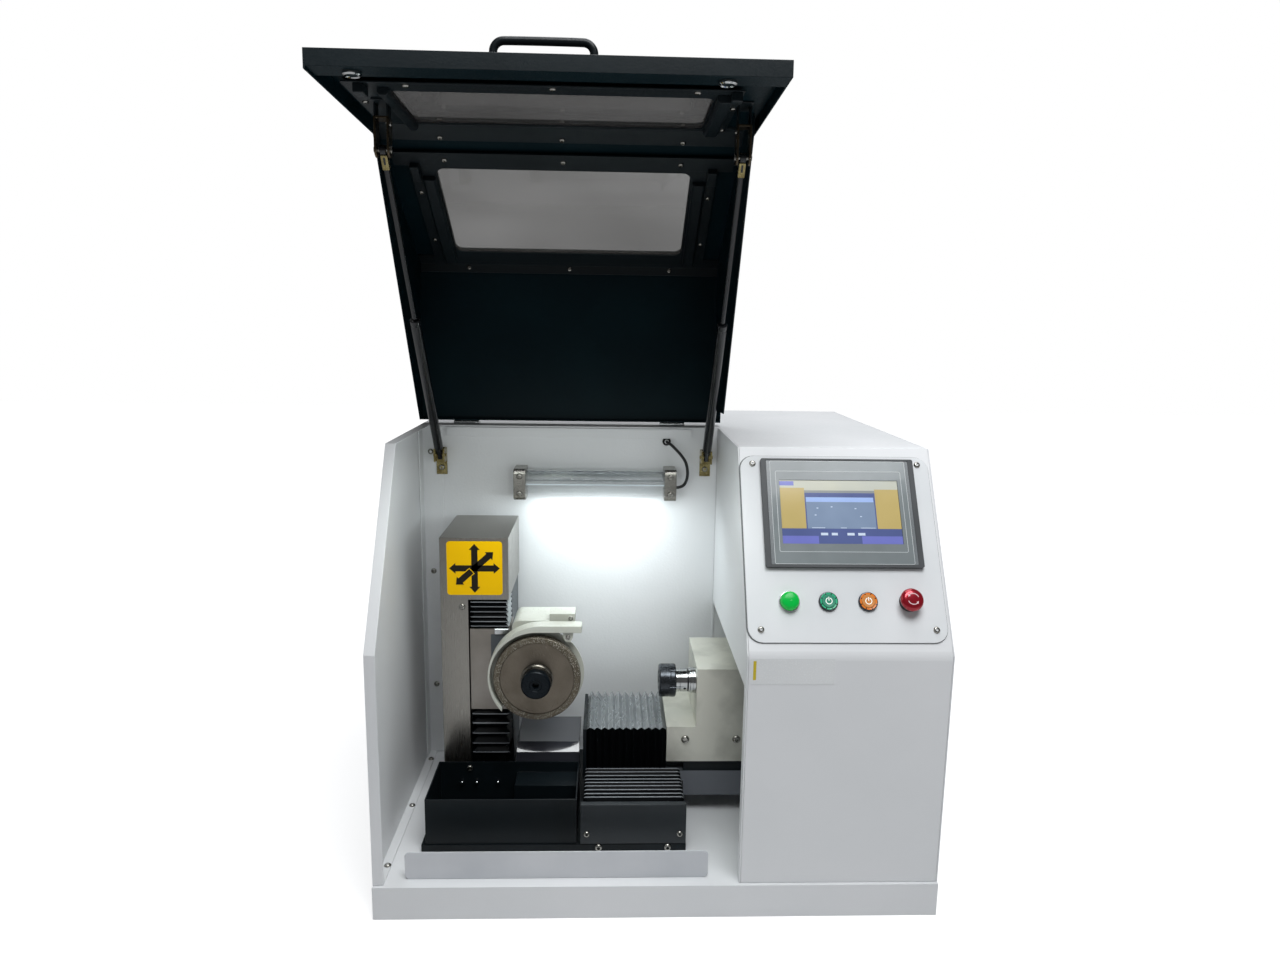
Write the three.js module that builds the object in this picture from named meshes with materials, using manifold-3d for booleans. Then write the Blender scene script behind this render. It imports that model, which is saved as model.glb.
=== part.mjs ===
// A bench-top CNC tool grinder, in millimetres, +Z up, front facing -Y.
// Places are measured from the outside of the left wall (X), the front face of the cabinet (Y)
// and the underside of the floor frame (Z); the last lines move the origin to the middle of the footprint.
import * as THREE from "three";
import { mergeVertices } from "three/addons/utils/BufferGeometryUtils.js";
import Module from "manifold-3d";

const wasm = await Module();
wasm.setup();

// Cabinet
const cabinetWidth = 780;
const cabinetDepth = 701;
const cabinetHeight = 636;
const plinthHeight = 48;
const plinthProud = 5;
const frontHeight = 378;
const slantSetback = 152;
const cabinWidth = 502;
const backWallSetback = 387;
const sheet = 2;
const seam = 0.3;
const wallFlange = 15;
const bayHeight = 330;
const overrun = 3;

// Hood
const hoodOpenAngle = 92;
const hingeSetback = 405.5;
const knuckleRadius = 3;
const hoodLeft = -3.5;
const hoodRight = 508;
const hoodSeat = 3.2;
const skirtDepth = 18;
const hoodLowerEdge = 102;

// Machine inside the cabin
const baseThickness = 11;
const columnSetback = 205;
const columnLeft = 62;
const columnWidth = 104;
const columnTop = 486;
const wheelAcross = 212;
const wheelSetback = 160;
const wheelHeight = 280;
const wheelDiameter = 131;
const spindleSetback = 209;
const spindleHeight = 258;
const nutEnd = 398;
const headLeft = 456;
const headFront = 183;
const headBack = 325;
const headTop = 286;
const headLengthShare = 0.786;
const saddleTop = 119;

// Colours from the photograph
const white = new THREE.MeshStandardMaterial({ color: 0xe4e6e6, roughness: 0.55, metalness: 0 });
const anthracite = new THREE.MeshStandardMaterial({ color: 0x1d2224, roughness: 0.6, metalness: 0.1 });
const smokedAcrylic = new THREE.MeshStandardMaterial({ color: 0x6b6a6c, roughness: 0.15, metalness: 0 });
const stainless = new THREE.MeshStandardMaterial({ color: 0xa7a396, roughness: 0.4, metalness: 0.8 });
const blackSheet = new THREE.MeshStandardMaterial({ color: 0x121415, roughness: 0.5, metalness: 0.2 });
const blackRubber = new THREE.MeshStandardMaterial({ color: 0x0c0d0d, roughness: 0.85, metalness: 0 });
const silverFabric = new THREE.MeshStandardMaterial({ color: 0x8d9092, roughness: 0.5, metalness: 0.3 });
const castIron = new THREE.MeshStandardMaterial({ color: 0x55585c, roughness: 0.6, metalness: 0.4 });
const cream = new THREE.MeshStandardMaterial({ color: 0xd6d3c6, roughness: 0.5, metalness: 0 });
const zinc = new THREE.MeshStandardMaterial({ color: 0x9a8f5f, roughness: 0.4, metalness: 0.7 });
const steel = new THREE.MeshStandardMaterial({ color: 0xb9bcbf, roughness: 0.25, metalness: 0.95 });
const abrasive = new THREE.MeshStandardMaterial({ color: 0x6f675c, roughness: 0.7, metalness: 0.4 });
const clear = new THREE.MeshStandardMaterial({ color: 0xf2fbff, roughness: 0.1, metalness: 0 });
const yellow = new THREE.MeshStandardMaterial({ color: 0xd9a800, roughness: 0.5, metalness: 0 });
const green = new THREE.MeshStandardMaterial({ color: 0x2f8f4a, roughness: 0.3, metalness: 0 });
const orange = new THREE.MeshStandardMaterial({ color: 0xd88a2a, roughness: 0.3, metalness: 0 });
const red = new THREE.MeshStandardMaterial({ color: 0xb5201c, roughness: 0.4, metalness: 0 });
const darkPlastic = new THREE.MeshStandardMaterial({ color: 0x2a2c2e, roughness: 0.5, metalness: 0 });

const roundSides = 28;
const smallSides = 14;
const boltSides = 8;
const cornerSteps = 3;
const weldDistance = 1e-4;

// Solids and booleans

function toSolid(geometry) {
  const bare = new THREE.BufferGeometry();
  const source = geometry.index ? geometry.toNonIndexed() : geometry;
  bare.setAttribute("position", source.getAttribute("position").clone());
  const merged = mergeVertices(bare, weldDistance);
  const index = merged.index.array;
  const kept = [];
  for (let i = 0; i < index.length; i += 3) {
    const [a, b, c] = [index[i], index[i + 1], index[i + 2]];
    if (a !== b && b !== c && c !== a) kept.push(a, b, c);
  }
  const mesh = new wasm.Mesh({
    numProp: 3,
    vertProperties: merged.attributes.position.array,
    triVerts: new Uint32Array(kept),
  });
  const made = new wasm.Manifold(mesh);
  if (made.volume() > 0) return made;
  mesh.triVerts = mesh.triVerts.map((v, i, all) => (i % 3 === 1 ? all[i + 1] : i % 3 === 2 ? all[i - 1] : v));
  return new wasm.Manifold(mesh);
}

function toGeometry(solid) {
  const mesh = solid.getMesh();
  const geometry = new THREE.BufferGeometry();
  geometry.setAttribute("position", new THREE.BufferAttribute(new Float32Array(mesh.vertProperties), 3));
  geometry.setIndex(new THREE.BufferAttribute(new Uint32Array(mesh.triVerts), 1));
  return geometry;
}

const join = (...pieces) => toGeometry(pieces.flat().map(toSolid).reduce((a, b) => a.add(b)));

const cut = (piece, ...tools) => toGeometry(tools.flat().map(toSolid).reduce((a, b) => a.subtract(b), toSolid(piece)));

// A box between three pairs of planes
function block([x0, x1], [y0, y1], [z0, z1]) {
  const geometry = new THREE.BoxGeometry(x1 - x0, y1 - y0, z1 - z0);
  return geometry.translate((x0 + x1) / 2, (y0 + y1) / 2, (z0 + z1) / 2);
}

// Turns a shape drawn in X and Y, and deep in Z, so that its depth lies along the named axis.
// Along x the drawing holds [y, z], along y it holds [x, z], along z it holds [x, y].
function alongAxis(axis, geometry, from, to) {
  const turn = new THREE.Matrix4();
  if (axis === "x") {
    turn.makeBasis(new THREE.Vector3(0, 1, 0), new THREE.Vector3(0, 0, 1), new THREE.Vector3(1, 0, 0));
    return geometry.applyMatrix4(turn).translate(from, 0, 0);
  }
  if (axis === "y") {
    turn.makeBasis(new THREE.Vector3(1, 0, 0), new THREE.Vector3(0, 0, 1), new THREE.Vector3(0, -1, 0));
    return geometry.applyMatrix4(turn).translate(0, to, 0);
  }
  return geometry.translate(0, 0, from);
}

function prism(axis, outline, [from, to]) {
  const shape = Array.isArray(outline) ? new THREE.Shape(outline.map(([u, v]) => new THREE.Vector2(u, v))) : outline;
  const options = { depth: to - from, bevelEnabled: false, curveSegments: cornerSteps };
  return alongAxis(axis, new THREE.ExtrudeGeometry(shape, options), from, to);
}

function roundedRectangle([u0, u1], [v0, v1], radius) {
  const quarter = Math.PI / 2;
  const shape = new THREE.Shape();
  shape.moveTo(u0 + radius, v0);
  shape.lineTo(u1 - radius, v0);
  shape.absarc(u1 - radius, v0 + radius, radius, -quarter, 0);
  shape.lineTo(u1, v1 - radius);
  shape.absarc(u1 - radius, v1 - radius, radius, 0, quarter);
  shape.lineTo(u0 + radius, v1);
  shape.absarc(u0 + radius, v1 - radius, radius, quarter, 2 * quarter);
  shape.lineTo(u0, v0 + radius);
  shape.absarc(u0 + radius, v0 + radius, radius, 2 * quarter, 3 * quarter);
  return shape;
}

// A round bar along an axis; the centre is given in the same two directions as a prism's drawing
function rod(axis, radius, [from, to], [u, v], sides = smallSides) {
  const shape = new THREE.Shape();
  for (let i = 0; i < sides; i += 1) {
    const angle = (2 * Math.PI * (i + 0.5)) / sides;
    const point = [u + radius * Math.cos(angle), v + radius * Math.sin(angle)];
    if (i === 0) shape.moveTo(...point);
    else shape.lineTo(...point);
  }
  return prism(axis, shape, [from, to]);
}

const ring = (axis, outer, inner, [from, to], centre, sides = roundSides) =>
  cut(rod(axis, outer, [from, to], centre, sides), rod(axis, inner, [from - overrun, to + overrun], centre, sides));

// A turned piece: the profile holds [radius, place along the axis]
function turned(axis, profile, [u, v], sides = roundSides) {
  const lathe = new THREE.LatheGeometry(profile.map(([r, h]) => new THREE.Vector2(r, h)), sides);
  if (axis === "x") return lathe.rotateZ(-Math.PI / 2).translate(0, u, v);
  if (axis === "y") return lathe.translate(u, 0, v);
  return lathe.rotateX(Math.PI / 2).translate(u, v, 0);
}

// The path moved sideways by a distance, outwards for a path that runs forwards over the top and down the front
function offsetPath(path, distance) {
  const normals = path.slice(1).map(([y, z], i) => {
    const [dy, dz] = [y - path[i][0], z - path[i][1]];
    const length = Math.hypot(dy, dz);
    return [dz / length, -dy / length];
  });
  return path.map(([y, z], i) => {
    const before = normals[Math.max(i - 1, 0)];
    const after = normals[Math.min(i, normals.length - 1)];
    const bisector = [before[0] + after[0], before[1] + after[1]];
    const scale = (2 * distance) / (bisector[0] ** 2 + bisector[1] ** 2);
    return [y + bisector[0] * scale, z + bisector[1] * scale];
  });
}

// The section of a folded sheet between two offsets of its path
const foldedSection = (path, inner, outer) => [...offsetPath(path, outer), ...offsetPath(path, inner).reverse()];

// A pleated box along x or y, with a plain underside: its sections are full size and drawn in by turns
function pleated(axis, [u0, u1], [v0, v1], [from, to], pleats, fold) {
  const positions = [];
  const index = [];
  const steps = 2 * pleats;
  for (let i = 0; i <= steps; i += 1) {
    const inset = i % 2 === 0 ? fold : 0;
    const w = from + ((to - from) * i) / steps;
    const corners = [
      [u0 + inset, v0],
      [u1 - inset, v0],
      [u1 - inset, v1 - inset],
      [u0 + inset, v1 - inset],
    ];
    corners.forEach(([u, v]) => positions.push(u, v, w));
  }
  for (let i = 0; i < steps; i += 1) {
    for (let k = 0; k < 4; k += 1) {
      const [a, b] = [4 * i + k, 4 * i + ((k + 1) % 4)];
      index.push(a, b, b + 4, a, b + 4, a + 4);
    }
  }
  const last = 4 * steps;
  index.push(0, 2, 1, 0, 3, 2, last, last + 1, last + 2, last, last + 2, last + 3);
  const geometry = new THREE.BufferGeometry();
  geometry.setAttribute("position", new THREE.Float32BufferAttribute(positions, 3));
  geometry.setIndex(index);
  const turn = new THREE.Matrix4();
  if (axis === "x") turn.makeBasis(new THREE.Vector3(0, 1, 0), new THREE.Vector3(0, 0, 1), new THREE.Vector3(1, 0, 0));
  else turn.makeBasis(new THREE.Vector3(1, 0, 0), new THREE.Vector3(0, 0, 1), new THREE.Vector3(0, 1, 0));
  return geometry.applyMatrix4(turn);
}

// The low dome of a button-head screw on a face; it looks along the axis, or against it
function screwHead(axis, face, centre, looks = -1) {
  const profile = [
    [0, face - looks * screwSink],
    [screwSize, face - looks * screwSink],
    [screwSize, face + looks * screwRim],
    [screwCrown, face + looks * screwRise],
    [0, face + looks * screwRise],
  ];
  return turned(axis, profile, centre, boltSides);
}

function piece(name, geometry, material) {
  const shown = geometry.index ? geometry.toNonIndexed() : geometry;
  shown.computeVertexNormals();
  const mesh = new THREE.Mesh(shown, material);
  mesh.name = name;
  return mesh;
}

const assembly = new THREE.Group();

// Screws
const screwSize = 4.6;
const screwCrown = 3.2;
const screwRise = 1.3;
const screwRim = 0.7;
const screwSink = 0.5;

// Faces and paths that several pieces share
const slant = Math.atan2(slantSetback, cabinetHeight - frontHeight);
const floorFace = plinthHeight + seam;
const roofLap = 18;
const frontPath = [
  [slantSetback, cabinetHeight],
  [0, frontHeight],
  [0, floorFace],
];
const lappedPath = [[slantSetback + roofLap, cabinetHeight], ...frontPath];
const sideProfile = [
  [0, floorFace],
  [0, frontHeight],
  [slantSetback, cabinetHeight],
  [cabinetDepth, cabinetHeight],
  [cabinetDepth, floorFace],
];
const partitionRight = cabinWidth + sheet;
const bayLeft = partitionRight + seam;
const rightWallLeft = cabinetWidth - sheet;

// Floor frame
const ventLength = 120;
const ventWidth = 16;
const ventInset = 130;

function floorFrame() {
  const width = [0, cabinetWidth];
  const depth = [-plinthProud, cabinetDepth];
  const outer = block(width, depth, [0, plinthHeight]);
  const hollow = block(
    [sheet, cabinetWidth - sheet],
    [sheet - plinthProud, cabinetDepth - sheet],
    [sheet, plinthHeight - sheet],
  );
  const vents = [ventInset, cabinetWidth - ventInset - ventLength].flatMap((x) =>
    [ventInset, cabinetDepth - ventInset - ventWidth].map((y) =>
      prism("z", roundedRectangle([x, x + ventLength], [y, y + ventWidth], ventWidth / 2 - seam), [-overrun, sheet * 2]),
    ),
  );
  return cut(outer, hollow, vents);
}

assembly.add(piece("floor_frame", floorFrame(), white));

// Left wall
function leftWall() {
  const plate = prism("x", sideProfile, [0, sheet]);
  const rimPath = [[backWallSetback - seam, cabinetHeight], ...frontPath];
  const rim = prism("x", foldedSection(rimPath, -sheet, 0), [0, wallFlange]);
  const foot = block([0, wallFlange], [0, backWallSetback - seam], [floorFace, floorFace + sheet]);
  const screws = wallFootScrewShares.map((share) =>
    screwHead("z", floorFace + sheet, [wallFlange - screwSize, share * backWallSetback], 1),
  );
  return join(plate, rim, foot, screws);
}

const wallFootScrewShares = [0.11, 0.52];

assembly.add(piece("left_wall", leftWall(), white));

// Back wall of the cabin, with the corner angle that holds it and the top rail
const backFlangeDepth = 14;
const cornerAngleWidth = 34;
const cornerAngleDepth = 26;
const cornerScrewPitch = 175;
const cornerScrewFirst = 66;
const railLow = 617;
const railHigh = 633;
const railProud = 4;
const railInset = 45;
const grommetShare = 0.8267;
const grommetAcross = cabinWidth * grommetShare;
const grommetBelowTop = 24;
const grommetHeight = cabinetHeight - grommetBelowTop;
const grommetRadius = 6;
const grommetLength = 5;
const cornerScrews = 4;
const roofFront = backWallSetback + backFlangeDepth + seam;

function backWall() {
  const [left, right] = [sheet + seam, cabinWidth - seam];
  const plate = block([left, right], [backWallSetback, backWallSetback + sheet], [floorFace, cabinetHeight]);
  const flange = block([left, right], [backWallSetback, backWallSetback + backFlangeDepth], [cabinetHeight - sheet, cabinetHeight]);
  const angleFace = backWallSetback - sheet;
  const angleTop = cabinetHeight - sheet - seam;
  const angleFoot = floorFace + sheet + seam;
  const leg = block([left, left + cornerAngleWidth], [angleFace, backWallSetback + sheet / 2], [angleFoot, angleTop]);
  const side = block([left, left + sheet], [angleFace - cornerAngleDepth, angleFace + sheet / 2], [angleFoot, angleTop]);
  const rail = block([railInset, cabinWidth - railInset], [backWallSetback - railProud, backWallSetback + sheet / 2], [railLow, railHigh]);
  const screws = Array.from({ length: cornerScrews }, (_, i) =>
    screwHead("y", angleFace, [left + cornerAngleWidth / 2 - sheet, cornerScrewFirst + i * cornerScrewPitch]),
  );
  const grommet = turned(
    "y",
    [
      [0, backWallSetback - grommetLength],
      [grommetRadius / 2, backWallSetback - grommetLength],
      [grommetRadius, backWallSetback - sheet],
      [grommetRadius, backWallSetback + sheet / 2],
      [0, backWallSetback + sheet / 2],
    ],
    [grommetAcross, grommetHeight],
    smallSides,
  );
  return join(plate, flange, leg, side, rail, screws, grommet);
}

assembly.add(piece("back_wall", backWall(), white));

// Partition between the cabin and the control cabinet, open below for the workhead
const pillarWidth = 17;
const roofUnderside = cabinetHeight - sheet - seam;

function partition() {
  const outline = [
    [0, floorFace],
    [0, frontHeight],
    [slantSetback, cabinetHeight],
    [roofFront - seam, cabinetHeight],
    [roofFront - seam, roofUnderside],
    [cabinetDepth - sheet - seam, roofUnderside],
    [cabinetDepth - sheet - seam, floorFace],
  ];
  const plate = prism("x", outline, [cabinWidth, partitionRight]);
  const opening = block(
    [cabinWidth - overrun, partitionRight + overrun],
    [pillarWidth, backWallSetback - sheet],
    [floorFace - overrun, bayHeight],
  );
  return cut(plate, opening);
}

assembly.add(piece("partition", partition(), white));

// Right wall, with a folded edge behind the front of the control cabinet
function rightWall() {
  const plate = prism("x", sideProfile, [rightWallLeft, cabinetWidth]);
  const lap = sheet + seam;
  const rim = prism("x", foldedSection(lappedPath, -lap - sheet, -lap), [rightWallLeft - wallFlange, rightWallLeft + sheet / 2]);
  const low = block([rightWallLeft - wallFlange, cabinetWidth], [0, sheet + lap], [floorFace - overrun, floorFace]);
  return cut(join(plate, rim), low);
}

assembly.add(piece("right_wall", rightWall(), white));

// Things on the slanted front are drawn flat: x across, z up the slope from the bend, y into the cabinet
const slopeLength = Math.hypot(slantSetback, cabinetHeight - frontHeight);
const controlPlateMargin = 6;
const controlPlateLeft = partitionRight;
const controlPlateRight = cabinetWidth - controlPlateMargin;
const acrossPlate = (share) => controlPlateLeft + share * (controlPlateRight - controlPlateLeft);
const controlPlateLow = 18;
const controlPlateHigh = 285;
const controlPlateThickness = 2;
const controlPlateCorner = 20;
const panelShares = [0.1037, 0.913];
const [panelLeft, panelRight] = panelShares.map(acrossPlate);
const panelLow = 119.7;
const panelHigh = 279;
const panelProud = 6;
const panelCorner = 9;
const panelBodyInset = 9;
const panelBodyDepth = 34;
const screenShares = [0.1963, 0.8185];
const [screenLeft, screenRight] = screenShares.map(acrossPlate);
const screenLow = 153;
const screenHigh = 246.5;
const screenRecess = 2;
const glassThickness = 1.5;
const buttonRow = 73.4;
const buttonShares = [0.2137, 0.41, 0.61, 0.8185];
const [lampAcross, startAcross, resetAcross, stopAcross] = buttonShares.map(acrossPlate);
const bezelRadius = 13.2;
const bezelProud = 4;
const barrelRadius = 10.9;
const barrelLength = 26;
const barrelHoleRadius = 11.3;
const capRadius = 9.2;
const capClearance = 0.4;
const capProud = 1.2;
const capTravel = 3;
const capThickness = 5;
const plungerRadius = 3;
const plungerClearance = 0.35;
const domeRadius = 13.5;
const domeHeight = 11;
const mushroomRadius = 15.6;
const mushroomHeight = 9;
const mushroomCrownShare = 0.72;
const neckRadius = 8;
const stopCollarRadius = 13.6;
const stopCollarHeight = 6;
const stopTravel = 4;

const slopeGroup = new THREE.Group();
slopeGroup.position.set(0, 0, frontHeight);
slopeGroup.rotation.x = -slant;
slopeGroup.updateMatrix();
const onSlope = (geometry) => geometry.clone().applyMatrix4(slopeGroup.matrix);

const buttonsAcross = [lampAcross, startAcross, resetAcross, stopAcross];
const plateFace = -seam - controlPlateThickness;
const panelBodyWindow = [
  [panelLeft + panelBodyInset - seam, panelRight - panelBodyInset + seam],
  [panelLow + panelBodyInset - seam, panelHigh - panelBodyInset + seam],
];

function slopeOpenings() {
  const through = [plateFace - overrun, sheet + overrun];
  const [across, up] = panelBodyWindow;
  return [
    block(across, through, up),
    ...buttonsAcross.map((x) => rod("y", barrelHoleRadius, through, [x, buttonRow])),
  ];
}

// Folded front of the control cabinet
function controlFront() {
  const front = prism("x", foldedSection(lappedPath, -sheet, 0), [bayLeft, rightWallLeft - seam]);
  return cut(front, slopeOpenings().map(onSlope));
}

assembly.add(piece("control_front", controlFront(), white));

// Roof, L-shaped: over the rear of the cabin and all of the control cabinet
function roof() {
  const outline = [
    [sheet + seam, roofFront],
    [bayLeft, roofFront],
    [bayLeft, slantSetback + roofLap + seam],
    [rightWallLeft - seam, slantSetback + roofLap + seam],
    [rightWallLeft - seam, cabinetDepth - sheet - seam],
    [sheet + seam, cabinetDepth - sheet - seam],
  ];
  return prism("z", outline, [cabinetHeight - sheet, cabinetHeight]);
}

assembly.add(piece("roof", roof(), white));

// Rear panel with two banks of vents and the gland of the supply cable
const slotLength = 90;
const slotHeight = 5;
const slotPitch = 14;
const slotCount = 7;
const slotBankTop = 590;
const slotBankShares = [0.192, 0.82];
const glandShare = 0.897;
const glandHeight = 110;
const glandFlange = 15;
const glandNut = 11;
const glandFlangeThickness = 4;
const glandLength = 22;

function rearPanel() {
  const face = cabinetDepth;
  const plate = block([sheet + seam, rightWallLeft - seam], [face - sheet, face], [floorFace, cabinetHeight]);
  const slots = slotBankShares.flatMap((share) =>
    Array.from({ length: slotCount }, (_, i) => {
      const x = share * cabinetWidth;
      const z = slotBankTop - i * slotPitch;
      return block([x - slotLength / 2, x + slotLength / 2], [face - sheet - overrun, face + overrun], [z, z + slotHeight]);
    }),
  );
  const gland = turned(
    "y",
    [
      [0, face - sheet / 2],
      [glandFlange, face - sheet / 2],
      [glandFlange, face + glandFlangeThickness],
      [glandNut, face + glandFlangeThickness],
      [glandNut, face + glandLength - glandFlangeThickness],
      [glandNut / 2, face + glandLength],
      [0, face + glandLength],
    ],
    [glandShare * cabinetWidth, glandHeight],
    boltSides,
  );
  return join(cut(plate, slots), gland);
}

assembly.add(piece("rear_panel", rearPanel(), white));

// Shelf over the workhead bay, folded up at the rear, with a screen down to the floor behind the bay
const shelfFront = 8;
const shelfFlange = 20;

function bayShelf() {
  const rear = cabinetDepth - sheet - seam;
  const across = [bayLeft, rightWallLeft - seam];
  const plate = block(across, [shelfFront, rear], [bayHeight, bayHeight + sheet]);
  const flange = block(across, [rear - sheet, rear], [bayHeight, bayHeight + shelfFlange]);
  const screen = block(across, [backWallSetback, backWallSetback + sheet], [floorFace, bayHeight + sheet / 2]);
  return join(plate, flange, screen);
}

assembly.add(piece("bay_shelf", bayShelf(), white));

// Sill plate standing on the floor at the front
const sillLeft = 41;
const sillRight = 460;
const sillSetback = 14;
const sillHeight = 40;
const sillCorner = 6;
const sillFoot = 18;

function frontSill() {
  const foot = floorFace;
  const outline = roundedRectangle([sillLeft, sillRight], [foot, foot + sillHeight], sillCorner);
  const plate = prism("y", outline, [sillSetback, sillSetback + sheet]);
  const flange = block([sillLeft + sillCorner, sillRight - sillCorner], [sillSetback + sheet / 2, sillSetback + sillFoot], [foot, foot + sheet]);
  return join(plate, flange);
}

assembly.add(piece("front_sill", frontSill(), white));

// Electrics plate above the shelf: power supply, three drives and a terminal strip
const electricsLeftMargin = 26;
const electricsRightMargin = 30;
const electricsLeft = partitionRight + electricsLeftMargin;
const electricsRight = cabinetWidth - electricsRightMargin;
const drivePitchShare = 0.318;
const platePitch = (electricsRight - electricsLeft) * drivePitchShare;
const electricsLow = 352;
const electricsHigh = 610;
const electricsStandoff = 18;
const bossRadius = 6;
const driveWidth = (platePitch * 2) / 3;
const driveHeight = 120;
const driveDepth = 90;
const supplyHeight = 60;
const supplyDepth = 50;
const terminalHeight = 22;
const terminalDepth = 30;

function electricsPlate() {
  const rear = cabinetDepth - sheet - seam;
  const face = rear - electricsStandoff;
  const plate = block([electricsLeft, electricsRight], [face - sheet, face], [electricsLow, electricsHigh]);
  const bosses = [electricsLeft + platePitch / 2, electricsRight - platePitch / 2].flatMap((x) =>
    [electricsLow + platePitch, electricsHigh - platePitch / 4].map((z) => rod("y", bossRadius, [face - sheet / 2, rear], [x, z], boltSides)),
  );
  const drives = [0, 1, 2].map((i) => {
    const x = electricsLeft + platePitch / 8 + i * platePitch;
    return block([x, x + driveWidth], [face - sheet - driveDepth, face - sheet / 2], [electricsHigh - driveHeight - sheet, electricsHigh - sheet]);
  });
  const inset = platePitch / 8;
  const supply = block(
    [electricsLeft + inset, electricsRight - inset],
    [face - sheet - supplyDepth, face - sheet / 2],
    [electricsLow + terminalHeight * 2, electricsLow + terminalHeight * 2 + supplyHeight],
  );
  const terminals = block(
    [electricsLeft + inset, electricsRight - inset],
    [face - sheet - terminalDepth, face - sheet / 2],
    [electricsLow + inset, electricsLow + inset + terminalHeight],
  );
  return join(plate, bosses, drives, supply, terminals);
}

assembly.add(piece("electrics_plate", electricsPlate(), castIron));

// Control panel
const plateScrewInset = 17.5;
const plateScrewTop = 12;

function controlPlate() {
  const outline = roundedRectangle([controlPlateLeft, controlPlateRight], [controlPlateLow, controlPlateHigh], controlPlateCorner);
  const plate = prism("y", outline, [plateFace, -seam]);
  const screws = [controlPlateLeft + plateScrewInset, controlPlateRight - plateScrewInset + sheet].flatMap((x) =>
    [controlPlateLow + plateScrewInset - seam, controlPlateHigh - plateScrewTop].map((z) => screwHead("y", plateFace, [x, z])),
  );
  return join(cut(plate, slopeOpenings()), screws);
}

function operatorPanel() {
  const back = plateFace - seam;
  const face = back - panelProud;
  const bezel = prism("y", roundedRectangle([panelLeft, panelRight], [panelLow, panelHigh], panelCorner), [face, back]);
  const body = block(
    [panelLeft + panelBodyInset, panelRight - panelBodyInset],
    [back - panelProud / 2, back + panelBodyDepth],
    [panelLow + panelBodyInset, panelHigh - panelBodyInset],
  );
  const recess = block([screenLeft, screenRight], [face - overrun, face + screenRecess], [screenLow, screenHigh]);
  return cut(join(bezel, body), recess);
}

function screenGlass() {
  const front = plateFace - seam - panelProud + screenRecess - seam;
  return block(
    [screenLeft + seam, screenRight - seam],
    [front - glassThickness, front],
    [screenLow + seam, screenHigh - seam],
  );
}

function signalLamp() {
  const back = plateFace - seam;
  const rim = domeHeight / 3;
  const profile = [[0, back - domeHeight]];
  for (let i = 1; i <= cornerSteps; i += 1) {
    const angle = (Math.PI / 2) * (i / cornerSteps);
    profile.push([(domeRadius - sheet) * Math.sin(angle), back - rim - (domeHeight - rim) * Math.cos(angle)]);
  }
  profile.push([domeRadius, back - rim], [domeRadius, back], [barrelRadius, back], [barrelRadius, back + barrelLength], [0, back + barrelLength]);
  return turned("y", profile, [lampAcross, buttonRow], roundSides);
}

function buttonBody(across) {
  const back = plateFace - seam;
  const bore = capRadius + capClearance;
  const boreDepth = capThickness + capTravel;
  const profile = [
    [bore, back - bezelProud],
    [bezelRadius - sheet / 2, back - bezelProud],
    [bezelRadius, back - bezelProud / 2],
    [bezelRadius, back],
    [barrelRadius, back],
    [barrelRadius, back + barrelLength],
    [plungerRadius + plungerClearance, back + barrelLength],
    [plungerRadius + plungerClearance, back - bezelProud + boreDepth],
    [bore, back - bezelProud + boreDepth],
    [bore, back - bezelProud],
  ];
  return turned("y", profile, [across, buttonRow], roundSides);
}

function buttonCap(across) {
  const front = plateFace - seam - bezelProud - capProud;
  const end = plateFace - seam + barrelLength - capTravel;
  const profile = [
    [0, front],
    [capRadius - sheet / 2, front],
    [capRadius, front + sheet / 2],
    [capRadius, front + capThickness],
    [plungerRadius, front + capThickness],
    [plungerRadius, end],
    [0, end],
  ];
  return turned("y", profile, [across, buttonRow], smallSides * 2);
}

function stopBody() {
  const back = plateFace - seam;
  const bore = neckRadius + capClearance;
  const boreEnd = back + barrelLength / 2;
  const profile = [
    [bore, back - stopCollarHeight],
    [stopCollarRadius - sheet, back - stopCollarHeight],
    [stopCollarRadius, back - stopCollarHeight / 2],
    [stopCollarRadius, back],
    [barrelRadius, back],
    [barrelRadius, back + barrelLength],
    [plungerRadius + plungerClearance, back + barrelLength],
    [plungerRadius + plungerClearance, boreEnd],
    [bore, boreEnd],
    [bore, back - stopCollarHeight],
  ];
  return turned("y", profile, [stopAcross, buttonRow], roundSides);
}

function stopHead() {
  const collar = plateFace - seam - stopCollarHeight;
  const under = collar - stopTravel - seam;
  const top = under - mushroomHeight;
  const boreEnd = plateFace - seam + barrelLength / 2;
  const profile = [
    [0, top],
    [mushroomRadius * mushroomCrownShare, top + sheet / 2],
    [mushroomRadius, top + mushroomHeight / 2],
    [mushroomRadius, under - sheet],
    [mushroomRadius - sheet, under],
    [neckRadius, under],
    [neckRadius, boreEnd - stopTravel - seam],
    [plungerRadius, boreEnd - stopTravel - seam],
    [plungerRadius, plateFace - seam + barrelLength - stopTravel],
    [0, plateFace - seam + barrelLength - stopTravel],
  ];
  return turned("y", profile, [stopAcross, buttonRow], roundSides);
}

slopeGroup.add(
  piece("control_plate", controlPlate(), white),
  piece("operator_panel", operatorPanel(), darkPlastic),
  piece("screen_glass", screenGlass(), smokedAcrylic),
  piece("signal_lamp", signalLamp(), green),
  piece("start_button_body", buttonBody(startAcross), steel),
  piece("start_button_cap", buttonCap(startAcross), green),
  piece("reset_button_body", buttonBody(resetAcross), steel),
  piece("reset_button_cap", buttonCap(resetAcross), orange),
  piece("stop_button_body", stopBody(), darkPlastic),
  piece("stop_button_head", stopHead(), red),
);
assembly.add(slopeGroup);

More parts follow.
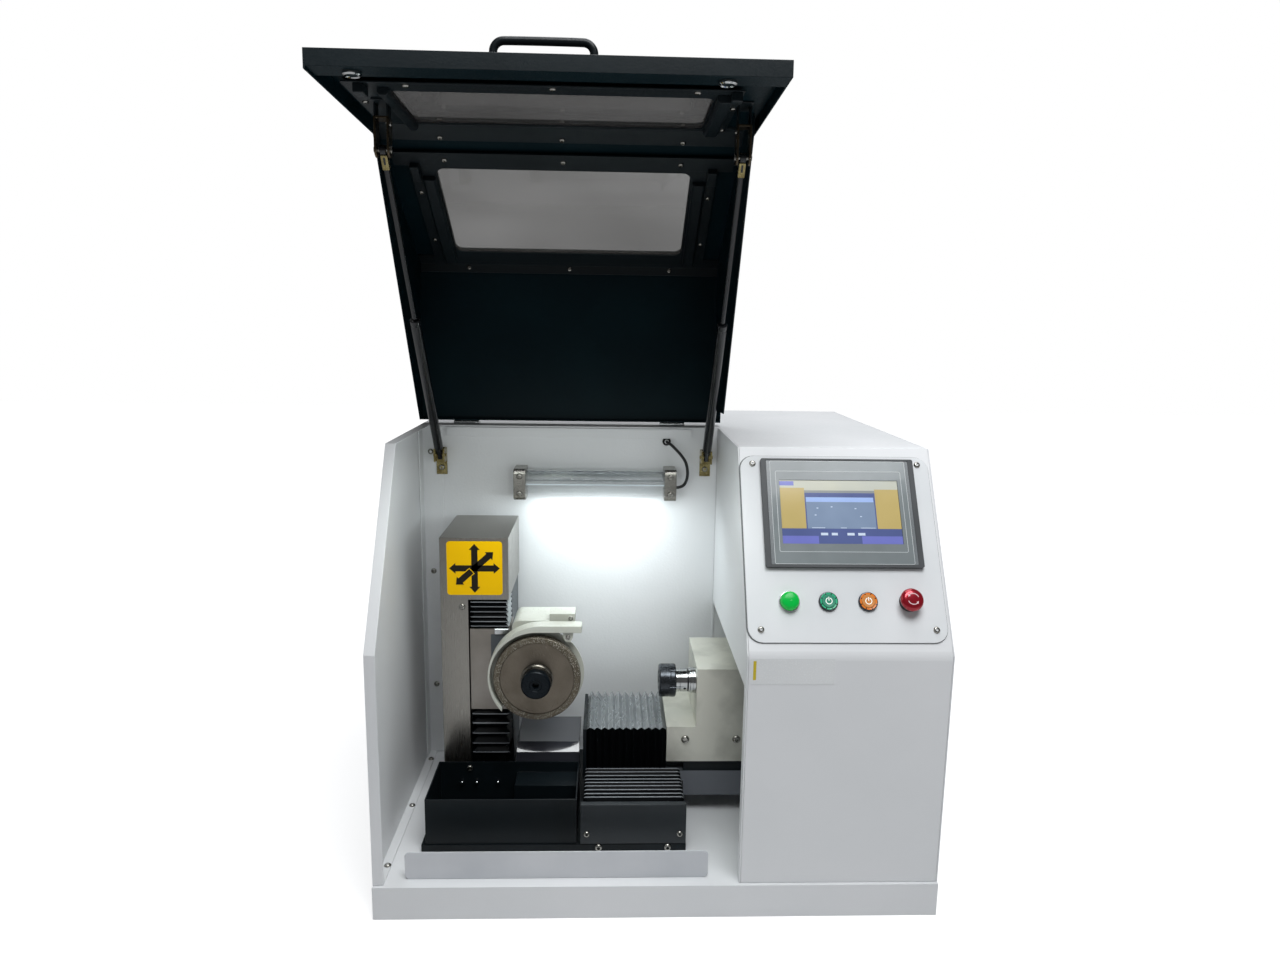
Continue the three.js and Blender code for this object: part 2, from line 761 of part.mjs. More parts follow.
// Hood, drawn closed over the cabin and turned open about its hinge
const hoodRear = hingeSetback - knuckleRadius - seam;
const hingeHeight = cabinetHeight + seam + knuckleRadius;
const hoodPath = [
  [hoodRear, cabinetHeight],
  [slantSetback, cabinetHeight],
  [0, frontHeight],
  [0, hoodLowerEdge],
];
const hoodOutside = hoodSeat + skirtDepth;
const hoodInside = hoodOutside - sheet;
const cheekRear = 380;
const cheekRearDepth = 104;
const cheekMiddle = [171, 405];
const cheekFront = [8, 306];
const cheekInset = 8;
const lipReturn = 34;
const bumperRadius = 10;
const bumperThickness = 2.5;
const bumperAcross = [42, 441];
const bumperBack = 18;
const slantWindowLeft = 66;
const slantWindowRight = 432;
const slantWindowHigh = 30;
const slantWindowLow = 222;
const frontWindowLeft = 54;
const frontWindowRight = 438;
const frontWindowHigh = 10;
const frontWindowLow = 157;
const windowCorner = 12;
const windowThickness = 4;
const windowLap = 16;
const frameThickness = 2;
const slantFrameSide = 38;
const slantFrameTop = 26;
const slantFrameLow = 21;
const frontFrameSide = 34;
const frontFrameRight = 30;
const frontFrameTop = 5;
const frontFrameLow = 13;
const handleLeft = 187;
const handleRight = 297;
const handleHeight = 148;
const handleStandoff = 26;
const handleBar = 4;
const handleBend = 12;
const handleFoot = 7;
const handleSteps = 22;
const handleSides = 10;

const hoodPivot = new THREE.Group();
hoodPivot.position.set(0, hingeSetback, hingeHeight);
hoodPivot.rotation.x = THREE.MathUtils.degToRad(-hoodOpenAngle);
const hoodGroup = new THREE.Group();
hoodGroup.position.set(0, -hingeSetback, -hingeHeight);
hoodPivot.add(hoodGroup);
assembly.add(hoodPivot);

// Pieces on the slanted panel are drawn flat too: z runs down the slope from the top corner as -z, y is outwards as -y
const hoodSlope = new THREE.Matrix4()
  .makeTranslation(0, slantSetback, cabinetHeight)
  .multiply(new THREE.Matrix4().makeRotationX(-slant));
const onHoodSlope = (geometry) => geometry.clone().applyMatrix4(hoodSlope);

function hoodShell() {
  const panel = prism("x", foldedSection(hoodPath, hoodInside, hoodOutside), [hoodLeft, hoodRight]);
  const through = [-hoodOutside - overrun, -hoodSeat];
  const slantOpening = onHoodSlope(
    prism("y", roundedRectangle([slantWindowLeft, slantWindowRight], [-slantWindowLow, -slantWindowHigh], windowCorner), through),
  );
  const frontOpening = prism(
    "y",
    roundedRectangle(
      [frontWindowLeft, frontWindowRight],
      [frontHeight - frontWindowLow, frontHeight - frontWindowHigh],
      windowCorner,
    ),
    through,
  );
  const outline = offsetPath(hoodPath, hoodOutside);
  const leftCheek = prism(
    "x",
    [...outline, [0, hoodLowerEdge], [0, frontHeight], [hoodRear, cabinetHeight]],
    [hoodLeft, hoodLeft + sheet],
  );
  const rightSkirt = prism("x", foldedSection(hoodPath, hoodSeat, hoodOutside), [hoodRight - sheet, hoodRight]);
  const inner = offsetPath(hoodPath, hoodInside + sheet / 2);
  const rightCheek = prism(
    "x",
    [
      [cheekRear, inner[0][1]],
      inner[1],
      inner[2],
      [inner[2][0], cheekFront[1]],
      cheekFront,
      cheekMiddle,
      [cheekRear, cabinetHeight - cheekRearDepth],
    ],
    [hoodRight - cheekInset - sheet, hoodRight - cheekInset],
  );
  const rearSkirt = block([hoodLeft, hoodRight], [hoodRear - sheet, hoodRear], [cabinetHeight + hoodSeat, cabinetHeight + hoodOutside]);
  const lip = block([hoodLeft, hoodRight], [-hoodOutside, -hoodSeat], [hoodLowerEdge, hoodLowerEdge + sheet]);
  const lipBack = block(
    [hoodLeft, hoodRight],
    [-hoodSeat - sheet, -hoodSeat],
    [hoodLowerEdge, hoodLowerEdge + lipReturn],
  );
  const bumpers = bumperAcross.map((x) =>
    rod("y", bumperRadius, [-hoodSeat - sheet / 2, -hoodSeat + bumperThickness], [x, hoodLowerEdge + bumperBack]),
  );
  return join(cut(panel, slantOpening, frontOpening), leftCheek, rightSkirt, rightCheek, rearSkirt, lip, lipBack, bumpers);
}

function slantWindow() {
  const inside = -hoodInside + seam;
  return onHoodSlope(
    prism(
      "y",
      roundedRectangle(
        [slantWindowLeft - windowLap, slantWindowRight + windowLap],
        [-slantWindowLow - windowLap, -slantWindowHigh + windowLap],
        windowCorner,
      ),
      [inside, inside + windowThickness],
    ),
  );
}

function frontWindow() {
  const inside = -hoodInside + seam;
  return prism(
    "y",
    roundedRectangle(
      [frontWindowLeft - windowLap, frontWindowRight + windowLap],
      [frontHeight - frontWindowLow - windowLap, frontHeight - frontWindowHigh + windowLap / 2],
      windowCorner,
    ),
    [inside, inside + windowThickness],
  );
}

const frameScrewsAcross = [81, 249, 416];

function slantFrame() {
  const back = -hoodInside + seam + windowThickness + seam;
  const face = back + frameThickness;
  const outer = roundedRectangle(
    [slantWindowLeft - slantFrameSide, slantWindowRight + slantFrameSide],
    [-slantWindowLow - slantFrameLow, -slantWindowHigh + slantFrameTop],
    windowCorner,
  );
  const inner = roundedRectangle([slantWindowLeft, slantWindowRight], [-slantWindowLow, -slantWindowHigh], windowCorner);
  const plate = cut(prism("y", outer, [back, face]), prism("y", inner, [back - overrun, face + overrun]));
  const rows = [-slantWindowHigh + slantFrameTop / 2, -slantWindowLow - slantFrameLow / 2];
  const screws = frameScrewsAcross.flatMap((x) => rows.map((z) => screwHead("y", face, [x, z], 1)));
  const sides = [slantWindowLeft - slantFrameSide / 2, slantWindowRight + slantFrameSide / 2].flatMap((x) =>
    sideScrewShares.map((share) => screwHead("y", face, [x, -slantWindowLow * share], 1)),
  );
  return onHoodSlope(join(plate, screws, sides));
}

const sideScrewShares = [0.21, 0.75];

function frontFrame() {
  const back = -hoodInside + seam + windowThickness + seam;
  const face = back + frameThickness;
  const outer = roundedRectangle(
    [frontWindowLeft - frontFrameSide, frontWindowRight + frontFrameRight],
    [frontHeight - frontWindowLow - frontFrameLow, frontHeight - frontWindowHigh + frontFrameTop],
    windowCorner,
  );
  const inner = roundedRectangle(
    [frontWindowLeft, frontWindowRight],
    [frontHeight - frontWindowLow, frontHeight - frontWindowHigh],
    windowCorner,
  );
  const plate = cut(prism("y", outer, [back, face]), prism("y", inner, [back - overrun, face + overrun]));
  const row = frontHeight - frontWindowLow - frontFrameLow / 2;
  const screws = frameScrewsAcross.map((x) => screwHead("y", face, [x, row], 1));
  return join(plate, screws);
}

// Bar bent twice, with its feet on the outside of the front panel
function hoodHandle() {
  const foot = -hoodOutside - seam;
  const far = foot - handleStandoff;
  const path = new THREE.CurvePath();
  const at = (x, y) => new THREE.Vector3(x, y, handleHeight);
  const bend = handleBend;
  path.add(new THREE.LineCurve3(at(handleLeft, foot), at(handleLeft, far + bend)));
  path.add(new THREE.QuadraticBezierCurve3(at(handleLeft, far + bend), at(handleLeft, far), at(handleLeft + bend, far)));
  path.add(new THREE.LineCurve3(at(handleLeft + bend, far), at(handleRight - bend, far)));
  path.add(new THREE.QuadraticBezierCurve3(at(handleRight - bend, far), at(handleRight, far), at(handleRight, far + bend)));
  path.add(new THREE.LineCurve3(at(handleRight, far + bend), at(handleRight, foot)));
  const bar = new THREE.ExtrudeGeometry(circleShape(handleBar, handleSides), {
    steps: handleSteps,
    extrudePath: path,
    bevelEnabled: false,
  });
  const feet = [handleLeft, handleRight].map((x) => rod("y", handleFoot, [foot - sheet, foot], [x, handleHeight]));
  return join(bar, feet);
}

function circleShape(radius, sides) {
  const points = Array.from({ length: sides }, (_, i) => {
    const angle = (2 * Math.PI * i) / sides;
    return new THREE.Vector2(radius * Math.cos(angle), radius * Math.sin(angle));
  });
  return new THREE.Shape(points);
}

// Butt hinges: the fixed leaf lies on the roof, the moving leaf is on the rear skirt of the hood
const hingeWidth = 42;
const hingeAcross = [54, 404];
const hingeLeafThickness = 2;
const fixedLeafDepth = 22;
const movingLeafHeight = 14;
const pinRadius = 1.6;
const pinClearance = 0.35;

function fixedLeaf(left) {
  const knuckle = hingeWidth / 3;
  const leaf = block(
    [left, left + hingeWidth],
    [hingeSetback + sheet, hingeSetback + fixedLeafDepth],
    [cabinetHeight + seam, cabinetHeight + seam + hingeLeafThickness],
  );
  const centre = [hingeSetback, hingeHeight];
  const ends = [
    [left, left + knuckle - seam],
    [left + 2 * knuckle + seam, left + hingeWidth],
  ];
  const barrels = ends.map((span) => rod("x", knuckleRadius, span, centre));
  const webs = ends.map((span) =>
    block(span, [hingeSetback, hingeSetback + sheet * 2], [cabinetHeight + seam, cabinetHeight + seam + hingeLeafThickness]),
  );
  const relief = block(
    [left + knuckle - seam, left + 2 * knuckle + seam],
    [hingeSetback, hingeSetback + knuckleRadius + sheet],
    [cabinetHeight, cabinetHeight + hingeLeafThickness * 2],
  );
  const pin = rod("x", pinRadius, [left, left + hingeWidth], centre, boltSides);
  return join(cut(join(leaf, barrels, webs), relief), pin);
}

function movingLeaf(left) {
  const knuckle = hingeWidth / 3;
  const span = [left + knuckle + seam, left + 2 * knuckle - seam];
  const centre = [hingeSetback, hingeHeight];
  const near = hoodRear + seam;
  const leafLow = hingeHeight + knuckleRadius + seam;
  const leaf = block([left, left + hingeWidth], [near, near + hingeLeafThickness], [leafLow, leafLow + movingLeafHeight - knuckleRadius]);
  const web = block(span, [near, near + hingeLeafThickness], [hingeHeight, leafLow + sheet]);
  const barrel = rod("x", knuckleRadius, span, centre);
  const bore = rod("x", pinRadius + pinClearance, [left, left + hingeWidth], centre, boltSides);
  return cut(join(leaf, web, barrel), bore);
}

hoodGroup.add(
  piece("hood_shell", hoodShell(), anthracite),
  piece("slant_window", slantWindow(), smokedAcrylic),
  piece("front_window", frontWindow(), smokedAcrylic),
  piece("slant_window_frame", slantFrame(), anthracite),
  piece("front_window_frame", frontFrame(), anthracite),
  piece("hood_handle", hoodHandle(), blackSheet),
  piece("hinge_left_moving", movingLeaf(hingeAcross[0]), steel),
  piece("hinge_right_moving", movingLeaf(hingeAcross[1]), steel),
);
assembly.add(
  piece("hinge_left_fixed", fixedLeaf(hingeAcross[0]), steel),
  piece("hinge_right_fixed", fixedLeaf(hingeAcross[1]), steel),
);

// Gas struts: a pin in the wall bracket carries the tube, and the rod's eye lies between the ears on the hood
const strutAcross = [36, 481];
const strutFootSetback = 368;
const strutFootHeight = 588;
const strutTopSetback = 43;
const strutTopHeight = 271;
const strutTubeRadius = 7.5;
const strutRodRadius = 3.5;
const strutTubeShare = 0.52;
const eyeRadius = 6;
const eyeWidth = 8;
const earThickness = 2.5;
const earGap = 13;
const earReach = 9;
const earHeight = 22;
const strutPinRadius = 3;
const strutPinClearance = 0.4;
const stubGap = 9;
const bracketFoot = 24;
const collarLength = 9;
const collarGroove = 1;
const strutNeck = 16;
const boreClearance = 0.4;
const strokeRoom = 88;
const rodInside = 30;
const boreDepth = strokeRoom + rodInside + collarLength;

// The ears of a bracket, seen from the side: from a mounting face to past the pivot
function ears(across, faceY, [pivotY, pivotZ], height) {
  const far = pivotY + Math.sign(pivotY - faceY) * earReach;
  const [near, end] = [Math.min(faceY, far), Math.max(faceY, far)];
  return [-1, 1].map((side) => {
    const inner = across + (side * earGap) / 2;
    const outer = inner + side * earThickness;
    return block([Math.min(inner, outer), Math.max(inner, outer)], [near, end], [pivotZ - height / 2, pivotZ + height / 2]);
  });
}

function wallBracket(across, face) {
  const half = earGap / 2 + earThickness;
  const base = block(
    [across - half, across + half],
    [face - sheet, face],
    [strutFootHeight - earHeight / 2 - bracketFoot, strutFootHeight + earHeight / 2],
  );
  const pair = ears(across, face, [strutFootSetback, strutFootHeight], earHeight);
  const pin = rod("x", strutPinRadius, [across - half - sheet, across + half + sheet], [strutFootSetback, strutFootHeight]);
  const screw = screwHead("y", face - sheet, [across, strutFootHeight - earHeight / 2 - bracketFoot / 2]);
  return join(base, pair, pin, screw);
}

function hoodBracket(across, face) {
  const half = earGap / 2 + earThickness;
  const height = earHeight - sheet;
  const foot = bracketFoot / 2;
  const base = block([across - half, across + half], [face, face + sheet], [strutTopHeight - height / 2 - foot, strutTopHeight + height / 2 + foot]);
  const pair = ears(across, face, [strutTopSetback, strutTopHeight], height);
  const stubs = [-1, 1].map((side) => {
    const [a, b] = [across + (side * stubGap) / 2, across + side * (half + sheet)];
    return rod("x", strutPinRadius, [Math.min(a, b), Math.max(a, b)], [strutTopSetback, strutTopHeight]);
  });
  return join(base, pair, stubs);
}

// Where the hood carries the strut's top when it stands open
const openTop = new THREE.Vector3(0, strutTopSetback - hingeSetback, strutTopHeight - hingeHeight)
  .applyAxisAngle(new THREE.Vector3(1, 0, 0), hoodPivot.rotation.x)
  .add(new THREE.Vector3(0, hingeSetback, hingeHeight));
const strutLength = Math.hypot(openTop.y - strutFootSetback, openTop.z - strutFootHeight);
const strutLean = Math.atan2(strutFootSetback - openTop.y, openTop.z - strutFootHeight);
const tubeLength = strutLength * strutTubeShare;

// Tube and rod are drawn upright on the foot pivot
function strutTube() {
  const body = turned(
    "z",
    [
      [0, strutNeck],
      [strutTubeRadius - sheet, strutNeck],
      [strutTubeRadius, strutNeck + sheet],
      [strutTubeRadius, tubeLength - collarLength],
      [strutTubeRadius - collarGroove, tubeLength - collarLength],
      [strutTubeRadius - collarGroove, tubeLength - collarLength + collarGroove],
      [strutTubeRadius, tubeLength - collarLength + collarGroove],
      [strutTubeRadius, tubeLength],
      [strutRodRadius + boreClearance, tubeLength],
      [strutRodRadius + boreClearance, tubeLength - boreDepth],
      [0, tubeLength - boreDepth],
    ],
    [0, 0],
    smallSides,
  );
  const eye = rod("x", eyeRadius, [-eyeWidth / 2, eyeWidth / 2], [0, 0]);
  const web = block([-eyeWidth / 2, eyeWidth / 2], [-eyeRadius, eyeRadius], [0, strutNeck + sheet]);
  const bore = rod("x", strutPinRadius + strutPinClearance, [-eyeWidth, eyeWidth], [0, 0]);
  return cut(join(body, eye, web), bore);
}

function strutRod() {
  const shaft = rod("z", strutRodRadius, [tubeLength - rodInside, strutLength - eyeRadius / 2], [0, 0]);
  const eye = rod("x", eyeRadius, [-eyeWidth / 2, eyeWidth / 2], [0, strutLength]);
  const socket = rod("z", eyeWidth / 2, [strutLength - 3 * eyeRadius, strutLength], [0, 0], boltSides);
  const bore = rod("x", strutPinRadius + strutPinClearance, [-eyeWidth, eyeWidth], [0, strutLength]);
  return cut(join(shaft, socket, eye), bore);
}

const strutSides = ["left", "right"];
const strutFaces = [backWallSetback - sheet - seam, backWallSetback - seam];
const hoodFaces = [-hoodInside + windowThickness + frameThickness + 3 * seam, -hoodInside + seam];
strutSides.forEach((side, i) => {
  const strut = new THREE.Group();
  strut.position.set(strutAcross[i], strutFootSetback, strutFootHeight);
  strut.rotation.x = strutLean;
  strut.add(piece(`strut_${side}_tube`, strutTube(), blackSheet), piece(`strut_${side}_rod`, strutRod(), steel));
  assembly.add(strut, piece(`strut_${side}_wall_bracket`, wallBracket(strutAcross[i], strutFaces[i]), zinc));
  hoodGroup.add(piece(`strut_${side}_hood_bracket`, hoodBracket(strutAcross[i], hoodFaces[i]), zinc));
});

// Work light on the back wall
const lightLeft = 160;
const lightRight = 430;
const lightOverColumn = 57;
const lightHeight = columnTop + lightOverColumn;
const lightTubeRadius = 20.5;
const lightTubeWall = 2.5;
const lightCapLength = 20;
const lightCapHeight = 53;
const lightCapDepth = 46;
const lightChamfer = 8;
const reflectorGap = 0.6;
const reflectorWall = 1.6;
const ledWidth = 12;
const ledHeight = 7;
const lightSetback = backWallSetback - seam - lightCapDepth / 2;

function lightHousing() {
  const [y0, y1] = [lightSetback - lightCapDepth / 2, lightSetback + lightCapDepth / 2];
  const [z0, z1] = [lightHeight - lightCapHeight / 2, lightHeight + lightCapHeight / 2];
  const c = lightChamfer;
  const capSection = [
    [y0 + c, z0],
    [y1, z0],
    [y1, z1],
    [y0 + c, z1],
    [y0, z1 - c],
    [y0, z0 + c],
  ];
  const caps = [
    [lightLeft, lightLeft + lightCapLength],
    [lightRight - lightCapLength, lightRight],
  ].map((span) => prism("x", capSection, span));
  const inner = lightTubeRadius + reflectorGap;
  const span = [lightLeft + lightCapLength - sheet, lightRight - lightCapLength + sheet];
  const shell = ring("x", inner + reflectorWall, inner, span, [lightSetback, lightHeight]);
  const lower = block([lightLeft, lightRight], [y0 - overrun, lightSetback], [z0 - overrun, z1 + overrun]);
  const upper = block([lightLeft, lightRight], [lightSetback - overrun, y1 + overrun], [z0 - overrun, lightHeight]);
  const reflector = cut(shell, cut(lower, block([lightLeft - overrun, lightRight + overrun], [y0 - 2 * overrun, lightSetback + overrun], [lightHeight, z1 + 2 * overrun])), upper);
  const led = block(span, [lightSetback - ledWidth / 2, lightSetback + ledWidth / 2], [lightHeight - ledHeight / 2, lightHeight + ledHeight / 2]);
  return join(caps, reflector, led);
}

function lightTube() {
  const span = [lightLeft + lightCapLength + seam, lightRight - lightCapLength - seam];
  return ring("x", lightTubeRadius, lightTubeRadius - lightTubeWall, span, [lightSetback, lightHeight]);
}

assembly.add(piece("light_housing", lightHousing(), stainless), piece("light_tube", lightTube(), clear));

// Cable of the work light, from the end cap to the grommet
const cableRadius = 2.5;
const cableSides = 8;
const cableSteps = 22;
const cableDrop = 6;
const cableBottom = [lightRight + seam, lightSetback + seam, lightHeight - cableDrop];
const cableTop = [grommetAcross, backWallSetback - grommetLength - seam, grommetHeight];
const cableRise = cableTop[2] - cableBottom[2];
const cableRouteShares = [
  [0.066, 0, 0],
  [0.186, 0.01, 0.053],
  [0.252, 0.015, 0.2],
  [0.259, 0.02, 0.387],
  [0.212, 0.025, 0.573],
  [0.105, 0.03, 0.733],
  [-0.022, 0.04, 0.867],
];
const cableLead = 6;

// The bow of the cable is drawn in shares of its rise; both of its ends run straight into their pieces
function cableRoute() {
  const bow = cableRouteShares.map(([across, back, up]) => [
    cableBottom[0] + across * cableRise,
    cableBottom[1] + back * cableRise,
    cableBottom[2] + up * cableRise,
  ]);
  const [topAcross, topSetback, topHeight] = cableTop;
  return [
    cableBottom,
    ...bow,
    [topAcross + cableLead, topSetback - cableLead * 2, topHeight - cableLead / 2],
    [topAcross, topSetback - cableLead, topHeight],
    cableTop,
  ].map((point) => new THREE.Vector3(...point));
}

function lightCable() {
  const route = new THREE.CatmullRomCurve3(cableRoute());
  return new THREE.ExtrudeGeometry(circleShape(cableRadius, cableSides), {
    steps: cableSteps,
    extrudePath: route,
    bevelEnabled: false,
  });
}

assembly.add(piece("light_cable", lightCable(), blackRubber));

// Machine base with the Y way
const baseLeft = 50;
const baseRight = 435;
const baseFront = 78;
const baseBolts = [307, 408];
const baseBack = 372;
const baseFoot = floorFace;
const baseTop = baseFoot + baseThickness;
const yWayLeft = 300;
const yWayRight = 416;
const yWayTop = 86;
const railWidth = 15;
const railHeight = 13;
const screwRadius = 6;
const wayFront = 93;
const riserLeft = 176;
const riserRight = 275;
const riserFront = 197;
const riserBack = 300;
const riserTop = 155;
const riserChamfer = 12;
const riserWall = 3;

function machineBase() {
  const slab = block([baseLeft, baseRight], [baseFront, baseBack], [baseFoot, baseTop]);
  const way = block([yWayLeft, yWayRight], [wayFront, baseBack], [baseTop - overrun, yWayTop]);
  const rails = [yWayLeft, yWayRight - railWidth].map((x) =>
    prism("y", railSection(x, yWayTop), [wayFront, baseBack]),
  );
  const middle = (yWayLeft + yWayRight) / 2;
  const screwAt = yWayTop + screwRadius + sheet;
  const screw = rod("y", screwRadius, [wayFront, baseBack], [middle, screwAt]);
  const bearings = [
    [wayFront, wayFront + railWidth],
    [baseBack - railWidth, baseBack],
  ].map((span) => block([middle - railWidth, middle + railWidth], span, [yWayTop - sheet, yWayTop + railHeight]));
  const bolts = baseBolts.map((x) => screwHead("y", baseFront, [x, (baseFoot + baseTop) / 2]));
  return join(slab, way, rails, screw, bearings, bolts, riser());
}

// A profile rail, waisted below its head
function railSection(left, foot) {
  const right = left + railWidth;
  const waist = railWidth / 6;
  const third = railHeight / 3;
  return [
    [left, foot - sheet],
    [right, foot - sheet],
    [right, foot + third],
    [right - waist, foot + third + waist],
    [right, foot + 2 * third],
    [right, foot + railHeight],
    [left, foot + railHeight],
    [left, foot + 2 * third],
    [left + waist, foot + third + waist],
    [left, foot + third],
  ];
}

// Box between the column and the saddle, open at the rear
function riser() {
  const outline = [
    [riserFront, baseTop - sheet],
    [riserFront, riserTop - riserChamfer],
    [riserFront + riserChamfer, riserTop],
    [riserBack, riserTop],
    [riserBack, baseTop - sheet],
  ];
  const outer = prism("x", outline, [riserLeft, riserRight]);
  const hollow = block(
    [riserLeft + riserWall, riserRight - riserWall],
    [riserFront + riserWall, riserBack + overrun],
    [baseTop, riserTop - riserChamfer - riserWall],
  );
  return cut(outer, hollow);
}

assembly.add(piece("machine_base", machineBase(), blackSheet));

// Tray that catches the grit under the wheel
const trayLeft = 56;
const trayRight = 275;
const trayFront = 80;
const trayBack = 194;
const trayTop = 129;
const trayStepLeft = 178;
const trayStepFront = 150;
const trayStepTop = 112;
const studsAcross = [92, 115, 148];
const studHeight = 97;
const studRadius = 2.2;
const studLength = 6;

function gritTray() {
  const foot = baseTop + seam;
  const outer = block([trayLeft, trayRight], [trayFront, trayBack], [foot, trayTop]);
  const inside = block([trayLeft + sheet, trayRight - sheet], [trayFront + sheet, trayBack - sheet], [foot + sheet, trayTop + overrun]);
  const step = block([trayStepLeft, trayRight - sheet / 2], [trayStepFront, trayBack - sheet / 2], [foot, trayStepTop]);
  const stepInside = block(
    [trayStepLeft + sheet, trayRight - sheet],
    [trayStepFront + sheet, trayBack - sheet],
    [foot - overrun, trayStepTop - sheet],
  );
  const studs = studsAcross.map((x) => rod("y", studRadius, [trayBack - sheet - studLength, trayBack - sheet / 2], [x, studHeight], boltSides));
  return join(cut(join(cut(outer, inside), step), stepInside), studs);
}

assembly.add(piece("grit_tray", gritTray(), blackSheet));

// Way cover: the front plate of the Y way, with a ledge for the bellows
const coverLeft = 280.5;
const coverRight = 434.5;
const coverTop = 121;
const coverFront = baseFront;
const coverThickness = 3;
const coverLedge = 10;
const coverScrewInset = 9;
const coverScrewShare = 0.25;

function wayCover() {
  const foot = baseTop + seam;
  const plate = block([coverLeft, coverRight], [coverFront, coverFront + coverThickness], [foot, coverTop]);
  const ledge = block([coverLeft, coverRight], [coverFront, coverFront + coverLedge], [coverTop - coverThickness, coverTop]);
  const sides = [
    [coverLeft, coverLeft + coverThickness],
    [coverRight - coverThickness, coverRight],
  ].map((span) => block(span, [coverFront, coverFront + coverLedge], [foot, coverTop]));
  const screws = [coverLeft + coverScrewInset, coverRight - coverScrewInset].map((x) =>
    screwHead("y", coverFront, [x, foot + (coverTop - foot) * coverScrewShare]),
  );
  return join(plate, ledge, sides, screws);
}

assembly.add(piece("way_cover", wayCover(), darkPlastic));

// Bellows over the Y way
const yBellowsLeft = 284;
const yBellowsRight = 432;
const yBellowsTop = 125;
const yBellowsPleats = 9;
const bellowsFold = 6;
const bellowsWall = 4;
const saddleFront = headFront;

function yBellows() {
  const front = coverFront + coverLedge + seam;
  const span = [front, saddleFront - seam];
  const foot = baseTop + seam;
  const outer = pleated("y", [yBellowsLeft, yBellowsRight], [foot, yBellowsTop], span, yBellowsPleats, bellowsFold);
  const inset = bellowsFold + bellowsWall;
  const hollow = block(
    [yBellowsLeft + inset, yBellowsRight - inset],
    [front - overrun, saddleFront + overrun],
    [foot - overrun, yBellowsTop - inset],
  );
  return cut(outer, hollow);
}

// Saddle: slides on the Y way and carries the X way out into the workhead bay
const saddleLeft = 284;
const saddleEndGap = 90;
const saddleRight = cabinetWidth - saddleEndGap;
const saddleBack = 318;
const saddleApronLeft = 438;
const saddleApronFoot = 77;
const saddleUnderside = yWayTop + railHeight + sheet;
const xWayFront = 202;
const xWayBack = 284;
const xWayTop = 156;
const sillFrontDepth = 14;
const xSillHeight = 14;
const endPlateThickness = 3;
const xBellowsTop = 190;
const runnerDepth = 34;

function saddle() {
  const plate = block([saddleLeft, saddleRight], [saddleFront, saddleBack], [saddleUnderside, saddleTop]);
  const apron = block([saddleApronLeft, saddleRight], [saddleFront, saddleFront + saddleWall], [saddleApronFoot, saddleTop - sheet]);
  const way = block([saddleLeft + railWidth, saddleRight], [xWayFront, xWayBack], [saddleTop - sheet, xWayTop]);
  const rails = [xWayFront, xWayBack - railWidth].map((y) =>
    prism("x", railSection(y, xWayTop), [saddleLeft + railWidth, saddleRight]),
  );
  const sill = block([saddleApronLeft, saddleRight], [saddleFront + sheet, saddleFront + sillFrontDepth], [saddleTop - sheet, saddleTop + xSillHeight]);
  const plateEnd = block([saddleLeft - endPlateThickness - seam, saddleLeft + sheet], [saddleFront, saddleBack], [saddleUnderside, xBellowsTop + sheet]);
  const runners = [yWayLeft, yWayRight - railWidth].flatMap((x) =>
    [saddleFront + sillFrontDepth, saddleBack - runnerDepth - sillFrontDepth].map((y) => runner("y", x, [y, y + runnerDepth])),
  );
  return join(plate, apron, way, rails, sill, plateEnd, runners);
}

const saddleWall = 10;
const runnerClearance = 0.5;
const runnerLip = 6;

// Runner block under the saddle, straddling a Y rail
function runner(axis, railLeft, span) {
  const [left, right] = [railLeft - runnerLip, railLeft + railWidth + runnerLip];
  const body = block([left, right], span, [yWayTop + runnerClearance, saddleUnderside + sheet]);
  const groove = block(
    [railLeft - runnerClearance, railLeft + railWidth + runnerClearance],
    [span[0] - overrun, span[1] + overrun],
    [yWayTop, yWayTop + railHeight + runnerClearance],
  );
  return cut(body, groove);
}

// Bellows over the X way, from the end plate to the workhead
const skirtLeft = 411;
const xBellowsPleats = 11;
const xBellowsFold = 7;

function xBellows() {
  const left = saddleLeft + sheet + seam;
  const foot = saddleTop + seam;
  const outer = pleated("x", [headFront, saddleBack - sillFrontDepth], [foot, xBellowsTop], [left, skirtLeft - seam], xBellowsPleats, xBellowsFold);
  const inset = xBellowsFold + bellowsWall;
  const hollow = block(
    [left - overrun, skirtLeft + overrun],
    [headFront + inset, saddleBack - sillFrontDepth - inset],
    [foot - overrun, xBellowsTop - inset],
  );
  return cut(outer, hollow);
}

assembly.add(
  piece("y_bellows", yBellows(), blackRubber),
  piece("saddle", saddle(), castIron),
  piece("x_bellows", xBellows(), silverFabric),
);

// Workhead cover: a low skirt over the way and a tall hood over the spindle
const headFoot = 134;
const headStep = 190;
const headLength = (saddleRight - headLeft) * headLengthShare;
const headRight = headLeft + headLength;
const spindleHoleRadius = 20.6;
const coverSheet = 1.5;
const coverScrewsAcross = [440, 520];
const coverScrewHeight = 171;

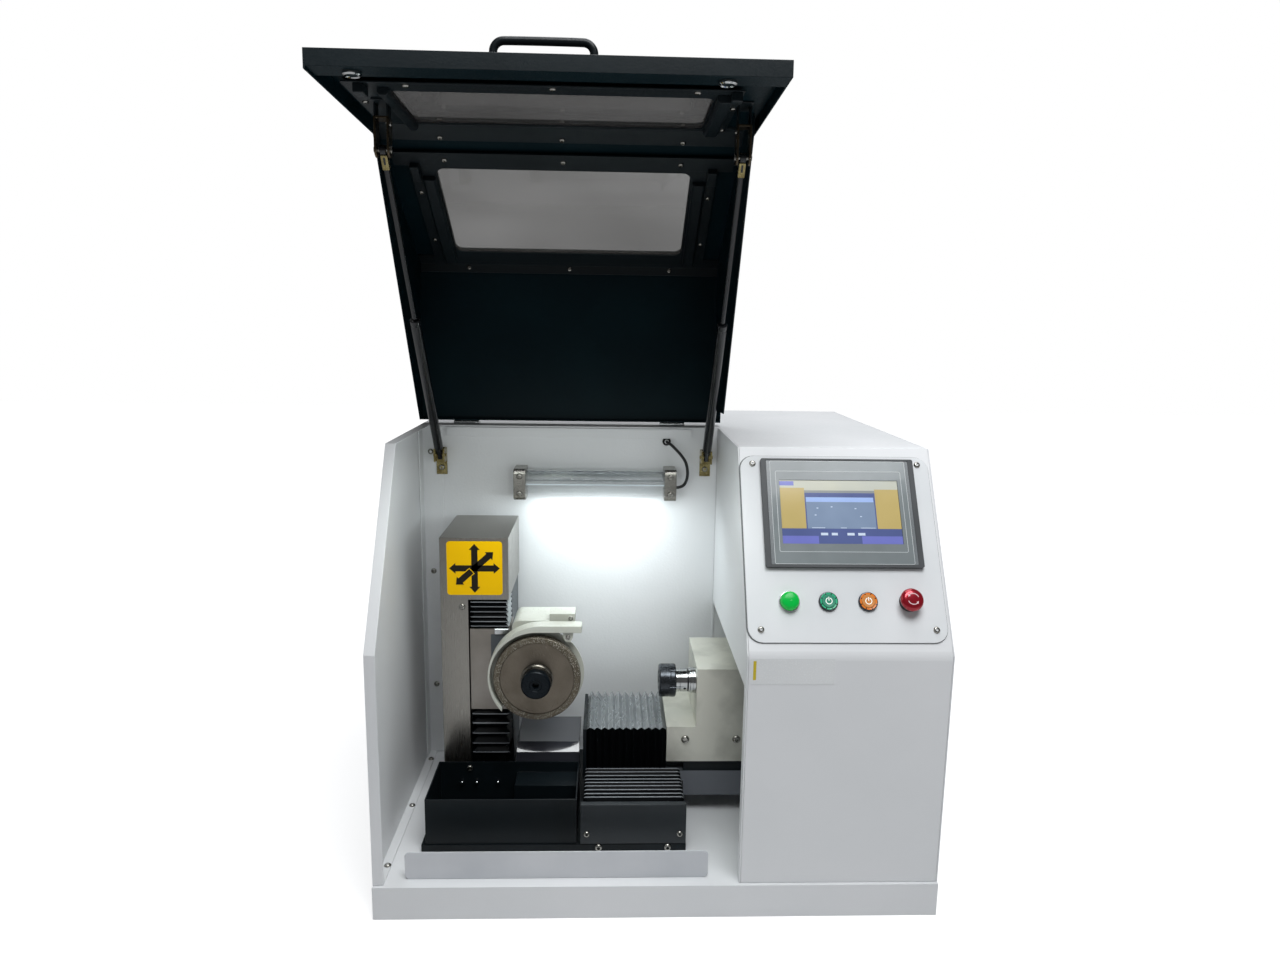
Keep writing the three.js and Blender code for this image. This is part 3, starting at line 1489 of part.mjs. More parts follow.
function workheadCover() {
  const low = block([skirtLeft, headRight], [headFront, headBack], [headFoot, headStep]);
  const high = block([headLeft, headRight], [headFront, headBack], [headStep - coverSheet, headTop]);
  const lowInside = block(
    [skirtLeft + coverSheet, headRight + overrun],
    [headFront + coverSheet, headBack - coverSheet],
    [headFoot - overrun, headStep - coverSheet],
  );
  const highInside = block(
    [headLeft + coverSheet, headRight + overrun],
    [headFront + coverSheet, headBack - coverSheet],
    [headStep - 2 * overrun, headTop - coverSheet],
  );
  const hole = rod("x", spindleHoleRadius, [headLeft - overrun, headLeft + overrun], [spindleSetback, spindleHeight], roundSides);
  const lip = block([skirtLeft, headLeft], [headFront, headFront + coverSheet], [headStep - coverSheet, headStep + coverSheet]);
  const wayGap = block(
    [skirtLeft - overrun, skirtLeft + overrun],
    [headFront + 2 * bellowsWall, headBack - 2 * bellowsWall],
    [headFoot - overrun, headStep - 2 * bellowsWall],
  );
  const shell = cut(join(low, high, lip), lowInside, highInside, hole, wayGap);
  const screws = coverScrewsAcross.map((x) => screwHead("y", headFront, [x, coverScrewHeight]));
  return join(shell, screws);
}

// Carriage on the X rails with the spindle housing and the motor
const carriageTop = 184;
const carriageInset = 6;
const housingRadius = 19;
const housingFoot = 24;
const spindleRadius = 13;
const spindleBore = 13.5;
const housingInset = 6;
const housingShare = 0.62;
const housingLeft = headLeft + housingInset;
const housingRight = headLeft + headLength * housingShare;
const motorSize = 62;
const motorShares = [0.076, 0.728];
const [motorLeft, motorRight] = motorShares.map((share) => headLeft + headLength * share);
const motorBehind = 252;

function workheadCarriage() {
  const under = xWayTop + railHeight + runnerClearance;
  const inset = coverSheet + seam;
  const plate = block([skirtLeft + inset, headRight - inset], [headFront + inset, headBack - inset], [under, carriageTop]);
  const cheeks = [xWayFront, xWayBack - railWidth].flatMap((y) => [
    block([skirtLeft + inset, headRight - inset], [y - runnerLip, y - runnerClearance], [xWayTop + runnerClearance, under + sheet]),
    block([skirtLeft + inset, headRight - inset], [y + railWidth + runnerClearance, y + railWidth + runnerLip], [xWayTop + runnerClearance, under + sheet]),
  ]);
  const pedestal = block([housingLeft, housingRight], [spindleSetback - housingRadius, spindleSetback + housingFoot], [carriageTop - sheet, spindleHeight]);
  const barrel = rod("x", housingRadius, [housingLeft, housingRight], [spindleSetback, spindleHeight], roundSides);
  const bore = rod("x", spindleBore, [housingLeft - overrun, housingRight + overrun], [spindleSetback, spindleHeight], roundSides);
  const motor = block([motorLeft, motorRight], [motorBehind, motorBehind + motorSize], [carriageTop - sheet, carriageTop + motorSize]);
  return join(cut(join(plate, cheeks, pedestal, barrel), bore), motor);
}

// Work spindle: shaft with its pulley, nose with a flange ring, and the collet nut with its slots
const noseRadius = 17.8;
const flangeRadius = 20;
const flangeWidth = 9;
const nutRadius = 25.5;
const nutLength = 24;
const nutSlots = 6;
const nutSlotWidth = 6;
const nutSlotDepth = 3;
const nutChamfer = 2;
const colletMouth = 11;
const colletBore = 7;
const colletDepth = 60;
const pulleyRadius = 17;
const pulleyWidth = 18;

function workSpindle() {
  const nutFace = nutEnd + nutLength;
  const ringEnd = headLeft - seam;
  const shaftEnd = housingRight + pulleyWidth + sheet;
  const profile = [
    [colletBore, nutEnd + nutChamfer],
    [colletMouth, nutEnd],
    [nutRadius - nutChamfer, nutEnd],
    [nutRadius, nutEnd + nutChamfer],
    [nutRadius, nutFace - nutChamfer],
    [nutRadius - nutChamfer, nutFace],
    [noseRadius, nutFace],
    [noseRadius, ringEnd - flangeWidth],
    [flangeRadius, ringEnd - flangeWidth],
    [flangeRadius, ringEnd],
    [spindleRadius, ringEnd],
    [spindleRadius, housingRight + sheet],
    [pulleyRadius, housingRight + sheet],
    [pulleyRadius, shaftEnd],
    [0, shaftEnd],
    [0, nutEnd + colletDepth],
    [colletBore, nutEnd + colletDepth],
    [colletBore, nutEnd + nutChamfer],
  ];
  const body = turned("x", profile, [spindleSetback, spindleHeight], 2 * smallSides);
  const slots = Array.from({ length: nutSlots }, (_, i) => {
    const slot = block(
      [nutEnd + nutLength / 3, nutFace + overrun / 6],
      [-nutSlotWidth / 2, nutSlotWidth / 2],
      [nutRadius - nutSlotDepth, nutRadius + overrun],
    );
    return slot.rotateX((2 * Math.PI * (i + 0.5)) / nutSlots).translate(0, spindleSetback, spindleHeight);
  });
  return cut(body, slots);
}

assembly.add(
  piece("workhead_cover", workheadCover(), stainless),
  piece("workhead_carriage", workheadCarriage(), castIron),
  piece("work_spindle", workSpindle(), steel),
);

// Column: casting with Z rails and the screw
const columnRight = columnLeft + columnWidth;
const castLeft = 70;
const castFront = 268;
const castBack = 362;
const castLid = 12;
const castTop = columnTop - castLid;
const zRailsAcross = [112, 147];
const zRailWidth = 12;
const zRailDepth = 14;
const capHeight = 97;
const capFoot = columnTop - capHeight;
const upperBellowsLength = 47;
const carriageDrop = 69;
const zCarriageLow = wheelHeight - carriageDrop;
const zCarriageHigh = capFoot - upperBellowsLength;
const castWall = 12;

function columnCasting() {
  const foot = baseTop + seam;
  const bodyRight = columnRight - coverSheet - seam;
  const body = block([castLeft, bodyRight], [castFront, castBack], [foot, castTop]);
  const core = block([castLeft + castWall, bodyRight - castWall], [castFront + castWall, castBack + overrun], [foot + castWall, castTop - castWall]);
  const flange = block([castLeft - sheet, bodyRight], [castFront - castWall, castBack], [foot, foot + castWall]);
  const rails = zRailsAcross.map((x) =>
    block([x - zRailWidth / 2, x + zRailWidth / 2], [castFront - zRailDepth, castFront + sheet], [foot + castWall, capFoot - seam]),
  );
  return join(cut(body, core), flange, rails);
}

// Stainless cover of the column: cap, left side and left front strip
const stripWidth = 42;
const stripFoot = 66;
const coverBack = 366;

function columnCover() {
  const front = [columnSetback, columnSetback + coverSheet];
  const strip = block([columnLeft, columnLeft + stripWidth], front, [stripFoot, columnTop]);
  const stripReturn = block([columnLeft + stripWidth - coverSheet, columnLeft + stripWidth], [columnSetback, columnSetback + castWall], [stripFoot, capFoot]);
  const side = block([columnLeft, columnLeft + coverSheet], [columnSetback, coverBack], [stripFoot, columnTop]);
  const capFront = block([columnLeft, columnRight], front, [capFoot, columnTop]);
  const capTop = block([columnLeft, columnRight], [columnSetback, coverBack], [columnTop - coverSheet, columnTop]);
  const capRight = block([columnRight - coverSheet, columnRight], [columnSetback, coverBack], [capFoot, columnTop]);
  const screw = screwHead("y", columnSetback, [columnLeft + stripWidth - 2 * screwSize, capFoot - 2 * screwSize - sheet]);
  return join(strip, stripReturn, side, capFront, capTop, capRight, screw);
}

const signLeft = 73;
const signSize = 84;
const signMargin = 8;
const signLow = capFoot + signMargin;
const signThickness = 1.5;
const signCorner = 3;

function directionPlate() {
  const outline = roundedRectangle([signLeft, signLeft + signSize], [signLow, signLow + signSize], signCorner);
  return prism("y", outline, [columnSetback - seam - signThickness, columnSetback - seam]);
}

// Z carriage: front plate and runners on the column's rails
const slideLeft = columnLeft + stripWidth + sheet;
const slideRight = columnRight;
const carriagePlate = 12;

function zCarriage() {
  const plate = block([slideLeft, slideRight], [columnSetback, columnSetback + carriagePlate], [zCarriageLow, zCarriageHigh]);
  const bodyBack = castFront - seam - sheet;
  const body = block(
    [slideLeft, slideRight],
    [columnSetback + sheet, bodyBack],
    [zCarriageLow, zCarriageHigh],
  );
  const grooves = zRailsAcross.map((x) =>
    block(
      [x - zRailWidth / 2 - runnerClearance, x + zRailWidth / 2 + runnerClearance],
      [castFront - zRailDepth - runnerClearance, castFront],
      [zCarriageLow - overrun, zCarriageHigh + overrun],
    ),
  );
  const arm = block(
    [slideRight - sheet, armRight],
    [armFront, armFront + armThickness],
    [wheelHeight - armHeight / 2, wheelHeight + armHeight / 2],
  );
  return join(cut(join(plate, body), grooves), arm);
}

const armRight = 171.5;
const armFront = 215;
const armThickness = 34;
const armHeight = 90;

// Bellows above and below the Z carriage, open at the rear where the rails run
const zBellowsBack = 250;
const zBellowsPleats = 6;
const zBellowsFold = 5;

function zBellows([from, to]) {
  const drawn = pleated("y", [slideLeft, slideRight], [-zBellowsBack, -columnSetback], [from, to], zBellowsPleats, zBellowsFold);
  const outer = drawn.rotateX(Math.PI / 2);
  const inset = zBellowsFold + bellowsWall;
  const hollow = block(
    [slideLeft + inset, slideRight - inset],
    [columnSetback + inset, zBellowsBack + overrun],
    [from - overrun, to + overrun],
  );
  return cut(outer, hollow);
}

assembly.add(
  piece("column_casting", columnCasting(), castIron),
  piece("column_cover", columnCover(), stainless),
  piece("direction_plate", directionPlate(), yellow),
  piece("z_carriage", zCarriage(), castIron),
  piece("upper_bellows", zBellows([zCarriageHigh + seam, capFoot - seam]), blackRubber),
  piece("lower_bellows", zBellows([trayTop + sheet, zCarriageLow - seam]), blackRubber),
);

// Grinding spindle housing beside the carriage, with its motor behind and a clamp block on top
const spindleBoxLeft = 172;
const spindleBoxRight = 241;
const spindleBoxFront = 190;
const spindleBoxBack = 257;
const spindleBoxRise = 81;
const spindleBoxDrop = 58;
const spindleBoxTop = wheelHeight + spindleBoxRise;
const spindleBoxFoot = wheelHeight - spindleBoxDrop;
const spindleBoxCorner = 12;
const wheelShaftRadius = 11;
const wheelShaftBore = 11.5;
const wheelMotorRadius = 29;
const wheelMotorEnd = 334;
const clampRight = 268;
const clampDepth = 34;
const clampRise = 78;
const clampHeight = 14;
const clampLow = wheelHeight + clampRise;
const clampHigh = clampLow + clampHeight;
const clampScrewShare = 0.5;

function spindleHousing() {
  const outline = roundedRectangle([spindleBoxLeft, spindleBoxRight], [spindleBoxFoot, spindleBoxTop], spindleBoxCorner);
  const box = prism("y", outline, [spindleBoxFront, spindleBoxBack]);
  const motor = rod("y", wheelMotorRadius, [spindleBoxBack - sheet, wheelMotorEnd], [wheelAcross - sheet, wheelHeight], roundSides);
  const bore = rod("y", wheelShaftBore, [spindleBoxFront - overrun, spindleBoxBack], [wheelAcross, wheelHeight], smallSides);
  const clamp = block([spindleBoxRight - spindleBoxCorner, clampRight], [spindleBoxFront, spindleBoxFront + clampDepth], [clampLow, clampHigh]);
  const clampWeb = block(
    [spindleBoxRight - spindleBoxCorner, spindleBoxRight],
    [spindleBoxFront, spindleBoxFront + clampDepth],
    [spindleBoxTop - 2 * spindleBoxCorner, clampLow + sheet],
  );
  const screw = screwHead("y", spindleBoxFront, [clampRight - screwSize - sheet, clampLow + (clampHigh - clampLow) * clampScrewShare]);
  return join(cut(join(box, motor), bore), clamp, clampWeb, screw);
}

// Wheel guard: a band that thickens towards the top bar, on a back plate
const guardFront = 152;
const guardBack = 180;
const guardPlate = 3;
const guardRise = 3;
const guardInner = 70.5;
const guardOuterAcross = 10;
const guardOuter = 83.5;
const guardRightEnd = 279;
const guardMouthAngle = 222;
const guardBossRadius = 26;
const guardArcSteps = 22;

function wheelGuard() {
  const inner = [wheelAcross, wheelHeight + guardRise];
  const outer = [wheelAcross + guardOuterAcross, wheelHeight + guardRise];
  const mouth = THREE.MathUtils.degToRad(guardMouthAngle);
  const arc = ([u, v], radius, [from, to]) =>
    Array.from({ length: guardArcSteps + 1 }, (_, i) => {
      const angle = from + ((to - from) * i) / guardArcSteps;
      return [u + radius * Math.cos(angle), v + radius * Math.sin(angle)];
    });
  const up = Math.PI / 2;
  const band = prism(
    "y",
    [
      [guardRightEnd, outer[1] + guardOuter],
      ...arc(outer, guardOuter, [up, mouth]),
      ...arc(inner, guardInner, [mouth, up]),
      [guardRightEnd, inner[1] + guardInner],
    ],
    [guardFront, guardBack],
  );
  const plateDisc = rod("y", guardInner, [guardBack - guardPlate, guardBack], inner, 2 * roundSides);
  const disc = cut(plateDisc, rod("y", wheelShaftBore + sheet, [guardBack - 2 * overrun, guardBack + overrun], [wheelAcross, wheelHeight]));
  const boss = ring(
    "y",
    guardBossRadius,
    wheelShaftBore + sheet,
    [guardBack - sheet / 2, spindleBoxFront - seam],
    [wheelAcross, wheelHeight],
    roundSides,
  );
  return join(band, disc, boss);
}

// Grinding wheel with its abrasive rim, clamped by a long black flange nut on the spindle
const wheelThickness = 12;
const wheelRimWidth = 9;
const wheelRimProud = 1.5;
const hubRadius = 22;
const hubFront = 133;
const hubChamfer = 3;
const hubBackRadius = 20;
const guardRunning = 2.5;

function grindingWheel() {
  const radius = wheelDiameter / 2;
  const back = wheelSetback + wheelThickness;
  const profile = [
    [0, hubFront],
    [hubRadius - hubChamfer, hubFront],
    [hubRadius, hubFront + hubChamfer],
    [hubRadius, wheelSetback],
    [radius - wheelRimWidth, wheelSetback],
    [radius - wheelRimWidth, wheelSetback - wheelRimProud],
    [radius - sheet / 2, wheelSetback - wheelRimProud],
    [radius, wheelSetback],
    [radius, back - sheet / 2],
    [radius - sheet / 2, back],
    [hubBackRadius, back],
    [hubBackRadius, back + guardRunning],
    [wheelShaftRadius, back + guardRunning],
    [wheelShaftRadius, spindleBoxBack - carriagePlate],
    [0, spindleBoxBack - carriagePlate],
  ];
  return turned("y", profile, [wheelAcross, wheelHeight], 3 * smallSides);
}

assembly.add(
  piece("spindle_housing", spindleHousing(), cream),
  piece("wheel_guard", wheelGuard(), cream),
  piece("grinding_wheel", grindingWheel(), abrasive),
);

// The origin is the middle of the footprint, on the underside of the floor frame
const grinder = new THREE.Group();
assembly.position.set(-cabinetWidth / 2, -(cabinetDepth - plinthProud) / 2, 0);
grinder.add(assembly);

export default grinder;
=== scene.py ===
"""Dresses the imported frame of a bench-top CNC tool grinder and stages it for the camera.

Every piece is drawn in millimetres, in one of four drawing frames: the cabinet, the slanted control panel,
the hood as it lies closed, and the slanted half of the hood. A frame's matrix then takes it to its place
in metres.
"""

from __future__ import annotations

import logging
import math
from contextlib import contextmanager
from dataclasses import dataclass
from enum import Enum
from typing import Callable, Iterator, Sequence

import bmesh
import bpy
from mathutils import Matrix, Vector

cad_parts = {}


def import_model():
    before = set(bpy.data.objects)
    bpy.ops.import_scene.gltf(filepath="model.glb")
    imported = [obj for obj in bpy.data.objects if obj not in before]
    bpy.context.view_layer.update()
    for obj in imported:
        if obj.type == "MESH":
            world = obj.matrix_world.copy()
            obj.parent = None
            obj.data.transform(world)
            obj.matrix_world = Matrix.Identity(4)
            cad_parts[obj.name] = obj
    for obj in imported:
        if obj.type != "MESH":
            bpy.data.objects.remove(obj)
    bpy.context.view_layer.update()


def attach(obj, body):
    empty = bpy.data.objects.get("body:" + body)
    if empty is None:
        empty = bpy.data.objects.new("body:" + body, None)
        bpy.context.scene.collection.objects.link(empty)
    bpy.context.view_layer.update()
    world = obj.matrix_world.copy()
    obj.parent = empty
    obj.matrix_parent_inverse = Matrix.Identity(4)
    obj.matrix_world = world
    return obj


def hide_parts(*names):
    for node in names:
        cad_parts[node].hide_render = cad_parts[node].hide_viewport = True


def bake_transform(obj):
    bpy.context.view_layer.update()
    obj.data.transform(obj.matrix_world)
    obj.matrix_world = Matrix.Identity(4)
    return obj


log = logging.getLogger("tool_grinder")

Point = tuple[float, float, float]
Span = tuple[float, float]
FaceTest = Callable[[bpy.types.MeshPolygon], bool]

# Sizes shared with the frame, in millimetres
CABINET_CENTRE = (390.0, 348.0)
FRONT_HEIGHT = 378.0
CABINET_HEIGHT = 636.0
SLANT_SETBACK = 152.0
SLANT = math.atan2(SLANT_SETBACK, CABINET_HEIGHT - FRONT_HEIGHT)
HOOD_OPEN = math.radians(92.0)
HOOD_HINGE = (0.0, 405.5, 639.3)
BACK_WALL = 387.0

# Edges flatter than this many degrees are the facets of a curve, and are neither rounded nor drawn sharp
FACET_LIMIT = 28.0
# Points of a frame's node that are closer than this, in metres, are one
WELD = 0.000004
# The matrix of a piece that stays as it is, and the end of a span without an end
STILL = Matrix.Identity(4)
FAR = math.inf


def shifted(x: float, y: float, z: float) -> Matrix:
    """A move by x, y and z."""
    return Matrix.Translation((x, y, z))


def turned_by(angle: float, axis: str) -> Matrix:
    """A turn by an angle in radians about an axis through the origin."""
    return Matrix.Rotation(angle, 4, axis)


def along(axis: str, u: float, v: float, w: float) -> Point:
    """A point that lies at w along an axis, and at u and v in the two other directions, in their order."""
    return {"X": (w, u, v), "Y": (u, w, v), "Z": (u, v, w)}[axis]


def around(middle: float, half: float) -> Span:
    """The span that reaches equally far to both sides of its middle."""
    return (middle - half, middle + half)


def inside(span: Span, low: float, high: float) -> Span:
    """A span drawn in at its low and at its high end."""
    return (span[0] + low, span[1] - high)


CABINET = shifted(-CABINET_CENTRE[0] / 1000, -CABINET_CENTRE[1] / 1000, 0.0) @ Matrix.Scale(0.001, 4)
PANEL = CABINET @ shifted(0.0, 0.0, FRONT_HEIGHT) @ turned_by(-SLANT, "X")
HOOD = CABINET @ shifted(*HOOD_HINGE) @ turned_by(-HOOD_OPEN, "X") @ shifted(*(-v for v in HOOD_HINGE))
HOOD_SLOPE = HOOD @ shifted(0.0, SLANT_SETBACK, CABINET_HEIGHT) @ turned_by(-SLANT, "X")


class Body(str, Enum):
    """The moving bodies of the frame."""

    CABINET = "cabinet"
    HOOD = "hood"
    LEFT_TUBE = "left_strut_tube"
    LEFT_ROD = "left_strut_rod"
    RIGHT_TUBE = "right_strut_tube"
    RIGHT_ROD = "right_strut_rod"
    GRINDING_HEAD = "grinding_head"
    WHEEL = "wheel"
    SADDLE = "cross_saddle"
    WORKHEAD = "workhead"
    SPINDLE = "collet_spindle"
    START = "start_cap"
    RESET = "reset_cap"
    STOP = "stop_head"


# Finishes


def linear(colour: str, share: float = 1.0) -> tuple[float, float, float, float]:
    """The scene-linear colour of a hex colour.

    Args:
        colour: Six hex digits, as the colour looks on screen.
        share: What the linear colour is multiplied by.

    Returns:
        Red, green, blue and alpha.
    """
    channels = [int(colour[i : i + 2], 16) / 255 for i in (0, 2, 4)]
    return (*(min(1.0, share * (c / 12.92 if c <= 0.04045 else ((c + 0.055) / 1.055) ** 2.4))
              for c in channels), 1.0)


class Graph:
    """A material's node tree, with short calls for the nodes that the finishes use."""

    def __init__(self, name: str) -> None:
        """Starts a material that holds only its principled shader and its output.

        Args:
            name: Name of the material.
        """
        self.material = bpy.data.materials.new(name)
        self.material.use_nodes = True
        self.nodes = self.material.node_tree.nodes
        self.links = self.material.node_tree.links
        self.shader = self.nodes["Principled BSDF"]
        self.place = self.nodes.new("ShaderNodeTexCoord").outputs["Object"]

    def link(self, source: bpy.types.NodeSocket, node: bpy.types.Node, socket: str | int) -> None:
        """Joins a socket to an input of a node."""
        self.links.new(source, node.inputs[socket])

    def stretched(self, scale: Point, turn: Point = (0.0, 0.0, 0.0)) -> bpy.types.NodeSocket:
        """Object coordinates turned, and then scaled.

        Args:
            scale: The scale along each axis.
            turn: The turn about each axis, in radians.

        Returns:
            The coordinates.
        """
        mapping = self.nodes.new("ShaderNodeMapping")
        mapping.inputs["Scale"].default_value = scale
        mapping.inputs["Rotation"].default_value = turn
        self.link(self.place, mapping, "Vector")
        return mapping.outputs["Vector"]

    def noise(self, scale: float, detail: float = 3.0,
              where: bpy.types.NodeSocket | None = None) -> bpy.types.NodeSocket:
        """Soft noise.

        Args:
            scale: How many patches there are to the metre.
            detail: How many finer layers are added.
            where: The coordinates, if not the object's own.

        Returns:
            A number about 0.5.
        """
        node = self.nodes.new("ShaderNodeTexNoise")
        node.inputs["Scale"].default_value = scale
        node.inputs["Detail"].default_value = detail
        self.link(where or self.place, node, "Vector")
        return node.outputs["Fac"]

    def cells(self, scale: float) -> bpy.types.NodeSocket:
        """Distance to the nearest of random points.

        Args:
            scale: How many points there are to the metre.

        Returns:
            The distance.
        """
        node = self.nodes.new("ShaderNodeTexVoronoi")
        node.inputs["Scale"].default_value = scale
        self.link(self.place, node, "Vector")
        return node.outputs["Distance"]

    def fit(self, source: bpy.types.NodeSocket, start: Span, end: Span) -> bpy.types.NodeSocket:
        """A number moved from one range to another, and held inside it.

        Args:
            source: The number.
            start: The range that it comes from.
            end: The range that it goes to.

        Returns:
            The new number.
        """
        node = self.nodes.new("ShaderNodeMapRange")
        for socket, value in zip(("From Min", "From Max", "To Min", "To Max"), (*start, *end)):
            node.inputs[socket].default_value = value
        self.link(source, node, "Value")
        return node.outputs["Result"]

    def blend(self, factor: bpy.types.NodeSocket, first: str, second: str,
              base: bpy.types.NodeSocket | None = None) -> bpy.types.NodeSocket:
        """A colour that goes from a first to a second.

        Args:
            factor: How far it goes.
            first: The first colour, as hex digits.
            second: The second colour, as hex digits.
            base: A socket whose colour takes the first one's place.

        Returns:
            The colour.
        """
        node = self.nodes.new("ShaderNodeMix")
        node.data_type = "RGBA"
        node.inputs[6].default_value = linear(first)
        node.inputs[7].default_value = linear(second)
        self.link(factor, node, 0)
        if base is not None:
            self.link(base, node, 6)
        return node.outputs[2]

    def bump(self, height: bpy.types.NodeSocket, strength: float, depth: float) -> None:
        """Presses a height into the surface, on top of the relief that it already has.

        Args:
            height: The height, from 0 to 1.
            strength: How much of it shows.
            depth: Its depth in millimetres.
        """
        node = self.nodes.new("ShaderNodeBump")
        node.inputs["Strength"].default_value = strength
        node.inputs["Distance"].default_value = depth / 1000
        self.link(height, node, "Height")
        normal = self.shader.inputs["Normal"]
        if normal.is_linked:
            self.link(normal.links[0].from_socket, node, "Normal")
        self.link(node.outputs["Normal"], self.shader, "Normal")

    def set(self, **values: float) -> None:
        """Sets the shader's own sockets; an underscore stands for a space."""
        for name, value in values.items():
            self.shader.inputs[name.replace("_", " ")].default_value = value


@dataclass(frozen=True)
class Surface:
    """A painted, moulded or metal surface: its colour wanders, its gloss varies and it has a fine relief."""

    name: str
    colour: str
    worn: str
    roughness: Span = (0.4, 0.5)
    metallic: float = 0.0
    patches: float = 9.0
    grain: float = 700.0
    relief: float = 0.3
    depth: float = 0.08
    brushing: Point = (1.0, 1.0, 1.0)
    coat: float = 0.0
    contrast: Span = (0.35, 0.72)
    mirror: float = 0.5

    def material(self) -> bpy.types.Material:
        """Builds the material.

        Returns:
            The material.
        """
        graph = Graph(self.name)
        drift = graph.noise(self.patches, 5.0)
        lines = graph.noise(self.grain, 3.0, graph.stretched(self.brushing))
        colour = graph.blend(graph.fit(drift, self.contrast, (0.0, 1.0)), self.colour, self.worn)
        if self.metallic > 0.5:
            colour = graph.blend(graph.fit(lines, (0.3, 0.75), (0.0, 0.35)), self.colour, self.worn, colour)
        graph.link(colour, graph.shader, "Base Color")
        graph.link(graph.fit(lines, (0.3, 0.7), self.roughness), graph.shader, "Roughness")
        graph.bump(lines, self.relief, self.depth)
        graph.set(Metallic=self.metallic, Coat_Weight=self.coat, Specular_IOR_Level=self.mirror)
        return graph.material


@dataclass(frozen=True)
class Grit(Surface):
    """Bonded grit: a dull bond with bright grains in it."""

    def material(self) -> bpy.types.Material:
        """Builds the material.

        Returns:
            The material.
        """
        graph = Graph(self.name)
        grains = graph.cells(640.0)
        sparkle = graph.fit(grains, (0.14, 0.32), (1.0, 0.0))
        colour = graph.blend(graph.noise(60.0, 5.0), self.colour, self.worn)
        graph.link(graph.blend(sparkle, self.colour, "efe9dc", colour), graph.shader, "Base Color")
        graph.link(graph.fit(grains, (0.1, 0.5), self.roughness), graph.shader, "Roughness")
        graph.bump(grains, 0.8, 0.35)
        graph.set(Metallic=self.metallic)
        return graph.material


@dataclass(frozen=True)
class Pleat:
    """Coated cloth of a bellows: a fine weave, dust in it and a soft shine on the folds."""

    name: str
    colour: str
    dust: str
    roughness: Span = (0.3, 0.5)
    weave: float = 2600.0
    metallic: float = 0.0
    mirror: float = 0.5
    detail: float = 6.0

    def material(self) -> bpy.types.Material:
        """Builds the material.

        Returns:
            The material.
        """
        graph = Graph(self.name)
        soil = graph.noise(34.0, self.detail)
        graph.link(graph.blend(graph.fit(soil, (0.5, 0.85), (0.0, 0.6)), self.colour, self.dust), graph.shader,
                   "Base Color")
        graph.link(graph.fit(soil, (0.3, 0.7), self.roughness), graph.shader, "Roughness")
        graph.bump(graph.noise(self.weave, 2.0), 0.2, 0.06)
        graph.set(Specular_IOR_Level=self.mirror, Metallic=self.metallic)
        return graph.material


@dataclass(frozen=True)
class Clear:
    """Glass or acrylic that shows what is behind it."""

    name: str
    colour: str
    opacity: Span
    haze: str = "8d8a86"
    roughness: float = 0.06
    streaks: float = 0.0

    def material(self) -> bpy.types.Material:
        """Builds the material.

        Returns:
            The material.
        """
        graph = Graph(self.name)
        film = graph.noise(3.0, 2.0, graph.stretched((1.0, 1.0, 2.4)))
        graph.link(graph.fit(film, (0.35, 0.65), self.opacity), graph.shader, "Alpha")
        graph.link(graph.blend(graph.fit(film, (0.3, 0.7), (0.0, 1.0)), self.colour, self.haze), graph.shader,
                   "Base Color")
        if self.streaks:
            graph.bump(graph.noise(9.0, 1.0, graph.stretched((0.5, 1.0, 2.0))), self.streaks, 1.0)
        graph.set(Roughness=self.roughness, IOR=1.49, Coat_Weight=0.4)
        return graph.material


@dataclass(frozen=True)
class Glow:
    """A lit surface: a lens, a lamp or a part of the screen."""

    name: str
    colour: str
    dim: str
    strength: float
    roughness: float = 0.25

    def material(self) -> bpy.types.Material:
        """Builds the material.

        Returns:
            The material.
        """
        graph = Graph(self.name)
        drift = graph.noise(14.0, 2.0)
        graph.link(graph.blend(graph.fit(drift, (0.3, 0.7), (0.0, 1.0)), self.colour, self.dim), graph.shader,
                   "Base Color")
        graph.set(Roughness=self.roughness, Specular_IOR_Level=0.25, Emission_Strength=self.strength,
                  Emission_Color=linear(self.colour))
        return graph.material


Finish = Surface | Pleat | Clear | Glow


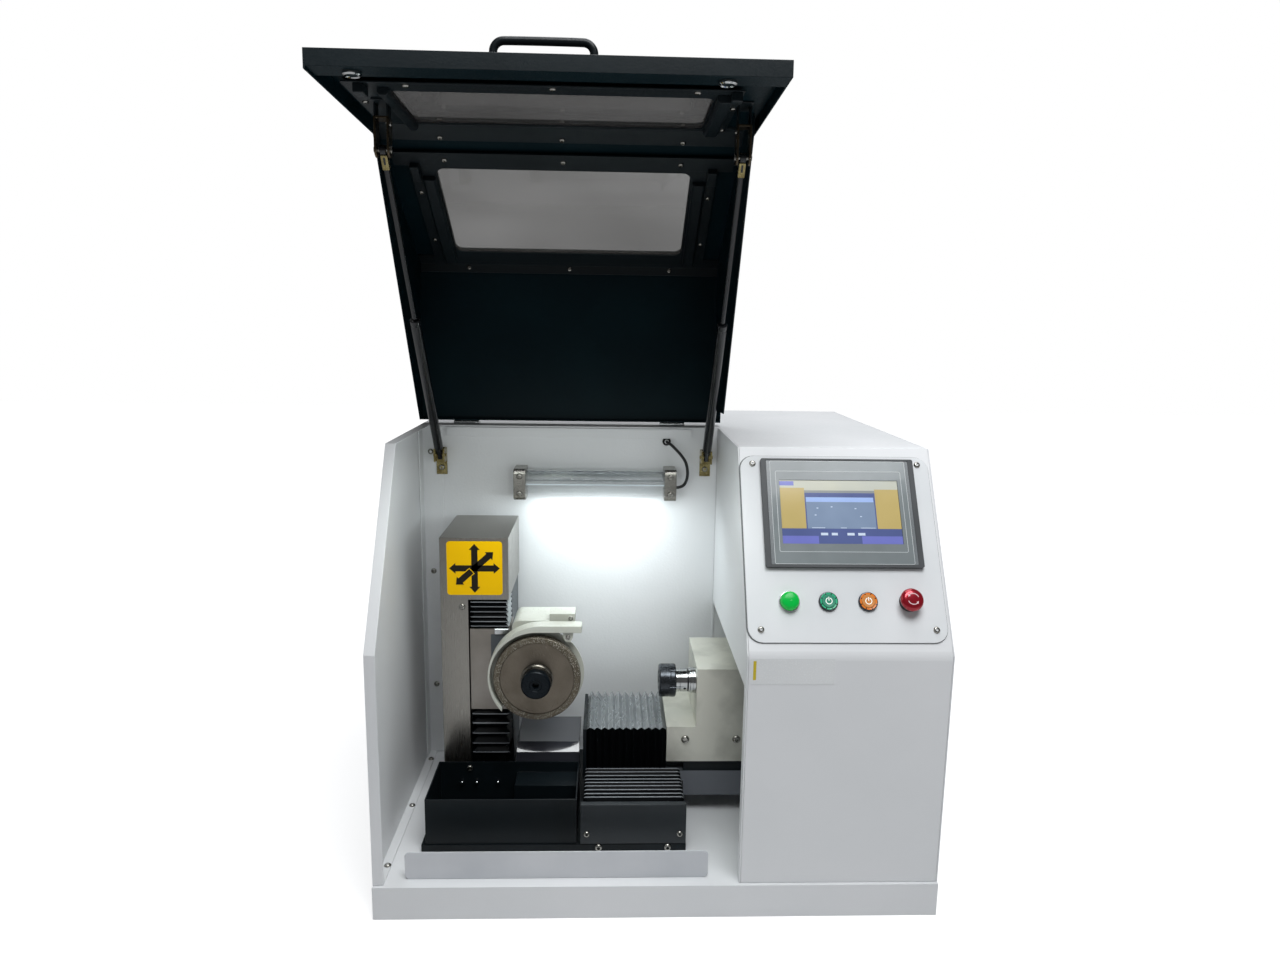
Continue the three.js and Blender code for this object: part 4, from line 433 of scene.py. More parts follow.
class Finishes:
    """All finishes of the machine, each made the first time that a piece asks for it."""

    WHITE = Surface("white_powder_coat", "e6e7e9", "dee0e2", (0.34, 0.52), grain=420.0, relief=0.5, depth=0.12,
                    patches=3.0)
    ROOF = Surface("hammered_white", "e3e4e6", "d9dbdd", (0.3, 0.5), grain=260.0, relief=0.85, depth=0.3,
                   patches=4.0)
    PLATE = Surface("smooth_white_enamel", "e2e4e6", "dbdee0", (0.4, 0.5), grain=900.0, relief=0.15, depth=0.03,
                    mirror=0.15)
    SILL = Surface("sill_paint", "d5d7db", "c7cacf", (0.4, 0.55), grain=420.0, relief=0.4, depth=0.1)
    LABEL = Surface("label_film", "e3e5e6", "dbddde", (0.2, 0.3), grain=500.0, relief=0.1, depth=0.03)
    LABEL_BAR = Surface("label_yellow", "cdb81c", "c4ae16", (0.35, 0.45), grain=500.0, relief=0.1, depth=0.03)
    HOOD = Surface("blue_black_powder_coat", "10181c", "182226", (0.36, 0.54), grain=560.0, relief=0.75,
                   depth=0.16, patches=7.0, mirror=0.32)
    # The same blue-black paint, darker and duller, for the hood's inside faces: painted shade.
    HOOD_INSIDE_SHADED = Surface("blue_black_inside_painted_shade", "06191f", "0a2026", (0.42, 0.58), grain=560.0, relief=0.5,
                          depth=0.12, patches=7.0, mirror=0.1)
    # A grey line around the control plate's edge: painted shadow of the plate.
    PAINTED_PLATE_SHADOW = Surface("plate_shadow_line", "5c5f61", "6a6d6f", (0.5, 0.6), grain=500.0, relief=0.1, depth=0.02)
    BLACK = Surface("black_sheet_paint", "0b1114", "11181c", (0.28, 0.42), grain=520.0, relief=0.3, depth=0.08,
                    patches=12.0, mirror=0.22)
    COVER = Surface("dark_cover_paint", "1d2226", "24292d", (0.32, 0.46), grain=600.0, relief=0.3, depth=0.06)
    APRON = Surface("mid_grey_enamel", "70747b", "646870", (0.3, 0.42), grain=300.0, relief=0.15, depth=0.05,
                    patches=6.0)
    RISER = Surface("glossy_dark_enamel", "33343b", "3d3e45", (0.08, 0.16), grain=90.0, relief=0.03, depth=0.3,
                    patches=9.0, coat=0.6)
    CREAM = Surface("cream_enamel", "c3c5bc", "b2b2a7", (0.26, 0.4), grain=350.0, relief=0.25, depth=0.08,
                    patches=18.0)
    CARRIAGE = Surface("champagne_grey_casting", "96908a", "7f7972", (0.3, 0.42), 0.5, grain=240.0, relief=0.3,
                       depth=0.1, patches=16.0)
    CAST = Surface("painted_casting", "4c5054", "5b5f63", (0.45, 0.6), 0.2, grain=260.0, relief=0.6, depth=0.25)
    STAINLESS = Surface("brushed_stainless", "9b9892", "8d8a84", (0.24, 0.34), 1.0, grain=1600.0, relief=0.12,
                        depth=0.02, brushing=(1.0, 1.0, 0.02), patches=5.0)
    STAINED = Surface("stained_stainless", "d8d7cc", "a9a89e", (0.3, 0.42), 0.42, grain=1700.0, relief=0.03,
                      depth=0.02, brushing=(0.03, 1.0, 1.0), patches=17.0, contrast=(0.46, 0.86))
    STEEL = Surface("ground_steel", "c9cbcc", "a9acae", (0.12, 0.26), 1.0, grain=1500.0, relief=0.15,
                    depth=0.02, patches=60.0)
    SCREW = Surface("screw_steel", "b4b2ac", "85837d", (0.16, 0.3), 1.0, grain=1200.0, relief=0.2, depth=0.03,
                    patches=150.0)
    CHROME = Surface("chrome", "c2c4c4", "a8aaaa", (0.05, 0.12), 1.0, grain=900.0, relief=0.05, depth=0.02)
    OXIDE = Surface("black_oxide", "33363a", "474b50", (0.2, 0.32), 0.8, grain=700.0, relief=0.2, depth=0.04,
                    patches=70.0)
    SLEEVE = Surface("hub_sleeve_steel", "6f6b64", "57534d", (0.16, 0.3), 0.95, grain=900.0, relief=0.2,
                     depth=0.03, patches=90.0)
    HUB = Surface("blue_black_oxide", "0a1116", "11181e", (0.24, 0.34), 0.2, grain=700.0, relief=0.15,
                  depth=0.03, patches=70.0, mirror=0.15)
    ZINC = Surface("yellow_zinc", "a3976a", "776a44", (0.2, 0.34), 0.9, grain=500.0, relief=0.2, depth=0.04,
                   patches=75.0, contrast=(0.4, 0.65))
    # A darker copy of the yellow zinc for the clevis on the hood: painted shade.
    SHADED_ZINC = Surface("clevis_zinc_painted_shade", "5e5240", "3f382c", (0.24, 0.36), 0.85, grain=500.0, relief=0.2,
                      depth=0.04, patches=75.0)
    WHEEL = Surface("ground_wheel_body", "736b60", "5f584e", (0.26, 0.38), 0.85, grain=900.0, relief=0.15,
                    depth=0.03, patches=30.0)
    ABRASIVE = Grit("abrasive_rim", "6a6253", "544d42", (0.25, 0.7), 0.5)
    TUBE = Surface("strut_black", "0b0d10", "14171b", (0.16, 0.26), 0.2, grain=800.0, relief=0.1, depth=0.03,
                   coat=0.3)
    PLASTIC = Surface("black_plastic", "151618", "202224", (0.35, 0.5), grain=900.0, relief=0.35, depth=0.06)
    BEZEL = Surface("textured_grey_plastic", "35383b", "45484b", (0.42, 0.6), grain=900.0, relief=0.8,
                    depth=0.14)
    BORDER = Surface("grey_border_film", "6d7275", "7a7f82", (0.2, 0.3), grain=700.0, relief=0.2, depth=0.04)
    FASCIA = Surface("glossy_grey_film", "858c8e", "757c7e", (0.1, 0.2), grain=300.0, relief=0.03, depth=0.03,
                     coat=0.15, patches=11.0, mirror=0.3)
    # Pale lines on the operator panel; the one at the fascia's edge is a painted highlight.
    PALE_LINE_AND_HIGHLIGHT = Surface("pale_line", "d2d7d8", "c3c8ca", (0.3, 0.4), grain=500.0, relief=0.1, depth=0.02)
    RED = Surface("red_anodised", "b5142a", "860d1c", (0.14, 0.26), 0.5, grain=900.0, relief=0.15, depth=0.03,
                  coat=0.5)
    WHITE_MARK = Surface("white_marking", "e8d3d6", "dcc4c8", (0.3, 0.4), grain=500.0, relief=0.1, depth=0.02)
    SIGN = Surface("sign_yellow", "f0bd00", "e6b300", (0.35, 0.45), grain=500.0, relief=0.12, depth=0.03,
                   mirror=0.12)
    SIGN_INK = Surface("sign_black", "17140c", "211d13", (0.35, 0.45), grain=500.0, relief=0.12, depth=0.03,
                       mirror=0.2)
    RUBBER = Surface("cable_rubber", "0c0c0d", "161617", (0.4, 0.55), grain=600.0, relief=0.3, depth=0.05)
    GREY_METAL = Surface("light_end_cap", "a3a19b", "87857f", (0.2, 0.32), 0.95, grain=600.0, relief=0.2,
                         depth=0.04, patches=30.0)
    REFLECTOR = Surface("bright_reflector", "d2d5d6", "bcc0c2", (0.15, 0.3), 0.9, grain=900.0, relief=0.1,
                        depth=0.02)
    ELECTRICS = Surface("drive_housing", "6b6f73", "5f6367", (0.45, 0.6), 0.2, grain=500.0, relief=0.3,
                        depth=0.08)
    BLACK_PLEAT = Pleat("black_bellows_cloth", "06080a", "0d0f10", (0.4, 0.5), mirror=0.07)
    # A pale finish on the crests of the black pleats: painted highlight.
    RIDGE_HIGHLIGHT_PLEAT = Pleat("bellows_ridge_painted_highlight", "7a7e83", "666a6f", (0.22, 0.32), mirror=0.6)
    SILVER_PLEAT = Pleat("silver_bellows_cloth", "b4b8ba", "8f9396", (0.2, 0.34), metallic=0.6, detail=1.0)
    SHADED_PLEAT = Pleat("silver_bellows_shade", "83878a", "6c7073", (0.26, 0.4), metallic=0.5, detail=1.0)
    # Pale grey cloth for the upper Z bellows' side that faces the work light: partly the cloth's own grey,
    # partly painted light.
    PALE_LIT_PLEAT = Pleat("grey_bellows_cloth_painted_light", "8d9294", "74797b", (0.3, 0.45))
    ACRYLIC = Clear("smoked_acrylic", "6a6764", (0.6, 0.7), "7c7976", 0.08, streaks=0.1)
    DARK_ACRYLIC = Clear("smoked_acrylic_front", "4f4c4b", (0.74, 0.82), "5d5a58", 0.08, streaks=0.1)
    TUBE_GLASS = Clear("clear_tube", "c9d0d3", (0.10, 0.13), "bcc3c6", 0.04)
    LED = Glow("led_bar", "c9d3da", "bcc6cd", 0.35)
    GREEN = Glow("green_lens", "06a83e", "068a32", 0.42, 0.2)
    GREEN_LIT = Glow("green_ring_lit", "35a87c", "2e966e", 0.3)
    ORANGE_LIT = Glow("orange_ring_lit", "d5782a", "c56c24", 0.35)
    GREEN_CAP = Glow("green_cap", "3f8f74", "367d66", 0.12)
    ORANGE_CAP = Glow("orange_cap", "cf8a4c", "c07d42", 0.15)
    MARK_LIT = Glow("mark_lit", "f1f5f0", "e4ebe5", 0.35)

    def __init__(self) -> None:
        """Starts with no material made."""
        self.made: dict[str, bpy.types.Material] = {}

    def of(self, finish: Finish) -> bpy.types.Material:
        """The material of a finish, made now if no piece has had it yet.

        Args:
            finish: The finish.

        Returns:
            The material.
        """
        if finish.name not in self.made:
            self.made[finish.name] = finish.material()
        return self.made[finish.name]


FINISHES = Finishes()


# Modelling, in millimetres


def pick(piece: bpy.types.Object) -> None:
    """Makes a piece the only one selected, and active.

    Args:
        piece: The piece.
    """
    bpy.ops.object.select_all(action="DESELECT")
    piece.select_set(True)
    bpy.context.view_layer.objects.active = piece


@contextmanager
def editing(piece: bpy.types.Object, mode: str = "FACE") -> Iterator[None]:
    """Edit mode on one piece, with nothing selected at the start.

    Args:
        piece: The piece to edit.
        mode: VERT, EDGE or FACE.

    Yields:
        Nothing; object mode comes back at the end.
    """
    pick(piece)
    bpy.ops.object.mode_set(mode="EDIT")
    bpy.ops.mesh.select_mode(type=mode)
    bpy.ops.mesh.select_all(action="DESELECT")
    yield
    bpy.ops.object.mode_set(mode="OBJECT")


def everything() -> None:
    """Selects all of the mesh in edit mode."""
    bpy.ops.mesh.select_all(action="SELECT")


def extruded(step: Point) -> None:
    """Extrudes what is selected in edit mode by a step."""
    bpy.ops.mesh.extrude_region_move(TRANSFORM_OT_translate={"value": step})


def choose_edges(piece: bpy.types.Object, test: Callable[[bmesh.types.BMEdge], bool]) -> None:
    """Selects the edges that pass a test, in edit mode with edges selectable.

    Args:
        piece: The piece.
        test: Whether an edge is selected.
    """
    mesh = bmesh.from_edit_mesh(piece.data)
    for edge in mesh.edges:
        edge.select_set(test(edge))
    bmesh.update_edit_mesh(piece.data)


def tidy(piece: bpy.types.Object, distance: float = 0.002) -> bpy.types.Object:
    """Merges doubled points and turns all faces outwards.

    Args:
        piece: The piece.
        distance: Points closer than this are merged.

    Returns:
        The piece.
    """
    with editing(piece):
        everything()
        bpy.ops.mesh.remove_doubles(threshold=distance)
        bpy.ops.mesh.normals_make_consistent(inside=False)
    return piece


def rounded(piece: bpy.types.Object, width: float, segments: int = 2, angle: float = 30.0,
            clamp: bool = True) -> bpy.types.Object:
    """Bevels the edges that are sharper than an angle.

    Args:
        piece: The piece.
        width: Width of the bevel.
        segments: Steps of the bevel.
        angle: The angle in degrees.
        clamp: Whether a short edge narrows the bevels that meet it.

    Returns:
        The piece.
    """
    pick(piece)
    bevel = piece.modifiers.new("Bevel", "BEVEL")
    bevel.width = width
    bevel.segments = segments
    bevel.limit_method = "ANGLE"
    bevel.angle_limit = math.radians(angle)
    bevel.use_clamp_overlap = clamp
    bpy.ops.object.modifier_apply(modifier=bevel.name)
    return piece


def placed(piece: bpy.types.Object, place: Matrix) -> bpy.types.Object:
    """Moves a piece by a matrix, and applies the move.

    Args:
        piece: The piece.
        place: The matrix.

    Returns:
        The piece.
    """
    pick(piece)
    piece.matrix_world = place @ piece.matrix_world
    bpy.ops.object.transform_apply()
    return piece


def carved(piece: bpy.types.Object, *tools: bpy.types.Object) -> bpy.types.Object:
    """Cuts tools out of a piece, and throws the tools away.

    Args:
        piece: The piece.
        tools: The tools, cut one after the other.

    Returns:
        The piece.
    """
    for tool in tools:
        pick(piece)
        cut = piece.modifiers.new("Cut", "BOOLEAN")
        cut.operation = "DIFFERENCE"
        cut.solver = "EXACT"
        cut.object = tool
        bpy.ops.object.modifier_apply(modifier=cut.name)
        bpy.data.objects.remove(tool)
    return piece


def named(name: str) -> bpy.types.Object:
    """Gives the object that an operator has just made its own name.

    Args:
        name: The name.

    Returns:
        The object.
    """
    piece = bpy.context.active_object
    piece.name = name
    piece.data.name = name
    return piece


def plate(name: str, across: Span, up: Span, depth: Span, corner: float = 0.0, edge: float = 0.3,
          segments: int = 6) -> bpy.types.Object:
    """A flat plate that faces -Y, with rounded corners.

    Args:
        name: Name of the piece.
        across: Its span along X.
        up: Its span along Z.
        depth: Its span along Y.
        corner: Radius of its corners.
        edge: Bevel of its edges.
        segments: Steps of a corner.

    Returns:
        The piece.
    """
    bpy.ops.object.select_all(action="DESELECT")
    bpy.ops.mesh.primitive_plane_add(size=1.0, location=(sum(across) / 2, depth[1], sum(up) / 2),
                                     rotation=(math.pi / 2, 0, 0))
    piece = named(name)
    piece.scale = (across[1] - across[0], up[1] - up[0], 1.0)
    bpy.ops.object.transform_apply()
    with editing(piece, "VERT"):
        everything()
        if corner:
            bpy.ops.mesh.bevel(offset=corner, segments=segments, affect="VERTICES")
        everything()
        extruded((0.0, depth[0] - depth[1], 0.0))
        everything()
        bpy.ops.mesh.normals_make_consistent(inside=False)
    if edge:
        rounded(piece, edge, 2, 60.0)
    return piece


def block(name: str, across: Span, depth: Span, up: Span, edge: float = 0.6,
          segments: int = 2) -> bpy.types.Object:
    """A block with all its edges rounded.

    Args:
        name: Name of the piece.
        across: Its span along X.
        depth: Its span along Y.
        up: Its span along Z.
        edge: Radius of its edges.
        segments: Steps of an edge.

    Returns:
        The piece.
    """
    bpy.ops.object.select_all(action="DESELECT")
    spans = (across, depth, up)
    bpy.ops.mesh.primitive_cube_add(size=1.0, location=[sum(span) / 2 for span in spans])
    piece = named(name)
    piece.scale = [span[1] - span[0] for span in spans]
    bpy.ops.object.transform_apply()
    with editing(piece, "EDGE"):
        everything()
        if edge:
            bpy.ops.mesh.bevel(offset=edge, segments=segments, affect="EDGES")
    return piece


def chain(name: str, points: Sequence[Point]) -> bpy.types.Object:
    """A row of points joined by edges, drawn one extrusion at a time.

    Args:
        name: Name of the piece.
        points: The points.

    Returns:
        The piece, which has no faces yet.
    """
    bpy.ops.object.select_all(action="DESELECT")
    bpy.ops.mesh.primitive_plane_add(size=0.1, location=points[0])
    piece = named(name)
    bpy.ops.object.transform_apply()
    with editing(piece, "VERT"):
        everything()
        bpy.ops.mesh.merge(type="CENTER")
        for last, point in zip(points, points[1:]):
            step = tuple(b - a for a, b in zip(last, point))
            extruded(step)
    return piece


def prism(name: str, outline: Sequence[Span], axis: str, span: Span, edge: float = 0.3) -> bpy.types.Object:
    """An outline with a depth along an axis.

    Args:
        name: Name of the piece.
        outline: Points in (Y, Z) for an X prism, (X, Z) for a Y prism and (X, Y) for a Z prism.
        axis: X, Y or Z.
        span: Its span along the axis.
        edge: Bevel of its edges.

    Returns:
        The piece.
    """
    step = along(axis, 0.0, 0.0, span[1] - span[0])
    piece = chain(name, [along(axis, u, v, span[0]) for u, v in outline])
    with editing(piece, "EDGE"):
        everything()
        bpy.ops.mesh.edge_face_add()
        extruded(step)
        everything()
        bpy.ops.mesh.normals_make_consistent(inside=False)
    if edge:
        rounded(piece, edge, 2, FACET_LIMIT)
    return piece


def lathe(name: str, profile: Sequence[Span], axis: str, centre: Span, steps: int = 48,
          smooth: float = 32.0) -> bpy.types.Object:
    """A turned piece, spun about an axis.

    Args:
        name: Name of the piece.
        profile: Radius and place along the axis of each point.
        axis: X, Y or Z.
        centre: The axis's place in the two other directions, in their order.
        steps: Steps of the spin.
        smooth: Edges flatter than this angle in degrees look smooth.

    Returns:
        The piece.
    """
    u, v = centre
    piece = chain(name, [along(axis, u + radius, v, place) for radius, place in profile])
    middle, turn = along(axis, u, v, 0.0), along(axis, 0.0, 0.0, 1.0)
    with editing(piece, "VERT"):
        everything()
        bpy.ops.mesh.spin(steps=steps, angle=2 * math.pi, center=middle, axis=turn)
    tidy(piece)
    softened(piece, smooth)
    return piece


def softened(piece: bpy.types.Object, angle: float = 32.0) -> bpy.types.Object:
    """Shades a piece smooth, except over its sharp edges, with its wide faces kept flat.

    Args:
        piece: The piece.
        angle: Edges sharper than this many degrees stay sharp.

    Returns:
        The piece.
    """
    pick(piece)
    bpy.ops.mesh.customdata_custom_splitnormals_clear()
    bpy.ops.object.shade_smooth_by_angle(angle=math.radians(angle))
    weighted = piece.modifiers.new("Weighted", "WEIGHTED_NORMAL")
    weighted.keep_sharp = True
    bpy.ops.object.modifier_apply(modifier=weighted.name)
    return piece


def swept(name: str, points: Sequence[Point], radius: float, sides: int = 6,
          order: int = 12) -> bpy.types.Object:
    """A round bar along a smooth curve through points.

    Args:
        name: Name of the piece.
        points: The points of the curve.
        radius: Radius of the bar.
        sides: Steps of a quarter of the bar's round.
        order: Steps of the curve between two points.

    Returns:
        The piece, closed at its ends.
    """
    curve = bpy.data.curves.new(name, "CURVE")
    curve.dimensions = "3D"
    curve.bevel_depth = radius
    curve.bevel_resolution = sides
    curve.resolution_u = order
    curve.use_fill_caps = True
    spline = curve.splines.new("BEZIER")
    spline.bezier_points.add(len(points) - 1)
    for knot, point in zip(spline.bezier_points, points):
        knot.co = point
        knot.handle_left_type = knot.handle_right_type = "AUTO"
    piece = bpy.data.objects.new(name, curve)
    bpy.context.scene.collection.objects.link(piece)
    pick(piece)
    bpy.ops.object.convert(target="MESH")
    return softened(tidy(named(name)), 50.0)


def folded(piece: bpy.types.Object, radius: float, test: Callable[[Vector, Vector], bool]) -> bpy.types.Object:
    """Rounds the long edges of a fold in a placed sheet.

    Args:
        piece: The piece, already in its place.
        radius: Radius of the fold in millimetres.
        test: Takes the cabinet millimetres of an edge's two ends, and says whether the edge is on the fold.

    Returns:
        The piece.
    """
    with editing(piece, "EDGE"):
        choose_edges(piece, lambda edge: test(*(cabinet_mm(vertex.co) for vertex in edge.verts)))
        bpy.ops.mesh.bevel(offset=radius / 1000, segments=4, affect="EDGES")
    return softened(piece, FACET_LIMIT)


def cabinet_mm(place: Vector) -> Vector:
    """A placed point in cabinet millimetres."""
    return Vector((place.x * 1000 + CABINET_CENTRE[0], place.y * 1000 + CABINET_CENTRE[1], place.z * 1000))


def joined(name: str, pieces: Sequence[bpy.types.Object]) -> bpy.types.Object:
    """Makes several pieces one.

    Args:
        name: Name of the one piece.
        pieces: The pieces.

    Returns:
        The one piece.
    """
    bpy.ops.object.select_all(action="DESELECT")
    for piece in pieces:
        piece.select_set(True)
    bpy.context.view_layer.objects.active = pieces[0]
    if len(pieces) > 1:
        bpy.ops.object.join()
    return named(name)


def repeated(name: str, model: bpy.types.Object, places: Sequence[Matrix]) -> bpy.types.Object:
    """Copies a model to each place, and joins the copies.

    Args:
        name: Name of the joined piece.
        model: The model, which stays as it is.
        places: Where each copy goes, from the model's own drawing.

    Returns:
        The joined piece.
    """
    copies = []
    for place in places:
        copy = model.copy()
        copy.data = model.data.copy()
        bpy.context.scene.collection.objects.link(copy)
        copies.append(placed(copy, place))
    return joined(name, copies)


def settled(piece: bpy.types.Object, frame: Matrix, finish: Finish | None, body: Body,
            replaces: Sequence[str] = ()) -> bpy.types.Object:
    """Takes a drawn piece to its place, and hands it to the frame.

    Args:
        piece: The piece as it was drawn.
        frame: The drawing frame.
        finish: Its finish, or None where its faces have their own.
        body: The body that it rides on.
        replaces: The frame's nodes that it stands for.

    Returns:
        The piece.
    """
    placed(piece, frame)
    if finish is not None:
        piece.data.materials.clear()
        piece.data.materials.append(FINISHES.of(finish))
    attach(piece, body.value)
    if replaces:
        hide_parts(*replaces)
    log.info("%s: %d faces on %s", piece.name, len(piece.data.polygons), body.value)
    return piece


def trimmed(piece: bpy.types.Object, across: Span, depth: Span, up: Span) -> bpy.types.Object:
    """Cuts a box of the cabinet's drawing out of a piece that is in its place.

    Args:
        piece: The piece.
        across: The box along X.
        depth: The box along Y.
        up: The box along Z.

    Returns:
        The piece.
    """
    tool = block("trim_tool", across, depth, up, 0.0)
    tool.matrix_world = CABINET @ tool.matrix_world
    return softened(carved(piece, tool), FACET_LIMIT)


def painted(piece: bpy.types.Object, *finishes: Finish) -> bpy.types.Object:
    """Gives a piece its finishes.

    Args:
        piece: The piece.
        finishes: The finishes, in the order of its faces' material numbers.

    Returns:
        The piece.
    """
    piece.data.materials.clear()
    for finish in finishes:
        piece.data.materials.append(FINISHES.of(finish))
    return piece


def faced(piece: bpy.types.Object, number: int, test: FaceTest) -> bpy.types.Object:
    """Gives the faces that pass a test a material number.

    Args:
        piece: The piece.
        number: The number.
        test: Whether a face gets it.

    Returns:
        The piece.
    """
    for face in piece.data.polygons:
        if test(face):
            face.material_index = number
    return piece


def area_lamp(name: str, place: Point, size: Span, power: float, colour: Point) -> bpy.types.Object:
    """A rectangular lamp that shines down.

    Args:
        name: Name of the lamp.
        place: Where it hangs, in metres.
        size: Its width and height in metres.
        power: Its power in watts.
        colour: The colour of its light.

    Returns:
        The lamp.
    """
    bpy.ops.object.light_add(type="AREA", location=place)
    lamp = bpy.context.active_object
    lamp.name = name
    lamp.data.shape = "RECTANGLE"
    lamp.data.size, lamp.data.size_y = size
    lamp.data.energy = power
    lamp.data.color = colour
    return lamp


def dressed(node: str, finish: Finish, body: Body, edge: float,
            limit: float = FACET_LIMIT) -> bpy.types.Object:
    """A copy of a frame's node with rounded edges, which stands for it.

    Args:
        node: The node.
        finish: Its finish.
        body: The body that it rides on.
        edge: Radius of its edges in millimetres.
        limit: Edges sharper than this many degrees are rounded.

    Returns:
        The copy.
    """
    source = bpy.data.objects[node]
    copy = bpy.data.objects.new(f"{node}_dressed", source.data.copy())
    bpy.context.scene.collection.objects.link(copy)
    with editing(copy):
        everything()
        bpy.ops.mesh.remove_doubles(threshold=WELD)
        everything()
        bpy.ops.mesh.dissolve_limited(angle_limit=math.radians(1.0))
        everything()
        bpy.ops.mesh.quads_convert_to_tris(quad_method="BEAUTY", ngon_method="BEAUTY")
        everything()
        bpy.ops.mesh.customdata_custom_splitnormals_clear()
    rounded(copy, edge / 1000, 2, limit, False)
    softened(copy, FACET_LIMIT)
    return settled(copy, STILL, finish, body, (node,))


# The stage


@dataclass
class Studio:
    """Camera, floor, backdrop and lamps."""

    eye: Point = (-0.0738, -1.4568, 0.8089)
    down: float = 10.0
    right: float = 2.09
    roll: float = 0.87
    lens: float = 25.0
    sky: float = 0.1
    mirrored: float = 0.13
    floor_colour: str = "e9e9ea"
    floor_reach: Span = (0.9, 2.6)
    floor_glow: Span = (0.6, 1.0)

    def camera(self) -> None:
        """Places the camera at the photograph's viewing angle."""
        pitch, yaw, roll = (math.radians(v) for v in (self.down, self.right, self.roll))
        forward = Vector((math.sin(yaw) * math.cos(pitch), math.cos(yaw) * math.cos(pitch), -math.sin(pitch)))
        side = Vector((math.cos(yaw), -math.sin(yaw), 0.0))
        up = side.cross(forward)
        turned_side = math.cos(roll) * side + math.sin(roll) * up
        turned_up = math.cos(roll) * up - math.sin(roll) * side
        bpy.ops.object.camera_add(location=self.eye)
        camera = bpy.context.active_object
        axes = Matrix((turned_side, turned_up, -forward)).transposed().to_4x4()
        camera.matrix_world = Matrix.Translation(self.eye) @ axes
        camera.data.lens = self.lens
        camera.data.sensor_width = 36.0
        camera.data.clip_start = 0.01
        bpy.context.scene.camera = camera

    def ray(self, tree: bpy.types.NodeTree, kind: str) -> bpy.types.NodeSocket:
        """One for a kind of ray, and zero for all others."""
        return tree.nodes.new("ShaderNodeLightPath").outputs[f"Is {kind} Ray"]

    def level(self, tree: bpy.types.NodeTree, kind: str, value: float,
              other: float | bpy.types.NodeSocket) -> bpy.types.NodeSocket:
        """A value for one kind of ray, and another for the rest.

        Args:
            tree: The node tree.
            kind: The kind of ray.
            value: The value for it.
            other: The value, or the socket, for the rest.

        Returns:
            The number.
        """
        mix = tree.nodes.new("ShaderNodeMix")
        tree.links.new(self.ray(tree, kind), mix.inputs[0])
        if isinstance(other, float):
            mix.inputs[2].default_value = other
        else:
            tree.links.new(other, mix.inputs[2])
        mix.inputs[3].default_value = value
        return mix.outputs[0]

    def backdrop(self) -> None:
        """White where the camera sees it, a softer light on the object and a dimmer hall in what it mirrors."""
        world = bpy.data.worlds.new("backdrop")
        bpy.context.scene.world = world
        world.use_nodes = True
        tree = world.node_tree
        strength = self.level(tree, "Camera", 1.0, self.level(tree, "Glossy", self.mirrored, self.sky))
        background = tree.nodes["Background"]
        background.inputs["Color"].default_value = (1.0, 1.0, 1.0, 1.0)
        tree.links.new(strength, background.inputs["Strength"])

    def floor(self) -> None:
        """A wide pale floor that keeps the machine's shadow, and fades into the white further out."""
        bpy.ops.object.select_all(action="DESELECT")
        bpy.ops.mesh.primitive_plane_add(size=14.0, location=(0.0, 0.0, -0.0005))
        floor = named("floor")
        graph = Graph("pale_floor")
        tree = graph.material.node_tree
        reach = graph.nodes.new("ShaderNodeVectorMath")
        reach.operation = "LENGTH"
        graph.link(graph.place, reach, 0)
        fade = graph.fit(reach.outputs["Value"], self.floor_reach, self.floor_glow)
        shown = graph.nodes.new("ShaderNodeMath")
        shown.operation = "MULTIPLY"
        graph.link(fade, shown, 0)
        graph.link(self.ray(tree, "Camera"), shown, 1)
        graph.link(graph.blend(graph.noise(2.0), self.floor_colour, "e6e6e7"), graph.shader, "Base Color")
        graph.set(Roughness=0.8, Specular_IOR_Level=0.1, Emission_Color=(1.0, 1.0, 1.0, 1.0))
        graph.link(shown.outputs[0], graph.shader, "Emission Strength")
        floor.data.materials.append(graph.material)

    def lamp(self, name: str, place: Point, aim: Point, size: Span, power: float, colour: Point) -> None:
        """A soft rectangular lamp.

        Args:
            name: Name of the lamp.
            place: Where it hangs, in metres.
            aim: What it points at.
            size: Its width and height.
            power: Its power in watts.
            colour: The colour of its light.
        """
        lamp = area_lamp(name, place, size, power, colour)
        lamp.rotation_euler = (Vector(aim) - Vector(place)).to_track_quat("-Z", "Y").to_euler()

    def build(self) -> None:
        """Sets up the whole stage."""
        self.camera()
        self.backdrop()
        self.floor()
        cool, greenish = (0.965, 0.985, 1.0), (0.93, 1.0, 0.97)
        self.lamp("key_lamp", (0.25, -1.2, 2.5), (0.05, -0.05, 0.3), (1.5, 1.1), 47.0, cool)
        self.lamp("top_lamp", (0.1, 0.6, 2.6), (0.0, 0.1, 0.5), (1.8, 1.8), 30.0, cool)
        self.lamp("cabin_lamp", (-0.135, -0.288, 0.6), (-0.135, 0.039, 0.12), (0.4, 0.2), 0.52, greenish)
        bpy.context.scene.view_settings.view_transform = "Standard"


# Fasteners


@dataclass
class Screw:
    """A button-head screw with a hexagon socket."""

    radius: float = 4.9
    height: float = 2.6
    socket: float = 2.3

    def build(self) -> bpy.types.Object:
        """Models one screw on the XZ plane, with its head towards -Y.

        Returns:
            The model, left out of the object.
        """
        r, h = self.radius, self.height
        profile = [(0.0, 0.3), (r, 0.3), (r, -0.35), (r * 0.95, -h * 0.42), (r * 0.82, -h * 0.78),
                   (r * 0.62, -h), (0.0, -h)]
        head = lathe("screw_model", profile, "Y", (0.0, 0.0), 20, 40.0)
        corner = [math.radians(60 * i) for i in range(6)]
        socket = prism("socket_tool", [(self.socket * math.cos(a), self.socket * math.sin(a)) for a in corner],
                       "Y", (-h - 1.0, -h * 0.45), 0.0)
        carved(head, socket)
        softened(head, 38.0)
        return head


